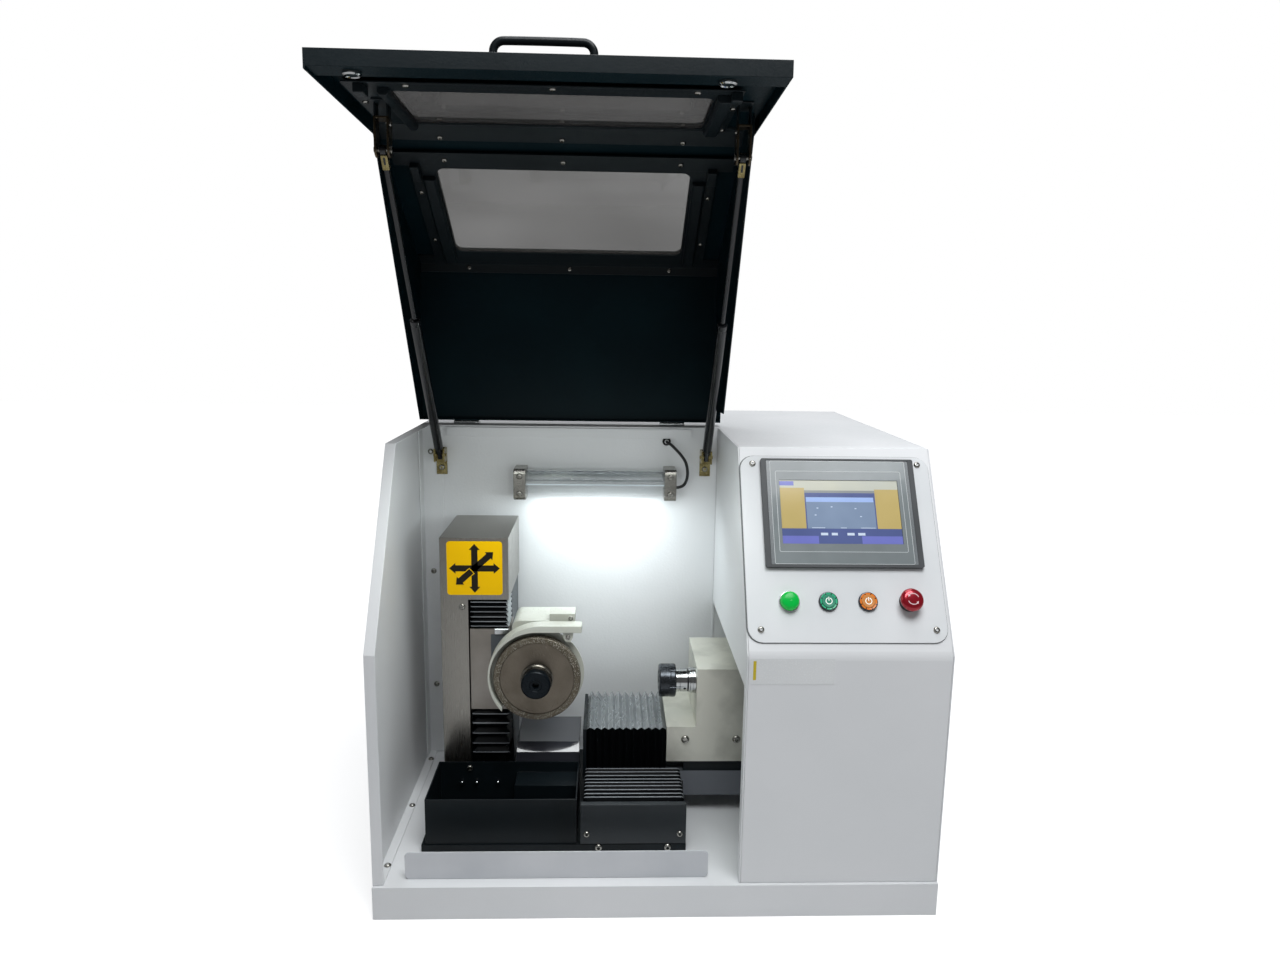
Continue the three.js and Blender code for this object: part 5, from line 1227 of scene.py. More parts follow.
class Fasteners:
    """One screw model, and the copies of it over the machine."""

    def __init__(self) -> None:
        """Models the screw."""
        self.model = Screw().build()

    def set_in(self, name: str, frame: Matrix, body: Body, places: Sequence[Point], turn: Matrix = STILL,
               scale: float = 1.0, finish: Surface = Finishes.SCREW) -> None:
        """Sets screws at points of a drawing frame.

        Args:
            name: Name of the piece that holds them.
            frame: The drawing frame.
            body: The body that they ride on.
            places: The middles of their seats.
            turn: How a screw is turned from facing -Y.
            scale: Their size, against the model.
            finish: Their finish.
        """
        matrices = [shifted(*place) @ turn @ turned_by(math.radians(17.0 * i), "Y") @ Matrix.Scale(scale, 4)
                    for i, place in enumerate(places)]
        settled(repeated(name, self.model, matrices), frame, finish, body)

    def put_away(self) -> None:
        """Deletes the model."""
        bpy.data.objects.remove(self.model)


INWARDS = turned_by(math.pi, "Z")
DOWNWARDS = turned_by(math.pi / 2, "X")
UPWARDS = turned_by(-math.pi / 2, "X")


# The machine's sub-assemblies


@dataclass
class LightCable:
    """The short cable between the work light and the back wall."""

    radius: float = 2.5
    bottom: Point = (430.3, 364.0, 537.0)
    top: Point = (415.0, 381.7, 612.0)
    bow: Sequence[Point] = ((0.066, 0.0, 0.0), (0.186, 0.01, 0.053), (0.252, 0.015, 0.2), (0.259, 0.02, 0.387),
                            (0.212, 0.025, 0.573), (0.105, 0.03, 0.733), (-0.022, 0.04, 0.867))
    lead: float = 6.0

    def route(self) -> list[Vector]:
        """The cable's middle line in metres, as one smooth curve.

        Returns:
            Points from the lamp's end cap to the wall's grommet.
        """
        rise = self.top[2] - self.bottom[2]
        across, back, up = self.top
        knots = [Vector(self.bottom)]
        knots += [Vector(self.bottom) + Vector(step) * rise for step in self.bow]
        knots += [Vector((across + self.lead, back - 2 * self.lead, up - self.lead / 2)),
                  Vector((across, back - self.lead, up)), Vector(self.top)]
        return [CABINET @ point for point in centripetal(knots, 4)]

    def build(self) -> None:
        points = self.route()
        curve = bpy.data.curves.new("lamp_cable", "CURVE")
        curve.dimensions = "3D"
        curve.bevel_depth = self.radius / 1000
        curve.bevel_resolution = 5
        curve.use_fill_caps = True
        spline = curve.splines.new("POLY")
        spline.points.add(len(points) - 1)
        for knot, point in zip(spline.points, points):
            knot.co = (*point, 1.0)
        cable = bpy.data.objects.new("lamp_cable", curve)
        bpy.context.scene.collection.objects.link(cable)
        curve.materials.append(FINISHES.of(Finishes.RUBBER))
        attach(cable, Body.CABINET.value)
        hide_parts("light_cable")


def centripetal(knots: Sequence[Vector], steps: int) -> list[Vector]:
    """Points along a smooth centripetal curve through its knots.

    Args:
        knots: The knots.
        steps: Points from one knot to the next.

    Returns:
        The points, from the first knot to the last.
    """
    padded = [knots[0] * 2 - knots[1], *knots, knots[-1] * 2 - knots[-2]]
    points = []
    for p0, p1, p2, p3 in zip(padded, padded[1:], padded[2:], padded[3:]):
        gaps = [max((b - a).length ** 0.5, 1e-4) for a, b in ((p0, p1), (p1, p2), (p2, p3))]
        before = ((p1 - p0) / gaps[0] - (p2 - p0) / (gaps[0] + gaps[1]) + (p2 - p1) / gaps[1]) * gaps[1]
        after = ((p2 - p1) / gaps[1] - (p3 - p1) / (gaps[1] + gaps[2]) + (p3 - p2) / gaps[2]) * gaps[1]
        for i in range(steps):
            t = i / steps
            a = 2 * p1 - 2 * p2 + before + after
            b = -3 * p1 + 3 * p2 - 2 * before - after
            points.append(p1 + before * t + b * t * t + a * t * t * t)
    return [*points, knots[-1].copy()]


@dataclass
class Enclosure:
    """The sheet-metal cabinet, with its label and screws."""

    label: tuple[Span, Span] = ((506.5, 619.5), (339.0, 375.0))
    bar: tuple[Span, Span] = ((510.4, 514.4), (345.4, 371.9))
    grommet: Span = (415.0, 612.0)
    bare_places: Sequence[float] = (66.0, 241.0, 416.0)
    bare_cut: tuple[Span, Span] = ((9.0, 26.0), (378.0, 384.98))
    bare_half: float = 8.0
    corner_places: Sequence[float] = (177.0, 383.0, 591.0)
    foot_places: Sequence[float] = (42.6, 201.2, 354.0)
    fasteners: Fasteners | None = None

    def build(self) -> None:
        """Dresses the panels and models what is on them."""
        for node in ("floor_frame", "left_wall", "partition", "right_wall", "rear_panel", "bay_shelf"):
            dressed(node, Finishes.WHITE, Body.CABINET, 0.5)
        dressed("roof", Finishes.ROOF, Body.CABINET, 0.5)
        wall = dressed("back_wall", Finishes.ROOF, Body.CABINET, 0.5)
        for height in self.bare_places:
            trimmed(wall, *self.bare_cut, around(height, self.bare_half))
        front = dressed("control_front", Finishes.WHITE, Body.CABINET, 0.5, 33.0)
        folded(front, 5.0, lambda a, b: all(abs(end[1]) < 0.6 and abs(end[2] - FRONT_HEIGHT) < 2.0
                                            for end in (a, b)))
        dressed("front_sill", Finishes.SILL, Body.CABINET, 0.5)
        dressed("electrics_plate", Finishes.ELECTRICS, Body.CABINET, 0.8)
        self.sticker()
        self.cable_grommet()
        self.screws()

    def cable_grommet(self) -> None:
        """The rubber ring where the lamp's cable enters the wall."""
        wall = BACK_WALL
        profile = [(2.45, wall + 0.2), (7.2, wall + 0.2), (7.2, wall - 1.6), (6.4, wall - 2.6),
                   (4.4, wall - 4.2), (2.9, wall - 4.6), (2.45, wall + 0.2)]
        ring = lathe("cable_grommet", profile, "Y", self.grommet, 36, 40.0)
        settled(ring, CABINET, Finishes.RUBBER, Body.CABINET)

    def sticker(self) -> None:
        """The label on the front, bare but for a coloured bar."""
        across, up = self.label
        film = plate("front_label", across, up, (-0.35, 0.0), 1.5, 0.1)
        settled(film, CABINET, Finishes.LABEL, Body.CABINET)
        bar = plate("front_label_bar", *self.bar, (-0.6, -0.3), 0.0, 0.1)
        settled(bar, CABINET, Finishes.LABEL_BAR, Body.CABINET)

    def screws(self) -> None:
        """The screws of the corner angle and of the left wall's foot."""
        places = [(17.3, 385.0, height) for height in self.corner_places]
        self.fasteners.set_in("corner_screws", CABINET, Body.CABINET, places)
        feet = [(10.4, depth, 50.3) for depth in self.foot_places]
        self.fasteners.set_in("foot_screws", CABINET, Body.CABINET, feet, UPWARDS)


@dataclass
class ControlPanel:
    """The slanted panel: its plate, the operator panel, and the four buttons."""

    plate_face: float = -2.3
    seat: float = -2.6
    row: float = 73.4
    lamp: float = 561.7
    start: float = 614.7
    reset: float = 668.7
    stop: float = 725.0
    housing: tuple[Span, Span] = ((532.0, 750.5), (119.7, 279.0))
    screen: tuple[Span, Span] = ((557.0, 725.0), (153.0, 246.5))
    proud: float = 6.0
    behind: float = 26.0
    plate_edge: tuple[Span, Span] = ((502.0, 774.0), (18.0, 285.0))
    plate_corner: float = 20.0
    screw_columns: Span = (521.5, 758.5)
    screw_rows: Span = (35.2, 273.0)
    fasteners: Fasteners | None = None

    def build(self) -> None:
        """Models the whole panel."""
        dressed("control_plate", Finishes.PLATE, Body.CABINET, 0.5)
        across, up = self.plate_edge
        # A grey ring just outside the plate's edge: painted shadow of the plate on the slanted front.
        shadow_ring = plate("plate_painted_shadow", inside(across, 0.0, -0.7), inside(up, -0.7, -0.7), (-0.75, -0.05),
                       self.plate_corner + 0.7, 0.0)
        carved(shadow_ring, plate("plate_shadow_tool", inside(across, 6.0, 6.0), inside(up, 6.0, 6.0), (-3.0, 2.0),
                             self.plate_corner - 6.0, 0.0))
        settled(shadow_ring, PANEL, Finishes.PAINTED_PLATE_SHADOW, Body.CABINET)
        screws = [(x, self.plate_face, z) for x in self.screw_columns for z in self.screw_rows]
        self.fasteners.set_in("panel_screws", PANEL, Body.CABINET, screws, scale=0.95)
        self.operator_panel()
        self.display()
        self.signal()
        self.button("start", self.start, Body.START, Finishes.GREEN_LIT, Finishes.GREEN_CAP)
        self.button("reset", self.reset, Body.RESET, Finishes.ORANGE_LIT, Finishes.ORANGE_CAP)
        self.emergency_stop()

    def operator_panel(self) -> None:
        """Housing with a textured rim, and the two films set into it."""
        across, up = self.housing
        screen_across, screen_up = self.screen
        face = self.seat - self.proud
        housing = plate("panel_housing", across, up, (face, self.seat), 3.0, 0.0)
        bed = plate("bed_tool", inside(across, 7.5, 7.5), inside(up, 3.4, 2.8), (face - 3.0, face + 0.8), 1.5,
                    0.0)
        recess = plate("recess_tool", screen_across, screen_up, (face - 3.0, face + 2.0), 0.0, 0.0)
        carved(housing, bed, recess)
        rounded(housing, 0.7, 3, 50.0)
        body = block("panel_body", inside(across, 9.0, 9.0), (self.seat - 3.0, self.seat + 34.0),
                     inside(up, 9.0, 9.0), 2.0)
        hole = (inside(screen_across, -0.5, -0.5), inside(screen_up, -0.5, -0.5))
        carved(body, plate("recess_tool", *hole, (face - 3.0, face + 2.1), 0.0, 0.0))
        housing = joined("panel_housing", [housing, body])
        softened(housing, 30.0)
        settled(housing, PANEL, Finishes.BEZEL, Body.CABINET, ("operator_panel",))
        border, fascia = (face + 0.4, face + 0.79), (face + 0.12, face + 0.42)
        self.film("panel_border", inside(across, 7.8, 7.8), inside(up, 3.7, 3.1), border, Finishes.BORDER)
        self.film("panel_fascia", inside(across, 13.0, 13.0), inside(up, 4.6, 4.0), fascia, Finishes.FASCIA)
        # The line at the fascia's edge is a painted highlight on the film's edge.
        self.pale_line("fascia_edge_highlight", inside(across, 12.7, 12.7), inside(up, 4.3, 3.7), face + 0.05, 0.55)
        self.pale_line("screen_line", inside(across, 20.0, 20.0), inside(up, 21.5, 19.0), face + 0.05, 0.6)

    def film(self, name: str, across: Span, up: Span, depth: Span, finish: Surface) -> None:
        """A film with a window for the screen.

        Args:
            name: Name of the film.
            across: Its span across the panel.
            up: Its span up the panel.
            depth: From its face to its back.
            finish: Its finish.
        """
        sheet = plate(name, across, up, depth, 1.5, 0.08)
        carved(sheet, plate("window_tool", *self.screen, (depth[0] - 3.0, depth[1] + 3.0), 0.0, 0.0))
        settled(sheet, PANEL, finish, Body.CABINET)

    def pale_line(self, name: str, across: Span, up: Span, face: float, width: float) -> None:
        """A thin pale line around a field of the fascia; the one at the fascia's edge is a painted highlight.

        Args:
            name: Name of the line.
            across: Its outer span across the panel.
            up: Its outer span up the panel.
            face: Its outer face.
            width: Its width.
        """
        line = plate(name, across, up, (face, face + 0.25), 2.5, 0.0)
        inner = plate("line_tool", inside(across, width, width), inside(up, width, width), around(face, 2.0),
                      2.5 - width, 0.0)
        settled(carved(line, inner), PANEL, Finishes.PALE_LINE_AND_HIGHLIGHT, Body.CABINET)

    def display(self) -> None:
        """The lit picture on the screen: a plain dialogue between two side bars."""
        (left, right), (low, high) = self.screen
        face = self.seat - self.proud + 1.7
        width, height = right - left - 0.6, high - low - 0.6
        glass = plate("screen_glass_pane", (left + 0.3, right - 0.3), (low + 0.3, high - 0.3),
                      (face - 0.5, face + 1.2), 0.0, 0.15)
        settled(glass, PANEL, Picture.GROUND, Body.CABINET, ("screen_glass",))
        for number, (name, finish, u0, u1, v0, v1) in enumerate(Picture.FIELDS):
            span = (left + 0.3 + u0 * width, left + 0.3 + u1 * width)
            rise = (low + 0.3 + v0 * height, low + 0.3 + v1 * height)
            level = face - 0.55 - 0.01 * number
            field_piece = plate(f"screen_{name}", span, rise, (level, level + 0.06), 0.0, 0.0)
            settled(field_piece, PANEL, finish, Body.CABINET)

    def signal(self) -> None:
        """The lamp: a green dome with rings on its top and ribs down its side, in a thin rim."""
        s = self.seat
        rim = lathe("lamp_rim", [(10.9, s - 1.0), (10.9, s), (14.2, s), (14.2, s - 1.2), (13.6, s - 2.2),
                                 (13.1, s - 2.4), (10.9, s - 2.2), (10.9, s - 1.0)], "Y", (self.lamp, self.row),
                    64)
        settled(rim, PANEL, Finishes.CHROME, Body.CABINET)
        top = s - 12.4
        profile = [(0.0, top)]
        profile += [(1.1 * i, top + 0.012 * (1.1 * i) ** 2 + (0.45 if i % 2 else 0.0)) for i in range(1, 9)]
        profile += [(10.4, top + 1.9), (11.7, top + 3.0), (12.6, top + 4.8), (12.9, top + 6.8), (13.0, s - 2.0),
                    (10.8, s - 2.0), (10.8, s + self.behind), (0.0, s + self.behind)]
        dome = lathe("lamp_dome", profile, "Y", (self.lamp, self.row), 72, 60.0)
        with editing(dome, "VERT"):
            mesh = bmesh.from_edit_mesh(dome.data)
            for vertex in mesh.verts:
                spread = Vector((vertex.co.x - self.lamp, vertex.co.z - self.row))
                step = round(math.atan2(spread.y, spread.x) / (2 * math.pi) * 72)
                vertex.select_set(step % 2 == 0 and vertex.co.y < s - 1.0 and spread.length > 11.2)
            bmesh.update_edit_mesh(dome.data)
            bpy.ops.transform.resize(value=(0.955, 1.0, 0.955), center_override=(self.lamp, s, self.row))
        settled(dome, PANEL, Finishes.GREEN, Body.CABINET, ("signal_lamp",))

    def button(self, name: str, across: float, body: Body, ring: Glow, cap: Glow) -> None:
        """A lit push button.

        Args:
            name: What the button does.
            across: Its place across the panel.
            body: The body that its cap rides on.
            ring: Finish of the lit ring.
            cap: Finish of the cap.
        """
        s, centre = self.seat, (across, self.row)
        bore = 9.6
        rim = lathe(f"{name}_bezel", [(bore, s - 3.2), (11.3, s - 3.9), (12.3, s - 3.7), (13.0, s - 2.6),
                                      (13.2, s), (10.9, s), (10.9, s + self.behind), (3.4, s + self.behind),
                                      (3.4, s + 4.0), (bore, s + 4.0), (bore, s - 3.2)], "Y", centre, 48)
        settled(rim, PANEL, Finishes.OXIDE, Body.CABINET, (f"{name}_button_body",))
        glow = lathe(f"{name}_ring", [(9.5, s - 3.2), (11.6, s - 3.8), (11.6, s - 4.2), (9.5, s - 3.6),
                                      (9.5, s - 3.2)], "Y", centre, 64)
        carved(glow, *(
            placed(block("gap_tool", (-0.7, 0.7), (s - 6.0, s - 1.0), (8.0, 13.0), 0.0),
                   shifted(across, 0.0, self.row) @ turned_by(math.radians(45.0 * i + 22.5), "Y"))
            for i in range(8)))
        settled(glow, PANEL, ring, Body.CABINET)
        front = s - 5.2
        head = lathe(f"{name}_cap", [(0.0, front + 0.5), (6.2, front + 0.35), (7.4, front), (8.6, front + 0.1),
                                     (9.2, front + 0.8), (9.2, front + 5.0), (3.0, front + 5.0),
                                     (3.0, s + 23.0), (0.0, s + 23.0)], "Y", centre, 48)
        settled(head, PANEL, cap, body, (f"{name}_button_cap",))
        mark = lathe(f"{name}_mark_ring", [(3.6, front + 0.42), (4.7, front + 0.4), (4.7, front + 0.2),
                                           (3.6, front + 0.22), (3.6, front + 0.42)], "Y", centre, 32)
        gap = block("gap_tool", around(across, 1.5), around(front, 3.0), (self.row + 2.0, self.row + 8.0), 0.0)
        carved(mark, gap)
        stroke = block("stroke", around(across, 0.55), (front + 0.15, front + 0.45),
                       (self.row + 0.3, self.row + 5.6), 0.12)
        settled(joined(f"{name}_mark", [mark, stroke]), PANEL, Finishes.MARK_LIT, body)

    def emergency_stop(self) -> None:
        """The red mushroom on its collar, with two pale turning arrows."""
        s, centre = self.seat, (self.stop, self.row)
        collar = lathe("stop_collar", [(8.4, s - 6.0), (11.4, s - 6.0), (12.6, s - 5.2), (13.6, s - 3.0),
                                       (13.6, s), (10.9, s), (10.9, s + self.behind), (3.4, s + self.behind),
                                       (3.4, s + 13.0), (8.4, s + 13.0), (8.4, s - 6.0)], "Y", centre, 48)
        settled(collar, PANEL, Finishes.PLASTIC, Body.CABINET, ("stop_button_body",))
        under = s - 10.3
        top = under - 9.0
        profile = [(0.0, top), (8.6, top + 0.25), (11.4, top + 0.9), (13.6, top + 2.2), (15.0, top + 4.0),
                   (15.6, top + 5.6), (15.6, top + 7.2), (14.6, top + 8.6), (13.4, under), (8.0, under),
                   (8.0, s + 8.5), (3.0, s + 8.5), (3.0, s + 22.0), (0.0, s + 22.0)]
        head = lathe("stop_mushroom", profile, "Y", centre, 64, 40.0)
        settled(head, PANEL, Finishes.RED, Body.STOP, ("stop_button_head",))
        arrows = []
        for start in (20.0, 200.0):
            bow = [math.radians(start + 110.0 * i / 14) for i in range(15)]
            outer = [(self.stop + 8.0 * math.cos(a), self.row + 8.0 * math.sin(a)) for a in bow]
            inner = [(self.stop + 6.9 * math.cos(a), self.row + 6.9 * math.sin(a)) for a in reversed(bow)]
            tip = math.radians(start + 138.0)
            end = bow[-1]
            head_points = [(self.stop + r * math.cos(a), self.row + r * math.sin(a))
                           for r, a in ((9.3, end), (7.4, tip), (5.6, end))]
            outline = [*outer, *head_points, *inner]
            arrows.append(prism("stop_arrow", outline, "Y", (top - 0.08, top + 0.6), 0.0))
        settled(joined("stop_arrows", arrows), PANEL, Finishes.WHITE_MARK, Body.STOP)


class Picture:
    """The fields of the picture on the screen: name, finish, and the shares of its width and height."""

    GROUND = Glow("screen_ground", "8e9290", "7f8486", 0.2, 0.1)
    SAND = Glow("screen_sand", "b3a06a", "a8965f", 0.3, 0.1)
    PALE = Glow("screen_pale", "b4b4a4", "a8aca6", 0.3, 0.1)
    SLATE = Glow("screen_slate", "7c8ca4", "6a7a92", 0.3, 0.1)
    DEEP = Glow("screen_deep", "55608e", "4a547e", 0.25, 0.1)
    TITLE = Glow("screen_title", "93aad6", "8aa0cc", 0.4, 0.1)
    VIOLET = Glow("screen_violet", "6b70b4", "6267a8", 0.35, 0.1)
    DOT = Glow("screen_dot", "b8c4d4", "b0bccc", 0.4, 0.1)
    FIELDS = (
        ("top_band", PALE, 0.0, 1.0, 0.84, 1.0),
        ("left_bar", SAND, 0.0, 0.205, 0.235, 0.88),
        ("right_bar", SAND, 0.80, 1.0, 0.235, 0.86),
        ("corner", VIOLET, 0.0, 0.12, 0.915, 0.985),
        ("frame", DEEP, 0.205, 0.80, 0.235, 0.80),
        ("dialogue", SLATE, 0.215, 0.79, 0.235, 0.655),
        ("title", TITLE, 0.215, 0.785, 0.655, 0.73),
        ("dot_one", DOT, 0.30, 0.315, 0.55, 0.565),
        ("dot_two", DOT, 0.42, 0.435, 0.57, 0.585),
        ("dot_three", DOT, 0.62, 0.635, 0.545, 0.56),
        ("dot_four", DOT, 0.28, 0.295, 0.44, 0.455),
        ("dot_five", DOT, 0.66, 0.675, 0.42, 0.435),
        ("keys_left", DOT, 0.25, 0.36, 0.243, 0.252),
        ("keys_middle", DOT, 0.49, 0.54, 0.243, 0.252),
        ("keys_right", DOT, 0.66, 0.78, 0.243, 0.252),
        ("low_bar", DEEP, 0.0, 1.0, 0.0, 0.235),
        ("low_left", VIOLET, 0.0, 0.30, 0.0, 0.12),
        ("low_right", VIOLET, 0.66, 1.0, 0.0, 0.12),
        ("low_dash_one", DOT, 0.32, 0.38, 0.13, 0.17),
        ("low_dash_two", DOT, 0.41, 0.46, 0.13, 0.17),
        ("low_dash_three", DOT, 0.54, 0.60, 0.13, 0.17),
        ("low_dash_four", DOT, 0.63, 0.69, 0.13, 0.17),
    )


@dataclass
class Hood:
    """The folded hood with its windows, frames, handle and hinges."""

    outside: float = -21.2
    frame_back: float = -14.3
    frame_face: float = -12.6
    strip_face: float = -16.2
    strip_wall: float = 2.9
    channel_face: float = -3.8
    inner: Span = (0.5, 504.0)
    slant_window: tuple[Span, Span] = ((66.0, 432.0), (-222.0, -30.0))
    front_window: tuple[Span, Span] = ((54.0, 438.0), (221.0, 368.0))
    slant_ring: tuple[Span, Span] = ((28.0, 470.0), (-243.0, -4.0))
    front_ring: tuple[Span, Span] = ((8.0, 470.5), (188.0, 373.0))
    corner: float = 12.0
    screw_rows: Sequence[float] = (81.0, 248.5, 416.0)
    slant_screws: Sequence[Span] = ((36.0, -171.0), (36.5, -60.0), (462.0, -170.0), (462.0, -59.5))
    front_screws: Sequence[Span] = ((17.0, 268.0), (20.0, 366.0), (465.4, 262.0), (465.4, 366.0))
    handle: tuple[float, float, float] = (187.0, 297.0, 148.0)
    standoff: float = 26.0
    bend: float = 12.0
    bumpers: Sequence[float] = (42.0, 441.0)
    bumper_height: float = 120.0
    middle: Point = (250.0, 150.0, 400.0)
    fasteners: Fasteners | None = None

    def build(self) -> None:
        """Models the whole hood."""
        shell = dressed("hood_shell", Finishes.HOOD, Body.HOOD, 0.6)
        painted(shell, Finishes.HOOD, Finishes.HOOD_INSIDE_SHADED)
        # Faces turned inwards get the darker copy of the hood paint: painted shade on the hood's inside.
        faced(shell, 1, lambda face: (HOOD @ Vector(self.middle) - face.center).dot(face.normal) > 0.0)
        dressed("slant_window", Finishes.ACRYLIC, Body.HOOD, 0.4)
        dressed("front_window", Finishes.DARK_ACRYLIC, Body.HOOD, 0.4)
        for side in ("left", "right"):
            dressed(f"hinge_{side}_fixed", Finishes.STEEL, Body.CABINET, 0.2)
            dressed(f"hinge_{side}_moving", Finishes.STEEL, Body.HOOD, 0.2)
        self.slant_frame()
        self.front_frame()
        self.bend_angles()
        self.pull_handle()
        self.chrome_rings()
        self.screws()

    def ring(self, name: str, outer: tuple[Span, Span], window: tuple[Span, Span]) -> bpy.types.Object:
        """The flat frame around a window."""
        sheet = plate(name, *outer, (self.frame_back, self.frame_face), 4.0, 0.0)
        return carved(sheet, plate("window_tool", *window, (self.frame_back - 5.0, self.frame_face + 5.0),
                                   self.corner, 0.0))

    def channel(self, left: float, right: float, up: Span) -> bpy.types.Object:
        """A raised channel along a window's side, with sloped shoulders.

        Args:
            left: Its left side.
            right: Its right side.
            up: Its span up the hood.

        Returns:
            The piece, not placed yet.
        """
        foot, face = self.frame_face - 0.2, self.channel_face
        outline = [(left, foot), (left, face - 3.2), (left + 3.2, face), (right - 3.2, face),
                   (right, face - 3.2), (right, foot)]
        return prism("window_channel", outline, "Z", up, 0.7)

    def stop(self, across: Span, up: Span) -> bpy.types.Object:
        """The small block at the end of a channel."""
        return block("channel_stop", across, (self.frame_face - 0.2, self.channel_face + 1.6), up, 1.4, 3)

    def slant_frame(self) -> None:
        """Frame of the slanted half's window, with its channels, stops and far strip."""
        pieces = [rounded(self.ring("slant_frame", self.slant_ring, self.slant_window), 0.4),
                  self.channel(44.0, 64.0, (-206.0, -9.0)), self.channel(436.0, 455.0, (-206.0, -11.0)),
                  self.stop((31.0, 43.6), (-234.0, -205.0)), self.stop((455.4, 469.0), (-234.0, -207.0)),
                  block("far_strip", (8.0, 492.0), (self.frame_back - 0.2, self.frame_face + 1.2),
                        (-254.0, -228.0), 0.5)]
        settled(joined("slant_frame", pieces), HOOD_SLOPE, Finishes.HOOD, Body.HOOD,
                ("slant_window_frame",))

    def front_frame(self) -> None:
        """Frame of the front half's window, with its channels and stops."""
        pieces = [
            rounded(self.ring("front_frame", self.front_ring, self.front_window), 0.4),
            self.channel(45.8, 59.0, (206.0, 371.0)),
            self.channel(440.5, 460.0, (206.0, 371.0)),
            self.stop((22.0, 35.0), (191.0, 212.0)),
            self.stop((455.0, 468.0), (191.0, 205.0)),
        ]
        settled(joined("front_frame", pieces), HOOD, Finishes.HOOD, Body.HOOD,
                ("front_window_frame",))

    def bend_angles(self) -> None:
        """The angle strips screwed over the two bends."""
        run, rise, thick = math.sin(SLANT), math.cos(SLANT), self.strip_wall

        def sloped(corner: Span, down: float, out: float) -> Span:
            """A point so far along the slant from a corner, and so far out of it."""
            return (corner[0] + down * run - out * rise, corner[1] + down * rise + out * run)

        corner = (142.74, 652.2)
        rear = [(155.5, corner[1] + thick), (155.5, corner[1]), corner, sloped(corner, -22.0, 0.0),
                sloped(corner, -22.0, thick), (141.08, corner[1] + thick)]
        corner = (self.strip_face, 382.42)
        front = [sloped(corner, 31.0, thick), sloped(corner, 31.0, 0.0), corner, (corner[0], 374.5),
                 (corner[0] - thick, 374.5), (corner[0] - thick, 383.2)]
        strips = [prism("bend_angle", outline, "X", self.inner, 0.4) for outline in (rear, front)]
        settled(joined("bend_angles", strips), HOOD, Finishes.HOOD, Body.HOOD)

    def pull_handle(self) -> None:
        """A round bar bent twice, on two collars."""
        left, right, height = self.handle
        foot, far = self.outside - 0.3, self.outside - 0.3 - self.standoff
        corners = []
        for turn, (x, sign) in enumerate(((left, 1.0), (right, -1.0))):
            arc = [(x + sign * self.bend * (1 - math.cos(a)), far + self.bend * (1 - math.sin(a)), height)
                   for a in (math.radians(15.0 * i) for i in range(7))]
            corners.append(arc if turn == 0 else arc[::-1])
        points = [(left, foot + 0.5, height), (left, foot - 8.0, height), *corners[0], *corners[1],
                  (right, foot - 8.0, height), (right, foot + 0.5, height)]
        bar = swept("handle_bar", points, 4.6, 6, 6)
        feet = [lathe("handle_foot", [(0.0, foot), (7.0, foot), (7.0, foot - 1.4), (6.2, foot - 2.2),
                                      (4.4, foot - 2.6), (0.0, foot - 2.6)], "Y", (x, height), 28)
                for x in (left, right)]
        settled(joined("pull_handle", [bar, *feet]), HOOD, Finishes.BLACK, Body.HOOD,
                ("hood_handle",))

    def chrome_rings(self) -> None:
        """The bumpers inside the lower edge: a chrome ring around a dark pad."""
        face = -0.7
        rings = [lathe("bumper_ring", [(6.4, face - 2.0), (6.4, face + 1.0), (8.2, face + 2.0),
                                       (10.2, face + 0.6), (10.2, face - 2.0), (6.4, face - 2.0)], "Y",
                       (x, self.bumper_height), 40) for x in self.bumpers]
        settled(joined("bumper_rings", rings), HOOD, Finishes.CHROME, Body.HOOD)

    def screws(self) -> None:
        """The screws of both window frames and of the angle strips."""
        slant = [(x, self.frame_face + 1.2, -240.5) for x in self.screw_rows]
        slant += [(x, self.frame_face, z) for x, z in self.slant_screws]
        slant += [(x, self.strip_face, -278.5) for x in self.screw_rows]
        self.fasteners.set_in("slant_half_screws", HOOD_SLOPE, Body.HOOD, slant, INWARDS, 0.86)
        front = [(x, self.frame_face, 197.5) for x in self.screw_rows]
        front += [(x, self.frame_face, z) for x, z in self.front_screws]
        self.fasteners.set_in("front_half_screws", HOOD, Body.HOOD, front, INWARDS, 0.86)
        roof = [(x, 147.6, 652.2) for x in self.screw_rows]
        self.fasteners.set_in("roof_half_screws", HOOD, Body.HOOD, roof, DOWNWARDS, 0.8)


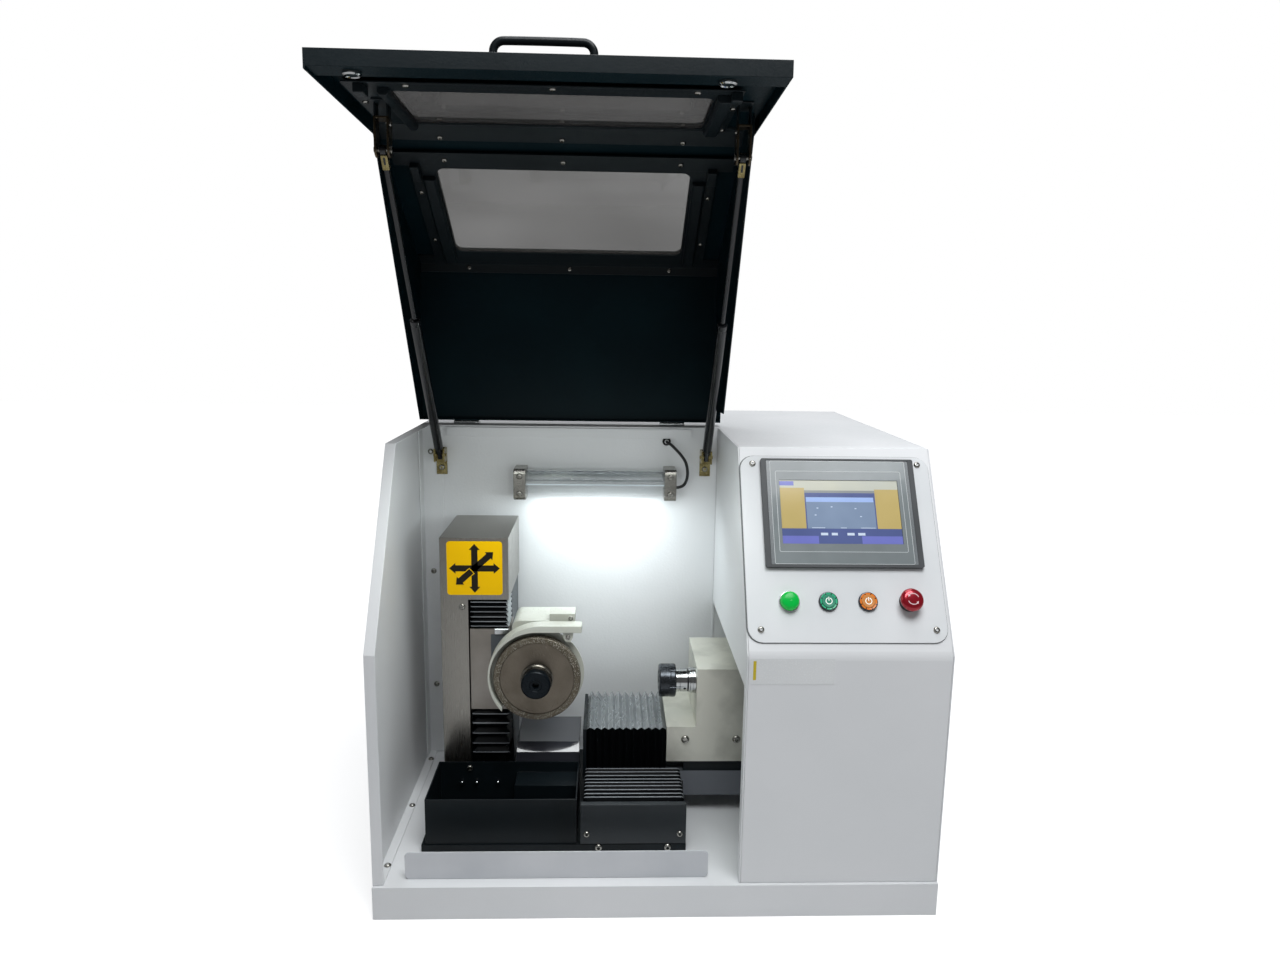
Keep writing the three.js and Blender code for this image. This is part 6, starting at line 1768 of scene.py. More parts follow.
@dataclass
class GasStruts:
    """The two gas struts with their brackets."""

    sides: Sequence[tuple[str, float, Body, Body]] = (
        ("left", 36.0, Body.LEFT_TUBE, Body.LEFT_ROD),
        ("right", 481.0, Body.RIGHT_TUBE, Body.RIGHT_ROD),
    )
    foot: Span = (368.0, 588.0)
    top_closed: Span = (43.0, 271.0)
    tube_share: float = 0.52
    clevis_start: float = 5.0
    bore: float = 100.0
    fasteners: Fasteners | None = None

    def build(self) -> None:
        """Models both struts."""
        for side, across, tube, rod in self.sides:
            frame, length = self.drawing(across)
            self.tube(side, tube, frame, length * self.tube_share)
            self.rod(side, rod, frame, length)
            self.brackets(side, across)

    def drawing(self, across: float) -> tuple[Matrix, float]:
        """The strut's own drawing frame, upright on its foot, and its length.

        Args:
            across: Its place across the cabinet.

        Returns:
            The frame's matrix and the length from pin to pin.
        """
        hinge_y, hinge_z = HOOD_HINGE[1:]
        y, z = self.top_closed[0] - hinge_y, self.top_closed[1] - hinge_z
        angle = -HOOD_OPEN
        c, s = math.cos(angle), math.sin(angle)
        top = (hinge_y + y * c - z * s, hinge_z + y * s + z * c)
        lean = math.atan2(self.foot[0] - top[0], top[1] - self.foot[1])
        length = math.hypot(top[0] - self.foot[0], top[1] - self.foot[1])
        return CABINET @ shifted(across, *self.foot) @ turned_by(lean, "X"), length

    def tube(self, side: str, body: Body, frame: Matrix, end: float) -> None:
        """The black cylinder, rolled in near its end, with a flattened eye at its foot.

        Args:
            side: Left or right.
            body: The body that it rides on.
            frame: The strut's drawing frame.
            end: Its length.
        """
        profile = [(0.0, 13.0), (4.6, 13.0), (5.6, 14.5), (6.3, 17.0), (7.5, 18.5), (7.5, end - 12.0),
                   (6.9, end - 11.0), (6.9, end - 9.5), (7.5, end - 8.5), (7.5, end - 1.6), (6.6, end - 0.3),
                   (4.2, end), (4.2, end - self.bore), (0.0, end - self.bore)]
        cylinder = lathe("strut_cylinder", profile, "Z", (0.0, 0.0), 36)
        eye = carved(block("strut_eye", (-4.0, 4.0), (-6.0, 6.0), (-6.0, 17.0), 2.2, 3),
                     lathe("pin_tool", [(0.0, -9.0), (3.4, -9.0), (3.4, 9.0), (0.0, 9.0)], "X", (0.0, 0.0), 24))
        settled(joined(f"{side}_strut_cylinder", [cylinder, eye]), frame, Finishes.TUBE, body,
                (f"strut_{side}_tube",))

    def rod(self, side: str, body: Body, frame: Matrix, end: float) -> None:
        """The black rod, its eye and the zinc tongue screwed to it.

        Args:
            side: Left or right.
            body: The body that it rides on.
            frame: The strut's drawing frame.
            end: The strut's length from pin to pin.
        """
        start = end * self.tube_share - 15.0
        shaft = lathe("strut_shaft", [(0.0, start), (3.5, start), (3.5, end - 18.0), (4.8, end - 17.5),
                                      (4.8, end - 8.0), (3.9, end - 6.0), (0.0, end - 6.0)], "Z", (0.0, 0.0),
                      28)
        eye = lathe("strut_rod_eye", [(3.4, -4.0), (5.4, -4.0), (6.0, -3.3), (6.0, 3.3), (5.4, 4.0), (3.4, 4.0),
                                      (3.4, -4.0)], "X", (0.0, end), 28)
        settled(joined(f"{side}_strut_shaft", [shaft, eye]), frame, Finishes.TUBE, body,
                (f"strut_{side}_rod",))
        tongue = block(f"{side}_strut_tongue", (-4.4, 4.4), (-4.6, 4.6), (end - 25.0, end - 5.0), 1.0)
        settled(tongue, frame, Finishes.ZINC, body)

    def brackets(self, side: str, across: float) -> None:
        """The zinc bracket on the wall, and the painted arms on the hood with their zinc clevis.

        Args:
            side: Left or right.
            across: The strut's place across the cabinet.
        """
        dressed(f"strut_{side}_wall_bracket", Finishes.ZINC, Body.CABINET, 0.5)
        face = 382.7 if side == "left" else 384.7
        self.fasteners.set_in(f"{side}_bracket_screw", CABINET, Body.CABINET, [(across, face, 565.0)])
        seat = -12.3 if side == "left" else -18.9
        y, z = self.top_closed
        foot = block("bracket_foot", around(across, 9.0), (seat, seat + 2.0), around(z, 21.0), 0.6)
        arms = [block("bracket_arm", sorted((across + sign * 6.9, across + sign * 8.7)),
                      (seat + 0.5, self.clevis_start + 5.0), around(z, 9.0), 0.4) for sign in (-1.0, 1.0)]
        settled(joined(f"{side}_bracket_arms", [foot, *arms]), HOOD, Finishes.HOOD, Body.HOOD,
                (f"strut_{side}_hood_bracket",))
        bow = [math.radians(-90.0 + 15.0 * i) for i in range(13)]
        round_end = [(y + 9.6 * math.cos(a), z + 9.6 * math.sin(a)) for a in bow]
        outline = [(self.clevis_start, z + 9.6), (self.clevis_start, z - 9.6), *round_end]
        cheeks = [prism("clevis_cheek", outline, "X", tuple(sorted((across + sign * 6.6, across + sign * 9.2))),
                        0.35) for sign in (-1.0, 1.0)]
        web = block("clevis_web", around(across, 9.2), (self.clevis_start, self.clevis_start + 2.6),
                    around(z, 9.6), 0.5)
        pin = lathe("clevis_pin", [(0.0, across - 11.4), (3.6, across - 11.2), (4.6, across - 10.2),
                                   (4.6, across - 9.2), (3.0, across - 9.2), (3.0, across + 9.2),
                                   (4.6, across + 9.2), (4.6, across + 10.2), (3.6, across + 11.2),
                                   (0.0, across + 11.4)], "X", (y, z), 24)
        rivets = [lathe("clevis_rivet", [(0.0, across + sign * 9.1), (2.9, across + sign * 9.1),
                                         (2.4, across + sign * 10.4), (0.0, across + sign * 10.9)], "X",
                        (self.clevis_start + 7.5, z), 18) for sign in (-1.0, 1.0)]
        # The clevis gets the darker copy of the yellow zinc: painted shade.
        settled(joined(f"{side}_bracket_clevis", [*cheeks, web]), HOOD, Finishes.SHADED_ZINC, Body.HOOD)
        settled(joined(f"{side}_bracket_pins", [pin, *rivets]), HOOD, Finishes.SCREW, Body.HOOD)


@dataclass
class WorkLight:
    """The lamp on the back wall: end caps, reflector, bar of diodes and clear tube."""

    span: Span = (160.0, 430.0)
    centre: Span = (363.7, 543.0)
    cap: float = 20.0
    radius: float = 20.5
    depth: float = 46.0
    height: float = 53.0
    reach: float = 21.6
    light: Point = (0.9, 0.985, 1.0)
    fasteners: Fasteners | None = None

    def build(self) -> None:
        """Models the lamp."""
        (left, right), (y, z) = self.span, self.centre
        caps = []
        for start in (left, right - self.cap):
            cap = block("light_cap", (start, start + self.cap), around(y, self.depth / 2),
                        around(z, self.height / 2), 0.0)
            with editing(cap, "EDGE"):
                choose_edges(cap, lambda e: all(v.co.y < y for v in e.verts)
                             and abs(e.verts[0].co.x - e.verts[1].co.x) > 5.0)
                bpy.ops.mesh.bevel(offset=8.0, segments=5, affect="EDGES")
            caps.append(rounded(cap, 1.0, 3, 40.0))
        settled(joined("light_caps", caps), CABINET, Finishes.GREY_METAL, Body.CABINET)
        self.reflector()
        self.diodes()
        tube = lathe("light_tube_clear", [(self.radius - 2.5, left + self.cap + 0.3),
                                          (self.radius, left + self.cap + 0.3),
                                          (self.radius, right - self.cap - 0.3),
                                          (self.radius - 2.5, right - self.cap - 0.3),
                                          (self.radius - 2.5, left + self.cap + 0.3)], "X", self.centre, 48)
        settled(tube, CABINET, Finishes.TUBE_GLASS, Body.CABINET, ("light_tube",))
        places = [(x, y - self.depth / 2, z + dz) for x in (left + self.cap / 2, right - self.cap / 2)
                  for dz in (-14.5, 14.5)]
        self.fasteners.set_in("light_cap_screws", CABINET, Body.CABINET, places, scale=1.05)
        self.glow()

    def reflector(self) -> None:
        """The curved sheet above and behind the diodes."""
        (left, right), (y, z) = self.span, self.centre
        start, end = left + self.cap - 1.0, right - self.cap + 1.0
        bow = [math.radians(-4.0 + 98.0 * i / 16) for i in range(17)]
        points = [(start, y + self.reach * math.cos(a), z + self.reach * math.sin(a)) for a in bow]
        sheet = chain("light_reflector", points)
        with editing(sheet, "EDGE"):
            everything()
            extruded((end - start, 0.0, 0.0))
        pick(sheet)
        wall = sheet.modifiers.new("Wall", "SOLIDIFY")
        wall.thickness = 1.2
        wall.offset = 0.0
        bpy.ops.object.modifier_apply(modifier=wall.name)
        softened(tidy(sheet), 40.0)
        settled(sheet, CABINET, Finishes.REFLECTOR, Body.CABINET)

    def diodes(self) -> None:
        """The carrier strip and the lit bar under it."""
        (left, right), (y, z) = self.span, self.centre
        span = (left + self.cap - 2.0, right - self.cap + 2.0)
        carrier = block("light_carrier", span, around(y, 6.0), (z - 1.0, z + 3.5), 0.6)
        rib = block("light_rib", span, around(y, 8.5), (z + 3.0, z + 4.4), 0.4)
        settled(joined("light_carrier", [carrier, rib]), CABINET, Finishes.REFLECTOR, Body.CABINET,
                ("light_housing",))
        bar = block("light_diodes", span, around(y, 5.0), (z - 3.5, z - 0.9), 0.5)
        settled(bar, CABINET, Finishes.LED, Body.CABINET)

    def glow(self) -> None:
        """The lamp's own light: a narrow bar close to the wall, and a broad one for what it spreads."""
        (left, right), (y, z) = self.span, self.centre
        middle = (left + right) / 2
        self.lamp("work_light_bar", (middle, y - 4.0, z - 27.0), 0.0, (0.22, 0.014), 0.12)
        self.lamp("work_light_spread", (middle, y - 78.0, z - 30.0), 16.0, (0.2, 0.05), 0.36)

    def lamp(self, name: str, place: Point, lean: float, size: Span, power: float) -> None:
        """A rectangular lamp that shines down.

        Args:
            name: Name of the lamp.
            place: Its place in the cabinet.
            lean: How far it leans towards the wall, in degrees.
            size: Its width and depth in metres.
            power: Its power in watts.
        """
        lamp = area_lamp(name, CABINET @ Vector(place), size, power, self.light)
        lamp.rotation_euler = (math.radians(lean), 0.0, 0.0)


def within(face: bpy.types.MeshPolygon, across: Span = (-FAR, FAR), depth: Span = (-FAR, FAR),
           up: Span = (-FAR, FAR)) -> bool:
    """Whether the middle of a placed piece's face lies in a box of the cabinet's drawing.

    Args:
        face: The face.
        across: The box along X.
        depth: The box along Y.
        up: The box along Z.

    Returns:
        Whether it does.
    """
    return all(low < place < high for place, (low, high) in zip(cabinet_mm(face.center), (across, depth, up)))


def over_three_sides(left: float, right: float, foot: float, top: float) -> list[Span]:
    """The path of a bellows' wall over three sides, with its two corners taken off.

    Args:
        left: The left side.
        right: The right side.
        foot: Where both sides end.
        top: The middle side, on either hand of the foot.

    Returns:
        The path's points.
    """
    way = math.copysign(1.0, top - foot)
    rise = [(0.0, foot), (0.0, top - way * 4.0), (1.2, top - way * 1.2), (4.0, top)]
    fall = reversed(rise)
    return [(left + inset, place) for inset, place in rise] + [(right - inset, place) for inset, place in fall]


@dataclass
class Bellows:
    """A pleated cover of one wall, open below or behind, between a body that stands and one that moves."""

    name: str
    node: str
    axis: str
    path: Sequence[Span]
    centre: Span
    keep: Span
    span: Span
    pleats: int
    bodies: tuple[Body, Body]
    cloth: Pleat
    slot: str
    wall: float = 0.9
    ridge: float = 0.35
    uneven: float = 0.12
    waver: float = 2.4
    crest: float = 0.0
    patches: Sequence[tuple[Pleat, FaceTest]] = ()

    def point(self, u: float, v: float, w: float) -> Point:
        """A point of the section at a place along the axis."""
        return along(self.axis, u, v, w)

    def section(self) -> list[Span]:
        """The closed outline of the wall: the path, and back again one wall further in.

        Returns:
            The points; the last is the first.
        """
        middle, foot = self.centre
        shift = [(u - math.copysign(self.wall, u - middle), v - (math.copysign(self.wall, v - foot) if v != foot
                else 0.0)) for u, v in self.path]
        return [*self.path, *reversed(shift), self.path[0]]

    def build(self) -> None:
        """Extrudes the section pleat by pleat, drawn in and let out by turns."""
        start, end = self.span
        steps = 2 * self.pleats
        piece = chain(self.name, [self.point(u, v, start) for u, v in self.section()])
        stay = {"X": 0, "Y": 1, "Z": 2}[self.axis]
        small = self.point(*self.keep, 1.0)
        large = tuple(1.0 if i == stay else 1.0 / share for i, share in enumerate(small))
        with editing(piece, "EDGE"):
            everything()
            bpy.ops.transform.resize(value=small, center_override=self.point(*self.centre, start))
            for i in range(steps):
                drift = self.uneven * math.sin(self.waver * i) * (end
                        - start) / steps if 0 < i < steps - 1 else 0.0
                undo = self.uneven * math.sin(self.waver * (i - 1)) * (end - start) / steps if 1 < i else 0.0
                step = (end - start) / steps + drift - undo
                crest = math.copysign(self.crest, end - start)
                extruded(self.point(0.0, 0.0, step - crest / 2))
                place = start + (end - start) * (i + 1) / steps
                bpy.ops.transform.resize(value=large if i % 2 == 0 else small,
                                         center_override=self.point(*self.centre, place))
                if crest and i % 2 == 0:
                    extruded(self.point(0.0, 0.0, crest))
        tidy(piece)
        for place in self.span:
            with editing(piece, "EDGE"):
                choose_edges(piece, lambda edge: all(abs(vertex.co[stay] - place) < 0.01
                                                     for vertex in edge.verts))
                bpy.ops.mesh.edge_face_add()
        self.finish(tidy(piece))

    def finish(self, piece: bpy.types.Object) -> None:
        """Gives the cloth soft folds, its finishes and its place.

        Args:
            piece: The piece as it was drawn.
        """
        rounded(piece, self.ridge, 3, 45.0)
        softened(piece, 36.0)
        painted(piece, self.cloth, *(finish for finish, _ in self.patches))
        for number, (_, test) in enumerate(self.patches, 1):
            faced(piece, number, test)
        placed(piece, CABINET)
        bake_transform(piece)
        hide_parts(self.node)
        log.info("%s: %d faces between %s and %s", piece.name, len(piece.data.polygons),
                 *(b.value for b in self.bodies))


@dataclass
class MachineBed:
    """Base, grit tray, way cover, saddle and the bellows of both ways."""

    y_way: tuple[float, float, float, float] = (284.0, 432.0, 59.6, 125.0)
    x_way: tuple[float, float, float, float] = (183.0, 322.0, 119.3, 191.0)
    saddle_cut: tuple[Span, Span, Span] = ((270.0, 286.4), (170.0, 330.0), (187.5, 200.0))
    cover_screws: Sequence[Point] = ((289.5, 78.0, 74.95), (425.5, 78.0, 74.95))
    base_screws: Sequence[Point] = ((307.0, 78.0, 53.8), (408.0, 78.0, 53.8))
    tray_screw: Point = (104.0, 192.0, 119.0)
    studs: Sequence[float] = (92.0, 115.0, 148.0)
    stud_height: float = 97.0
    fasteners: Fasteners | None = None

    def build(self) -> None:
        """Models the bed."""
        base = dressed("machine_base", Finishes.BLACK, Body.CABINET, 0.8)
        painted(base, Finishes.BLACK, Finishes.RISER, Finishes.STEEL)
        faced(base, 1, lambda face: within(face, (174.0, 277.0), (196.0, FAR), (60.0, FAR)))
        faced(base, 2, lambda face: within(face, across=(298.0, FAR), up=(86.5, FAR)))
        dressed("grit_tray", Finishes.BLACK, Body.CABINET, 0.7)
        dressed("way_cover", Finishes.COVER, Body.CABINET, 0.5)
        self.screws()
        self.y_bellows()
        saddle = dressed("saddle", Finishes.CAST, Body.SADDLE, 0.6)
        trimmed(saddle, *self.saddle_cut)
        painted(saddle, Finishes.CAST, Finishes.BLACK, Finishes.STEEL, Finishes.APRON)
        faced(saddle, 3, lambda face: within(face, across=(436.0, FAR), depth=(-FAR, 195.0)))
        # A black strip along the saddle's top front edge under the workhead: painted shade in the gap beneath
        # it.
        faced(saddle, 1, lambda face: within(face, (436.0, FAR), (-FAR, 200.0), (117.5, 135.0)))
        faced(saddle, 2, lambda face: within(face, across=(296.0, FAR), up=(157.0, FAR)))
        faced(saddle, 1, lambda face: within(face, across=(-FAR, 286.5)))
        self.x_bellows()

    def screws(self) -> None:
        """Screws of the way cover and the tray, and the tips of the tray's studs."""
        self.fasteners.set_in("way_cover_side_screws", CABINET, Body.CABINET, self.cover_screws, scale=0.95)
        self.fasteners.set_in("base_screws", CABINET, Body.CABINET, self.base_screws, scale=1.1)
        self.fasteners.set_in("tray_screw", CABINET, Body.CABINET, [self.tray_screw])
        tip = [(0.0, 185.4), (1.6, 185.4), (2.3, 186.2), (2.3, 192.0), (0.0, 192.0)]
        tips = [lathe("stud_tip", tip, "Y", (x, self.stud_height), 20) for x in self.studs]
        settled(joined("stud_tips", tips), CABINET, Finishes.STEEL, Body.CABINET)

    def y_bellows(self) -> None:
        """Black pleats between the way cover and the saddle."""
        left, right, foot, top = self.y_way
        path = over_three_sides(left, right, foot, top)
        middle = (left + right) / 2
        Bellows("y_way_bellows", "y_bellows", "Y", path, (middle, foot),
                (1 - 12.0 / (right - left), 1 - 6.0 / (top - foot)), (88.3, 182.7), 9,
                (Body.CABINET, Body.SADDLE), Finishes.BLACK_PLEAT, "black_fabric", wall=2.0, ridge=0.9,
                crest=2.6,
                # The crests of the pleats get the pale ridge finish: painted highlight.
                patches=[(Finishes.RIDGE_HIGHLIGHT_PLEAT, lambda face: face.normal.z > 0.8
                          and face.center.z > top - 1.0)]).build()

    def x_bellows(self) -> None:
        """Silver pleats with black sides, between the saddle's end plate and the workhead."""
        front, back, foot, top = self.x_way
        path = [(front, foot), (front, top), (back, top), (back, foot)]
        middle = (front + back) / 2
        Bellows("x_way_bellows", "x_bellows", "X", path, (middle, foot),
                (1 - 14.0 / (back - front), 1 - 7.0 / (top - foot)), (286.3, 410.7), 11,
                (Body.SADDLE, Body.WORKHEAD), Finishes.BLACK_PLEAT, "silver_fabric", wall=1.6, ridge=0.4,
                patches=[(Finishes.SILVER_PLEAT, lambda face: abs(face.normal.z) > 0.35),
                         (Finishes.SHADED_PLEAT, lambda face: abs(face.normal.z) > 0.35
                          and face.normal.x > 0.2)]).build()


@dataclass
class Workhead:
    """The workhead: cover, carriage, spindle nose and collet nut."""

    axis: Span = (209.0, 258.0)
    nut: Span = (398.0, 424.5)
    nose_end: float = 455.7
    seats: Sequence[Point] = ((440.0, 183.0, 171.0), (520.0, 183.0, 171.0))
    fasteners: Fasteners | None = None

    def build(self) -> None:
        """Models the workhead."""
        dressed("workhead_cover", Finishes.STAINED, Body.WORKHEAD, 0.6)
        dressed("workhead_carriage", Finishes.CAST, Body.WORKHEAD, 0.8)
        self.fasteners.set_in("workhead_screws", CABINET, Body.WORKHEAD, self.seats, scale=1.3)
        self.collet_nut()
        self.nose()
        self.collet()

    def about(self, place: float, angle: float) -> Matrix:
        """A place along the spindle's axis, turned about it by an angle in degrees."""
        return shifted(place, *self.axis) @ turned_by(math.radians(angle), "X")

    def collet_nut(self) -> None:
        """The black nut with a chamfered mouth and six spanner notches."""
        start, end = self.nut
        profile = [(13.5, start + 4.0), (15.8, start + 0.4), (17.0, start), (22.6, start), (24.3, start + 0.7),
                   (25.5, start + 2.4), (25.5, end - 9.0), (25.1, end - 8.4), (25.5, end - 7.8),
                   (25.5, end - 2.0), (24.5, end - 0.5), (23.5, end), (13.5, end), (13.5, start + 4.0)]
        nut = lathe("collet_nut", profile, "X", self.axis, 72)
        notch = [(0.0, end - 9.5), (3.6, end - 9.5), (3.6, end + 3.0), (0.0, end + 3.0)]
        turns = [self.about(0.0, 60.0 * i + 30.0) for i in range(6)]
        carved(nut, *(placed(lathe("notch_tool", notch, "X", (0.0, 26.0), 20), turn) for turn in turns))
        rounded(nut, 0.25, 2, 50.0)
        softened(nut, 34.0)
        settled(nut, CABINET, Finishes.OXIDE, Body.SPINDLE, ("work_spindle",))

    def nose(self) -> None:
        """The polished nose with its grooves and tommy holes, and the shaft with its pulley."""
        start, end = self.nut[1], self.nose_end
        profile = [(13.4, start), (17.2, start), (17.8, start + 0.6), (17.8, start + 5.5), (17.1, start + 5.9),
                   (17.1, start + 6.9), (17.8, start + 7.3), (17.8, end - 13.5), (16.6, end - 13.0),
                   (16.6, end - 11.6), (18.6, end - 11.2), (18.6, end - 9.0), (20.0, end - 8.4),
                   (20.0, end - 5.2), (19.2, end - 4.9), (19.2, end - 3.9), (20.0, end - 3.6), (20.0, end),
                   (13.0, end), (13.0, 572.0), (17.0, 572.0), (17.0, 590.0), (13.4, 590.0), (13.4, start)]
        nose = lathe("spindle_nose", profile, "X", self.axis, 64)
        hole = [(0.0, 10.0), (2.2, 10.0), (2.2, 24.0), (0.0, 24.0)]
        turns = [self.about(end - 17.5, 90.0 * i + 25.0) for i in range(4)]
        carved(nose, *(placed(lathe("hole_tool", hole, "Z", (0.0, 0.0), 16), turn) for turn in turns))
        softened(nose, 34.0)
        settled(nose, CABINET, Finishes.CHROME, Body.SPINDLE)
        seal = lathe("spindle_seal", [(16.7, end - 12.9), (17.5, end - 12.9), (17.5, end - 11.7),
                                      (16.7, end - 11.7), (16.7, end - 12.9)], "X", self.axis, 48)
        settled(seal, CABINET, Finishes.PLASTIC, Body.SPINDLE)

    def collet(self) -> None:
        """The slit collet inside the nut."""
        start = self.nut[0]
        profile = [(7.0, start + 40.0), (7.0, start + 1.2), (7.5, start + 0.6), (12.2, start + 0.6),
                   (13.3, start + 4.4), (13.3, start + 8.0), (13.3, start + 40.0), (7.0, start + 40.0)]
        collet = lathe("collet", profile, "X", self.axis, 56)
        slit = ((start - 2.0, start + 30.0), (-0.45, 0.45), (-16.0, 16.0))
        turns = [self.about(0.0, 45.0 * i + 10.0) for i in range(4)]
        carved(collet, *(placed(block("slit_tool", *slit, 0.0), turn) for turn in turns))
        softened(collet, 34.0)
        settled(collet, CABINET, Finishes.STEEL, Body.SPINDLE)


@dataclass
class Column:
    """The column with its stainless cover, direction sign and Z bellows."""

    sign: tuple[Span, Span] = ((73.0, 157.0), (397.0, 481.0))
    sign_face: float = 203.2
    screw: Point = (94.8, 205.0, 377.8)
    z_way: tuple[float, float, float, float] = (106.0, 166.0, 205.0, 250.0)
    arm: float = 38.3
    shaft: float = 4.8
    head: Span = (8.4, 9.5)
    near_angle: float = 222.0
    near_start: float = 6.4
    fasteners: Fasteners | None = None

    def build(self) -> None:
        """Models the column."""
        dressed("column_casting", Finishes.CAST, Body.CABINET, 0.8)
        dressed("column_cover", Finishes.STAINLESS, Body.CABINET, 0.5)
        self.fasteners.set_in("column_screw", CABINET, Body.CABINET, [self.screw])
        self.direction_sign()
        # The upper bellows' right side gets the pale cloth with painted light; the lower one's threshold is
        # never met.
        self.z_bellows("upper", (388.7, 342.3), 6, 4.2, 0.35)
        self.z_bellows("lower", (131.0, 210.7), 5, 6.5, 1.1)

    def direction_sign(self) -> None:
        """The yellow sign with its three double arrows."""
        across, up = self.sign
        sheet = plate("direction_sign", across, up, (self.sign_face, self.sign_face + 1.5), 5.0, 0.3)
        settled(sheet, CABINET, Finishes.SIGN, Body.CABINET, ("direction_plate",))
        centre = (sum(across) / 2, sum(up) / 2)
        flat = [self.arrow(f"sign_arrow_{name}", centre, angle, self.arm, self.shaft, 0.16, 0.0, ends)
                for name, angle, ends in (("across", 0.0, 2), ("up", 90.0, 2), ("far", 42.0, 1))]
        settled(joined("sign_arrows_flat", flat), CABINET, Finishes.SIGN_INK, Body.CABINET)
        layers = (("gap", 1.1, 0.22, Finishes.SIGN), ("near", 0.0, 0.3, Finishes.SIGN_INK))
        for name, grow, proud, finish in layers:
            start, turn = self.near_start - grow, math.radians(self.near_angle)
            foot = (centre[0] + start * math.cos(turn), centre[1] + start * math.sin(turn))
            arm = self.arm + grow - start
            near = self.arrow(f"sign_arrow_{name}", foot, self.near_angle, arm, self.shaft + grow, proud, grow,
                              1)
            settled(near, CABINET, finish, Body.CABINET)

    def arrow(self, name: str, centre: Span, angle: float, arm: float, shaft: float, proud: float, grow: float,
              ends: int) -> bpy.types.Object:
        """An arrow from the sign's middle, or a double one.

        Args:
            name: Name of the piece.
            centre: Its middle.
            angle: Its direction in degrees from X.
            arm: Half its length.
            shaft: Half the width of its shaft.
            proud: How far it stands out of the sign.
            grow: How much wider its heads are.
            ends: How many heads it has.

        Returns:
            The piece, not placed yet.
        """
        half, length = self.head[0] + grow, self.head[1] + grow
        neck = arm - length
        tail = [(0.0, shaft), (0.0, -shaft)]
        if ends == 2:
            tail = [(-neck, shaft), (-neck, half), (-arm, 0.0), (-neck, -half), (-neck, -shaft)]
        corners = [(arm, 0.0), (neck, half), (neck, shaft), *tail, (neck, -shaft), (neck, -half)]
        c, s = math.cos(math.radians(angle)), math.sin(math.radians(angle))
        outline = [(centre[0] + u * c - v * s, centre[1] + u * s + v * c) for u, v in corners]
        return prism(name, outline, "Y", (self.sign_face - proud, self.sign_face + 0.4), 0.0)

    def z_bellows(self, name: str, span: Span, pleats: int, fold: float, pale_from: float) -> None:
        """Black pleats above or below the carriage.

        Args:
            name: Upper or lower.
            span: From the end that stands to the end that moves.
            pleats: How many pleats.
            fold: How deep a pleat is.
            pale_from: Faces that turn to the right by more than this get the pale cloth, its own grey with
                painted light on it.
        """
        left, right, front, back = self.z_way
        path = over_three_sides(left, right, back, front)
        middle = (left + right) / 2
        Bellows(f"{name}_z_bellows", f"{name}_bellows", "Z", path, (middle, back),
                (1 - 2 * fold / (right - left), 1 - fold / (back - front)), span, pleats,
                (Body.CABINET, Body.GRINDING_HEAD), Finishes.BLACK_PLEAT, "black_fabric", wall=1.8, ridge=1.0,
                # Faces turning right get the pale cloth with painted light on it.
                crest=0.3 * fold, patches=[(Finishes.PALE_LIT_PLEAT, lambda face: face.normal.x > pale_from),
                                           # The front crests get the pale ridge finish: painted highlight.
                                           (Finishes.RIDGE_HIGHLIGHT_PLEAT, lambda face: face.normal.y < -0.75
                                            and face.normal.z > -0.1 and face.center.y < front + 1.2)]).build()


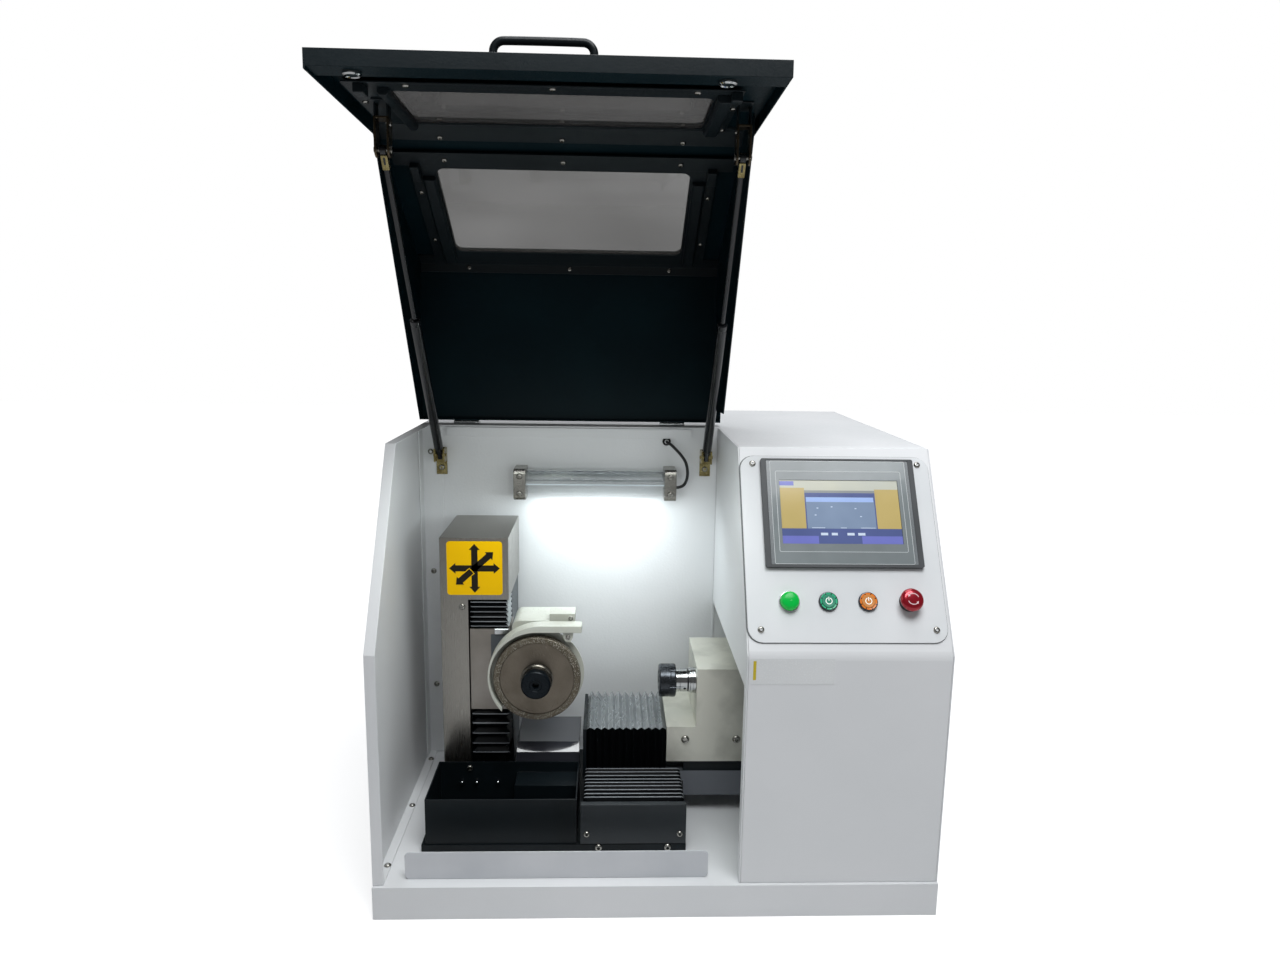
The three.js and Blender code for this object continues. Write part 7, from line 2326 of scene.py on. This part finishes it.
@dataclass
class GrindingHead:
    """The grinding head: carriage, spindle housing, guard and wheel."""

    centre: Span = (212.0, 280.0)
    guard_span: Span = (156.0, 180.0)
    inner: float = 70.5
    outer: float = 80.8
    offset: float = 7.3
    rise: float = 3.0
    bar_end: float = 279.0
    mouth: float = 222.0
    clamp: Point = (261.4, 190.0, 365.0)
    lug_screw: Point = (258.5, 160.0, 345.5)
    fasteners: Fasteners | None = None

    def build(self) -> None:
        """Models the grinding head."""
        dressed("z_carriage", Finishes.CARRIAGE, Body.GRINDING_HEAD, 0.7)
        dressed("spindle_housing", Finishes.CREAM, Body.GRINDING_HEAD, 1.0)
        self.carriage_fittings()
        self.guard()
        self.wheel()
        self.hub()
        self.fasteners.set_in("clamp_screw", CABINET, Body.GRINDING_HEAD, [self.clamp], scale=0.8)

    def carriage_fittings(self) -> None:
        """The sunk cover and the bright angle on the carriage's face."""
        cover = plate("carriage_cover", (138.0, 164.0), (296.0, 334.0), (204.2, 205.4), 1.5, 0.3)
        settled(cover, CABINET, Finishes.CAST, Body.GRINDING_HEAD)
        angle = prism("carriage_angle", [(202.2, 334.5), (205.2, 334.5), (205.2, 342.2), (216.0, 342.2),
                                         (216.0, 343.6), (203.7, 343.6), (202.2, 342.2)], "X", (144.0, 165.0),
                      0.3)
        settled(angle, CABINET, Finishes.STEEL, Body.GRINDING_HEAD)

    def arc(self, across: float, radius: float, start: float, end: float, steps: int = 56) -> list[Span]:
        """Points of an arc of the guard.

        Args:
            across: The arc's middle, across the cabinet.
            radius: Its radius.
            start: The angle in degrees where it starts.
            end: The angle in degrees where it ends.
            steps: Steps from one to the other.

        Returns:
            The points.
        """
        up = self.centre[1] + self.rise
        angles = [math.radians(start + (end - start) * i / steps) for i in range(steps + 1)]
        return [(across + radius * math.cos(a), up + radius * math.sin(a)) for a in angles]

    def guard(self) -> None:
        """The band that thickens into the top bar, its back plate, boss and lug."""
        x, z = self.centre
        front, back = self.guard_span
        up = z + self.rise
        outline = [(self.bar_end, up + self.outer), *self.arc(x + self.offset, self.outer, 90.0, self.mouth),
                   *self.arc(x, self.inner, self.mouth, 90.0), (self.bar_end, up + self.inner)]
        band = prism("guard_band", outline, "Y", (front, back), 0.0)
        recess = block("recess_tool", (self.bar_end - 9.0, self.bar_end + 4.0), (front + 6.0, back - 6.0),
                       (up + self.inner + 3.2, up + self.outer - 2.6), 0.8)
        carved(band, recess)
        rounded(band, 1.3, 3, 40.0, True)
        softened(band, 30.0)
        painted(band, Finishes.CREAM, Finishes.BLACK)
        # The faces inside the slot at the bar's end are painted black: painted shade in the slot.
        faced(band, 1, lambda face: (face.center.x > self.bar_end - 9.3 and front + 5.8 < face.center.y < back
                                     - 5.8 and up + self.inner + 3.0 < face.center.z < up + self.outer - 2.4))
        settled(band, CABINET, None, Body.GRINDING_HEAD, ("wheel_guard",))
        disc = lathe("guard_back_plate", [(13.5, back - 3.0), (self.inner - 0.2, back - 3.0),
                                          (self.inner - 0.2, back - 0.2), (26.0, back), (26.0, 189.7),
                                          (13.5, 189.7), (13.5, back - 3.0)], "Y", (x, up), 72)
        settled(disc, CABINET, Finishes.CREAM, Body.GRINDING_HEAD)
        lug = prism("guard_lug", [(251.0, up + self.inner + 0.5), (251.0, 345.0), (255.0, 338.0),
                                  (262.0, 338.0), (266.0, 345.0), (266.0, up + self.inner + 0.5)], "Y",
                    (160.0, 170.0), 0.8)
        settled(lug, CABINET, Finishes.CREAM, Body.GRINDING_HEAD)
        self.fasteners.set_in("guard_lug_screw", CABINET, Body.GRINDING_HEAD, [self.lug_screw], scale=0.75)

    def wheel(self) -> None:
        """The wheel: a dished metal body and a proud rim of abrasive."""
        profile = [(0.0, 160.4), (24.0, 160.4), (27.0, 160.0), (44.0, 161.4), (55.2, 160.6), (56.0, 160.0),
                   (56.2, 158.7), (57.0, 158.4), (64.2, 158.4), (65.2, 159.2), (65.5, 160.5), (65.5, 170.6),
                   (64.6, 172.0), (40.0, 172.0), (20.0, 172.4), (20.0, 174.5), (11.0, 174.5), (11.0, 245.0),
                   (0.0, 245.0)]
        wheel = lathe("grinding_wheel_body", profile, "Y", self.centre, 128, FACET_LIMIT)
        painted(wheel, Finishes.WHEEL, Finishes.ABRASIVE, Finishes.STEEL)

        def radius(face: bpy.types.MeshPolygon) -> float:
            """How far a face's middle is from the axis."""
            return math.hypot(face.center.x - self.centre[0], face.center.z - self.centre[1])

        faced(wheel, 1, lambda face: radius(face) > 56.1 and face.center.y < 171.8)
        faced(wheel, 2, lambda face: radius(face) < 19.9 and face.center.y > 173.0)
        settled(wheel, CABINET, None, Body.WHEEL, ("grinding_wheel",))

    def hub(self) -> None:
        """The steel sleeve, and the black flange nut with its socket."""
        x, z = self.centre
        sleeve = lathe("hub_sleeve", [(0.0, 160.6), (24.5, 160.6), (24.5, 158.6), (22.4, 157.6), (21.2, 156.0),
                                      (21.2, 146.0), (0.0, 146.0)], "Y", self.centre, 64)
        settled(sleeve, CABINET, Finishes.SLEEVE, Body.WHEEL)
        nut = lathe("hub_nut", [(0.0, 146.2), (21.6, 146.2), (22.0, 145.4), (22.0, 135.8), (21.2, 134.2),
                                (19.4, 133.0), (9.5, 133.0), (8.6, 134.2), (0.0, 134.2)], "Y", self.centre, 64)
        corners = [math.radians(60 * i + 10) for i in range(6)]
        carved(nut, prism("socket_tool", [(x + 5.6 * math.cos(a), z + 5.6 * math.sin(a)) for a in corners], "Y",
                          (130.0, 142.0), 0.0))
        softened(nut, 30.0)
        settled(nut, CABINET, Finishes.HUB, Body.WHEEL)


def main() -> None:
    """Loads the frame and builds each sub-assembly in order."""
    logging.basicConfig(level=logging.INFO, format="%(name)s %(message)s")
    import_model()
    Studio().build()
    LightCable().build()
    fasteners = Fasteners()
    for part in (
        Enclosure(fasteners=fasteners),
        ControlPanel(fasteners=fasteners),
        Hood(fasteners=fasteners),
        GasStruts(fasteners=fasteners),
        WorkLight(fasteners=fasteners),
        MachineBed(fasteners=fasteners),
        Workhead(fasteners=fasteners),
        Column(fasteners=fasteners),
        GrindingHead(fasteners=fasteners),
    ):
        part.build()
        log.info("%s is done", type(part).__name__)
    fasteners.put_away()


if __name__ == "__main__":
    main()
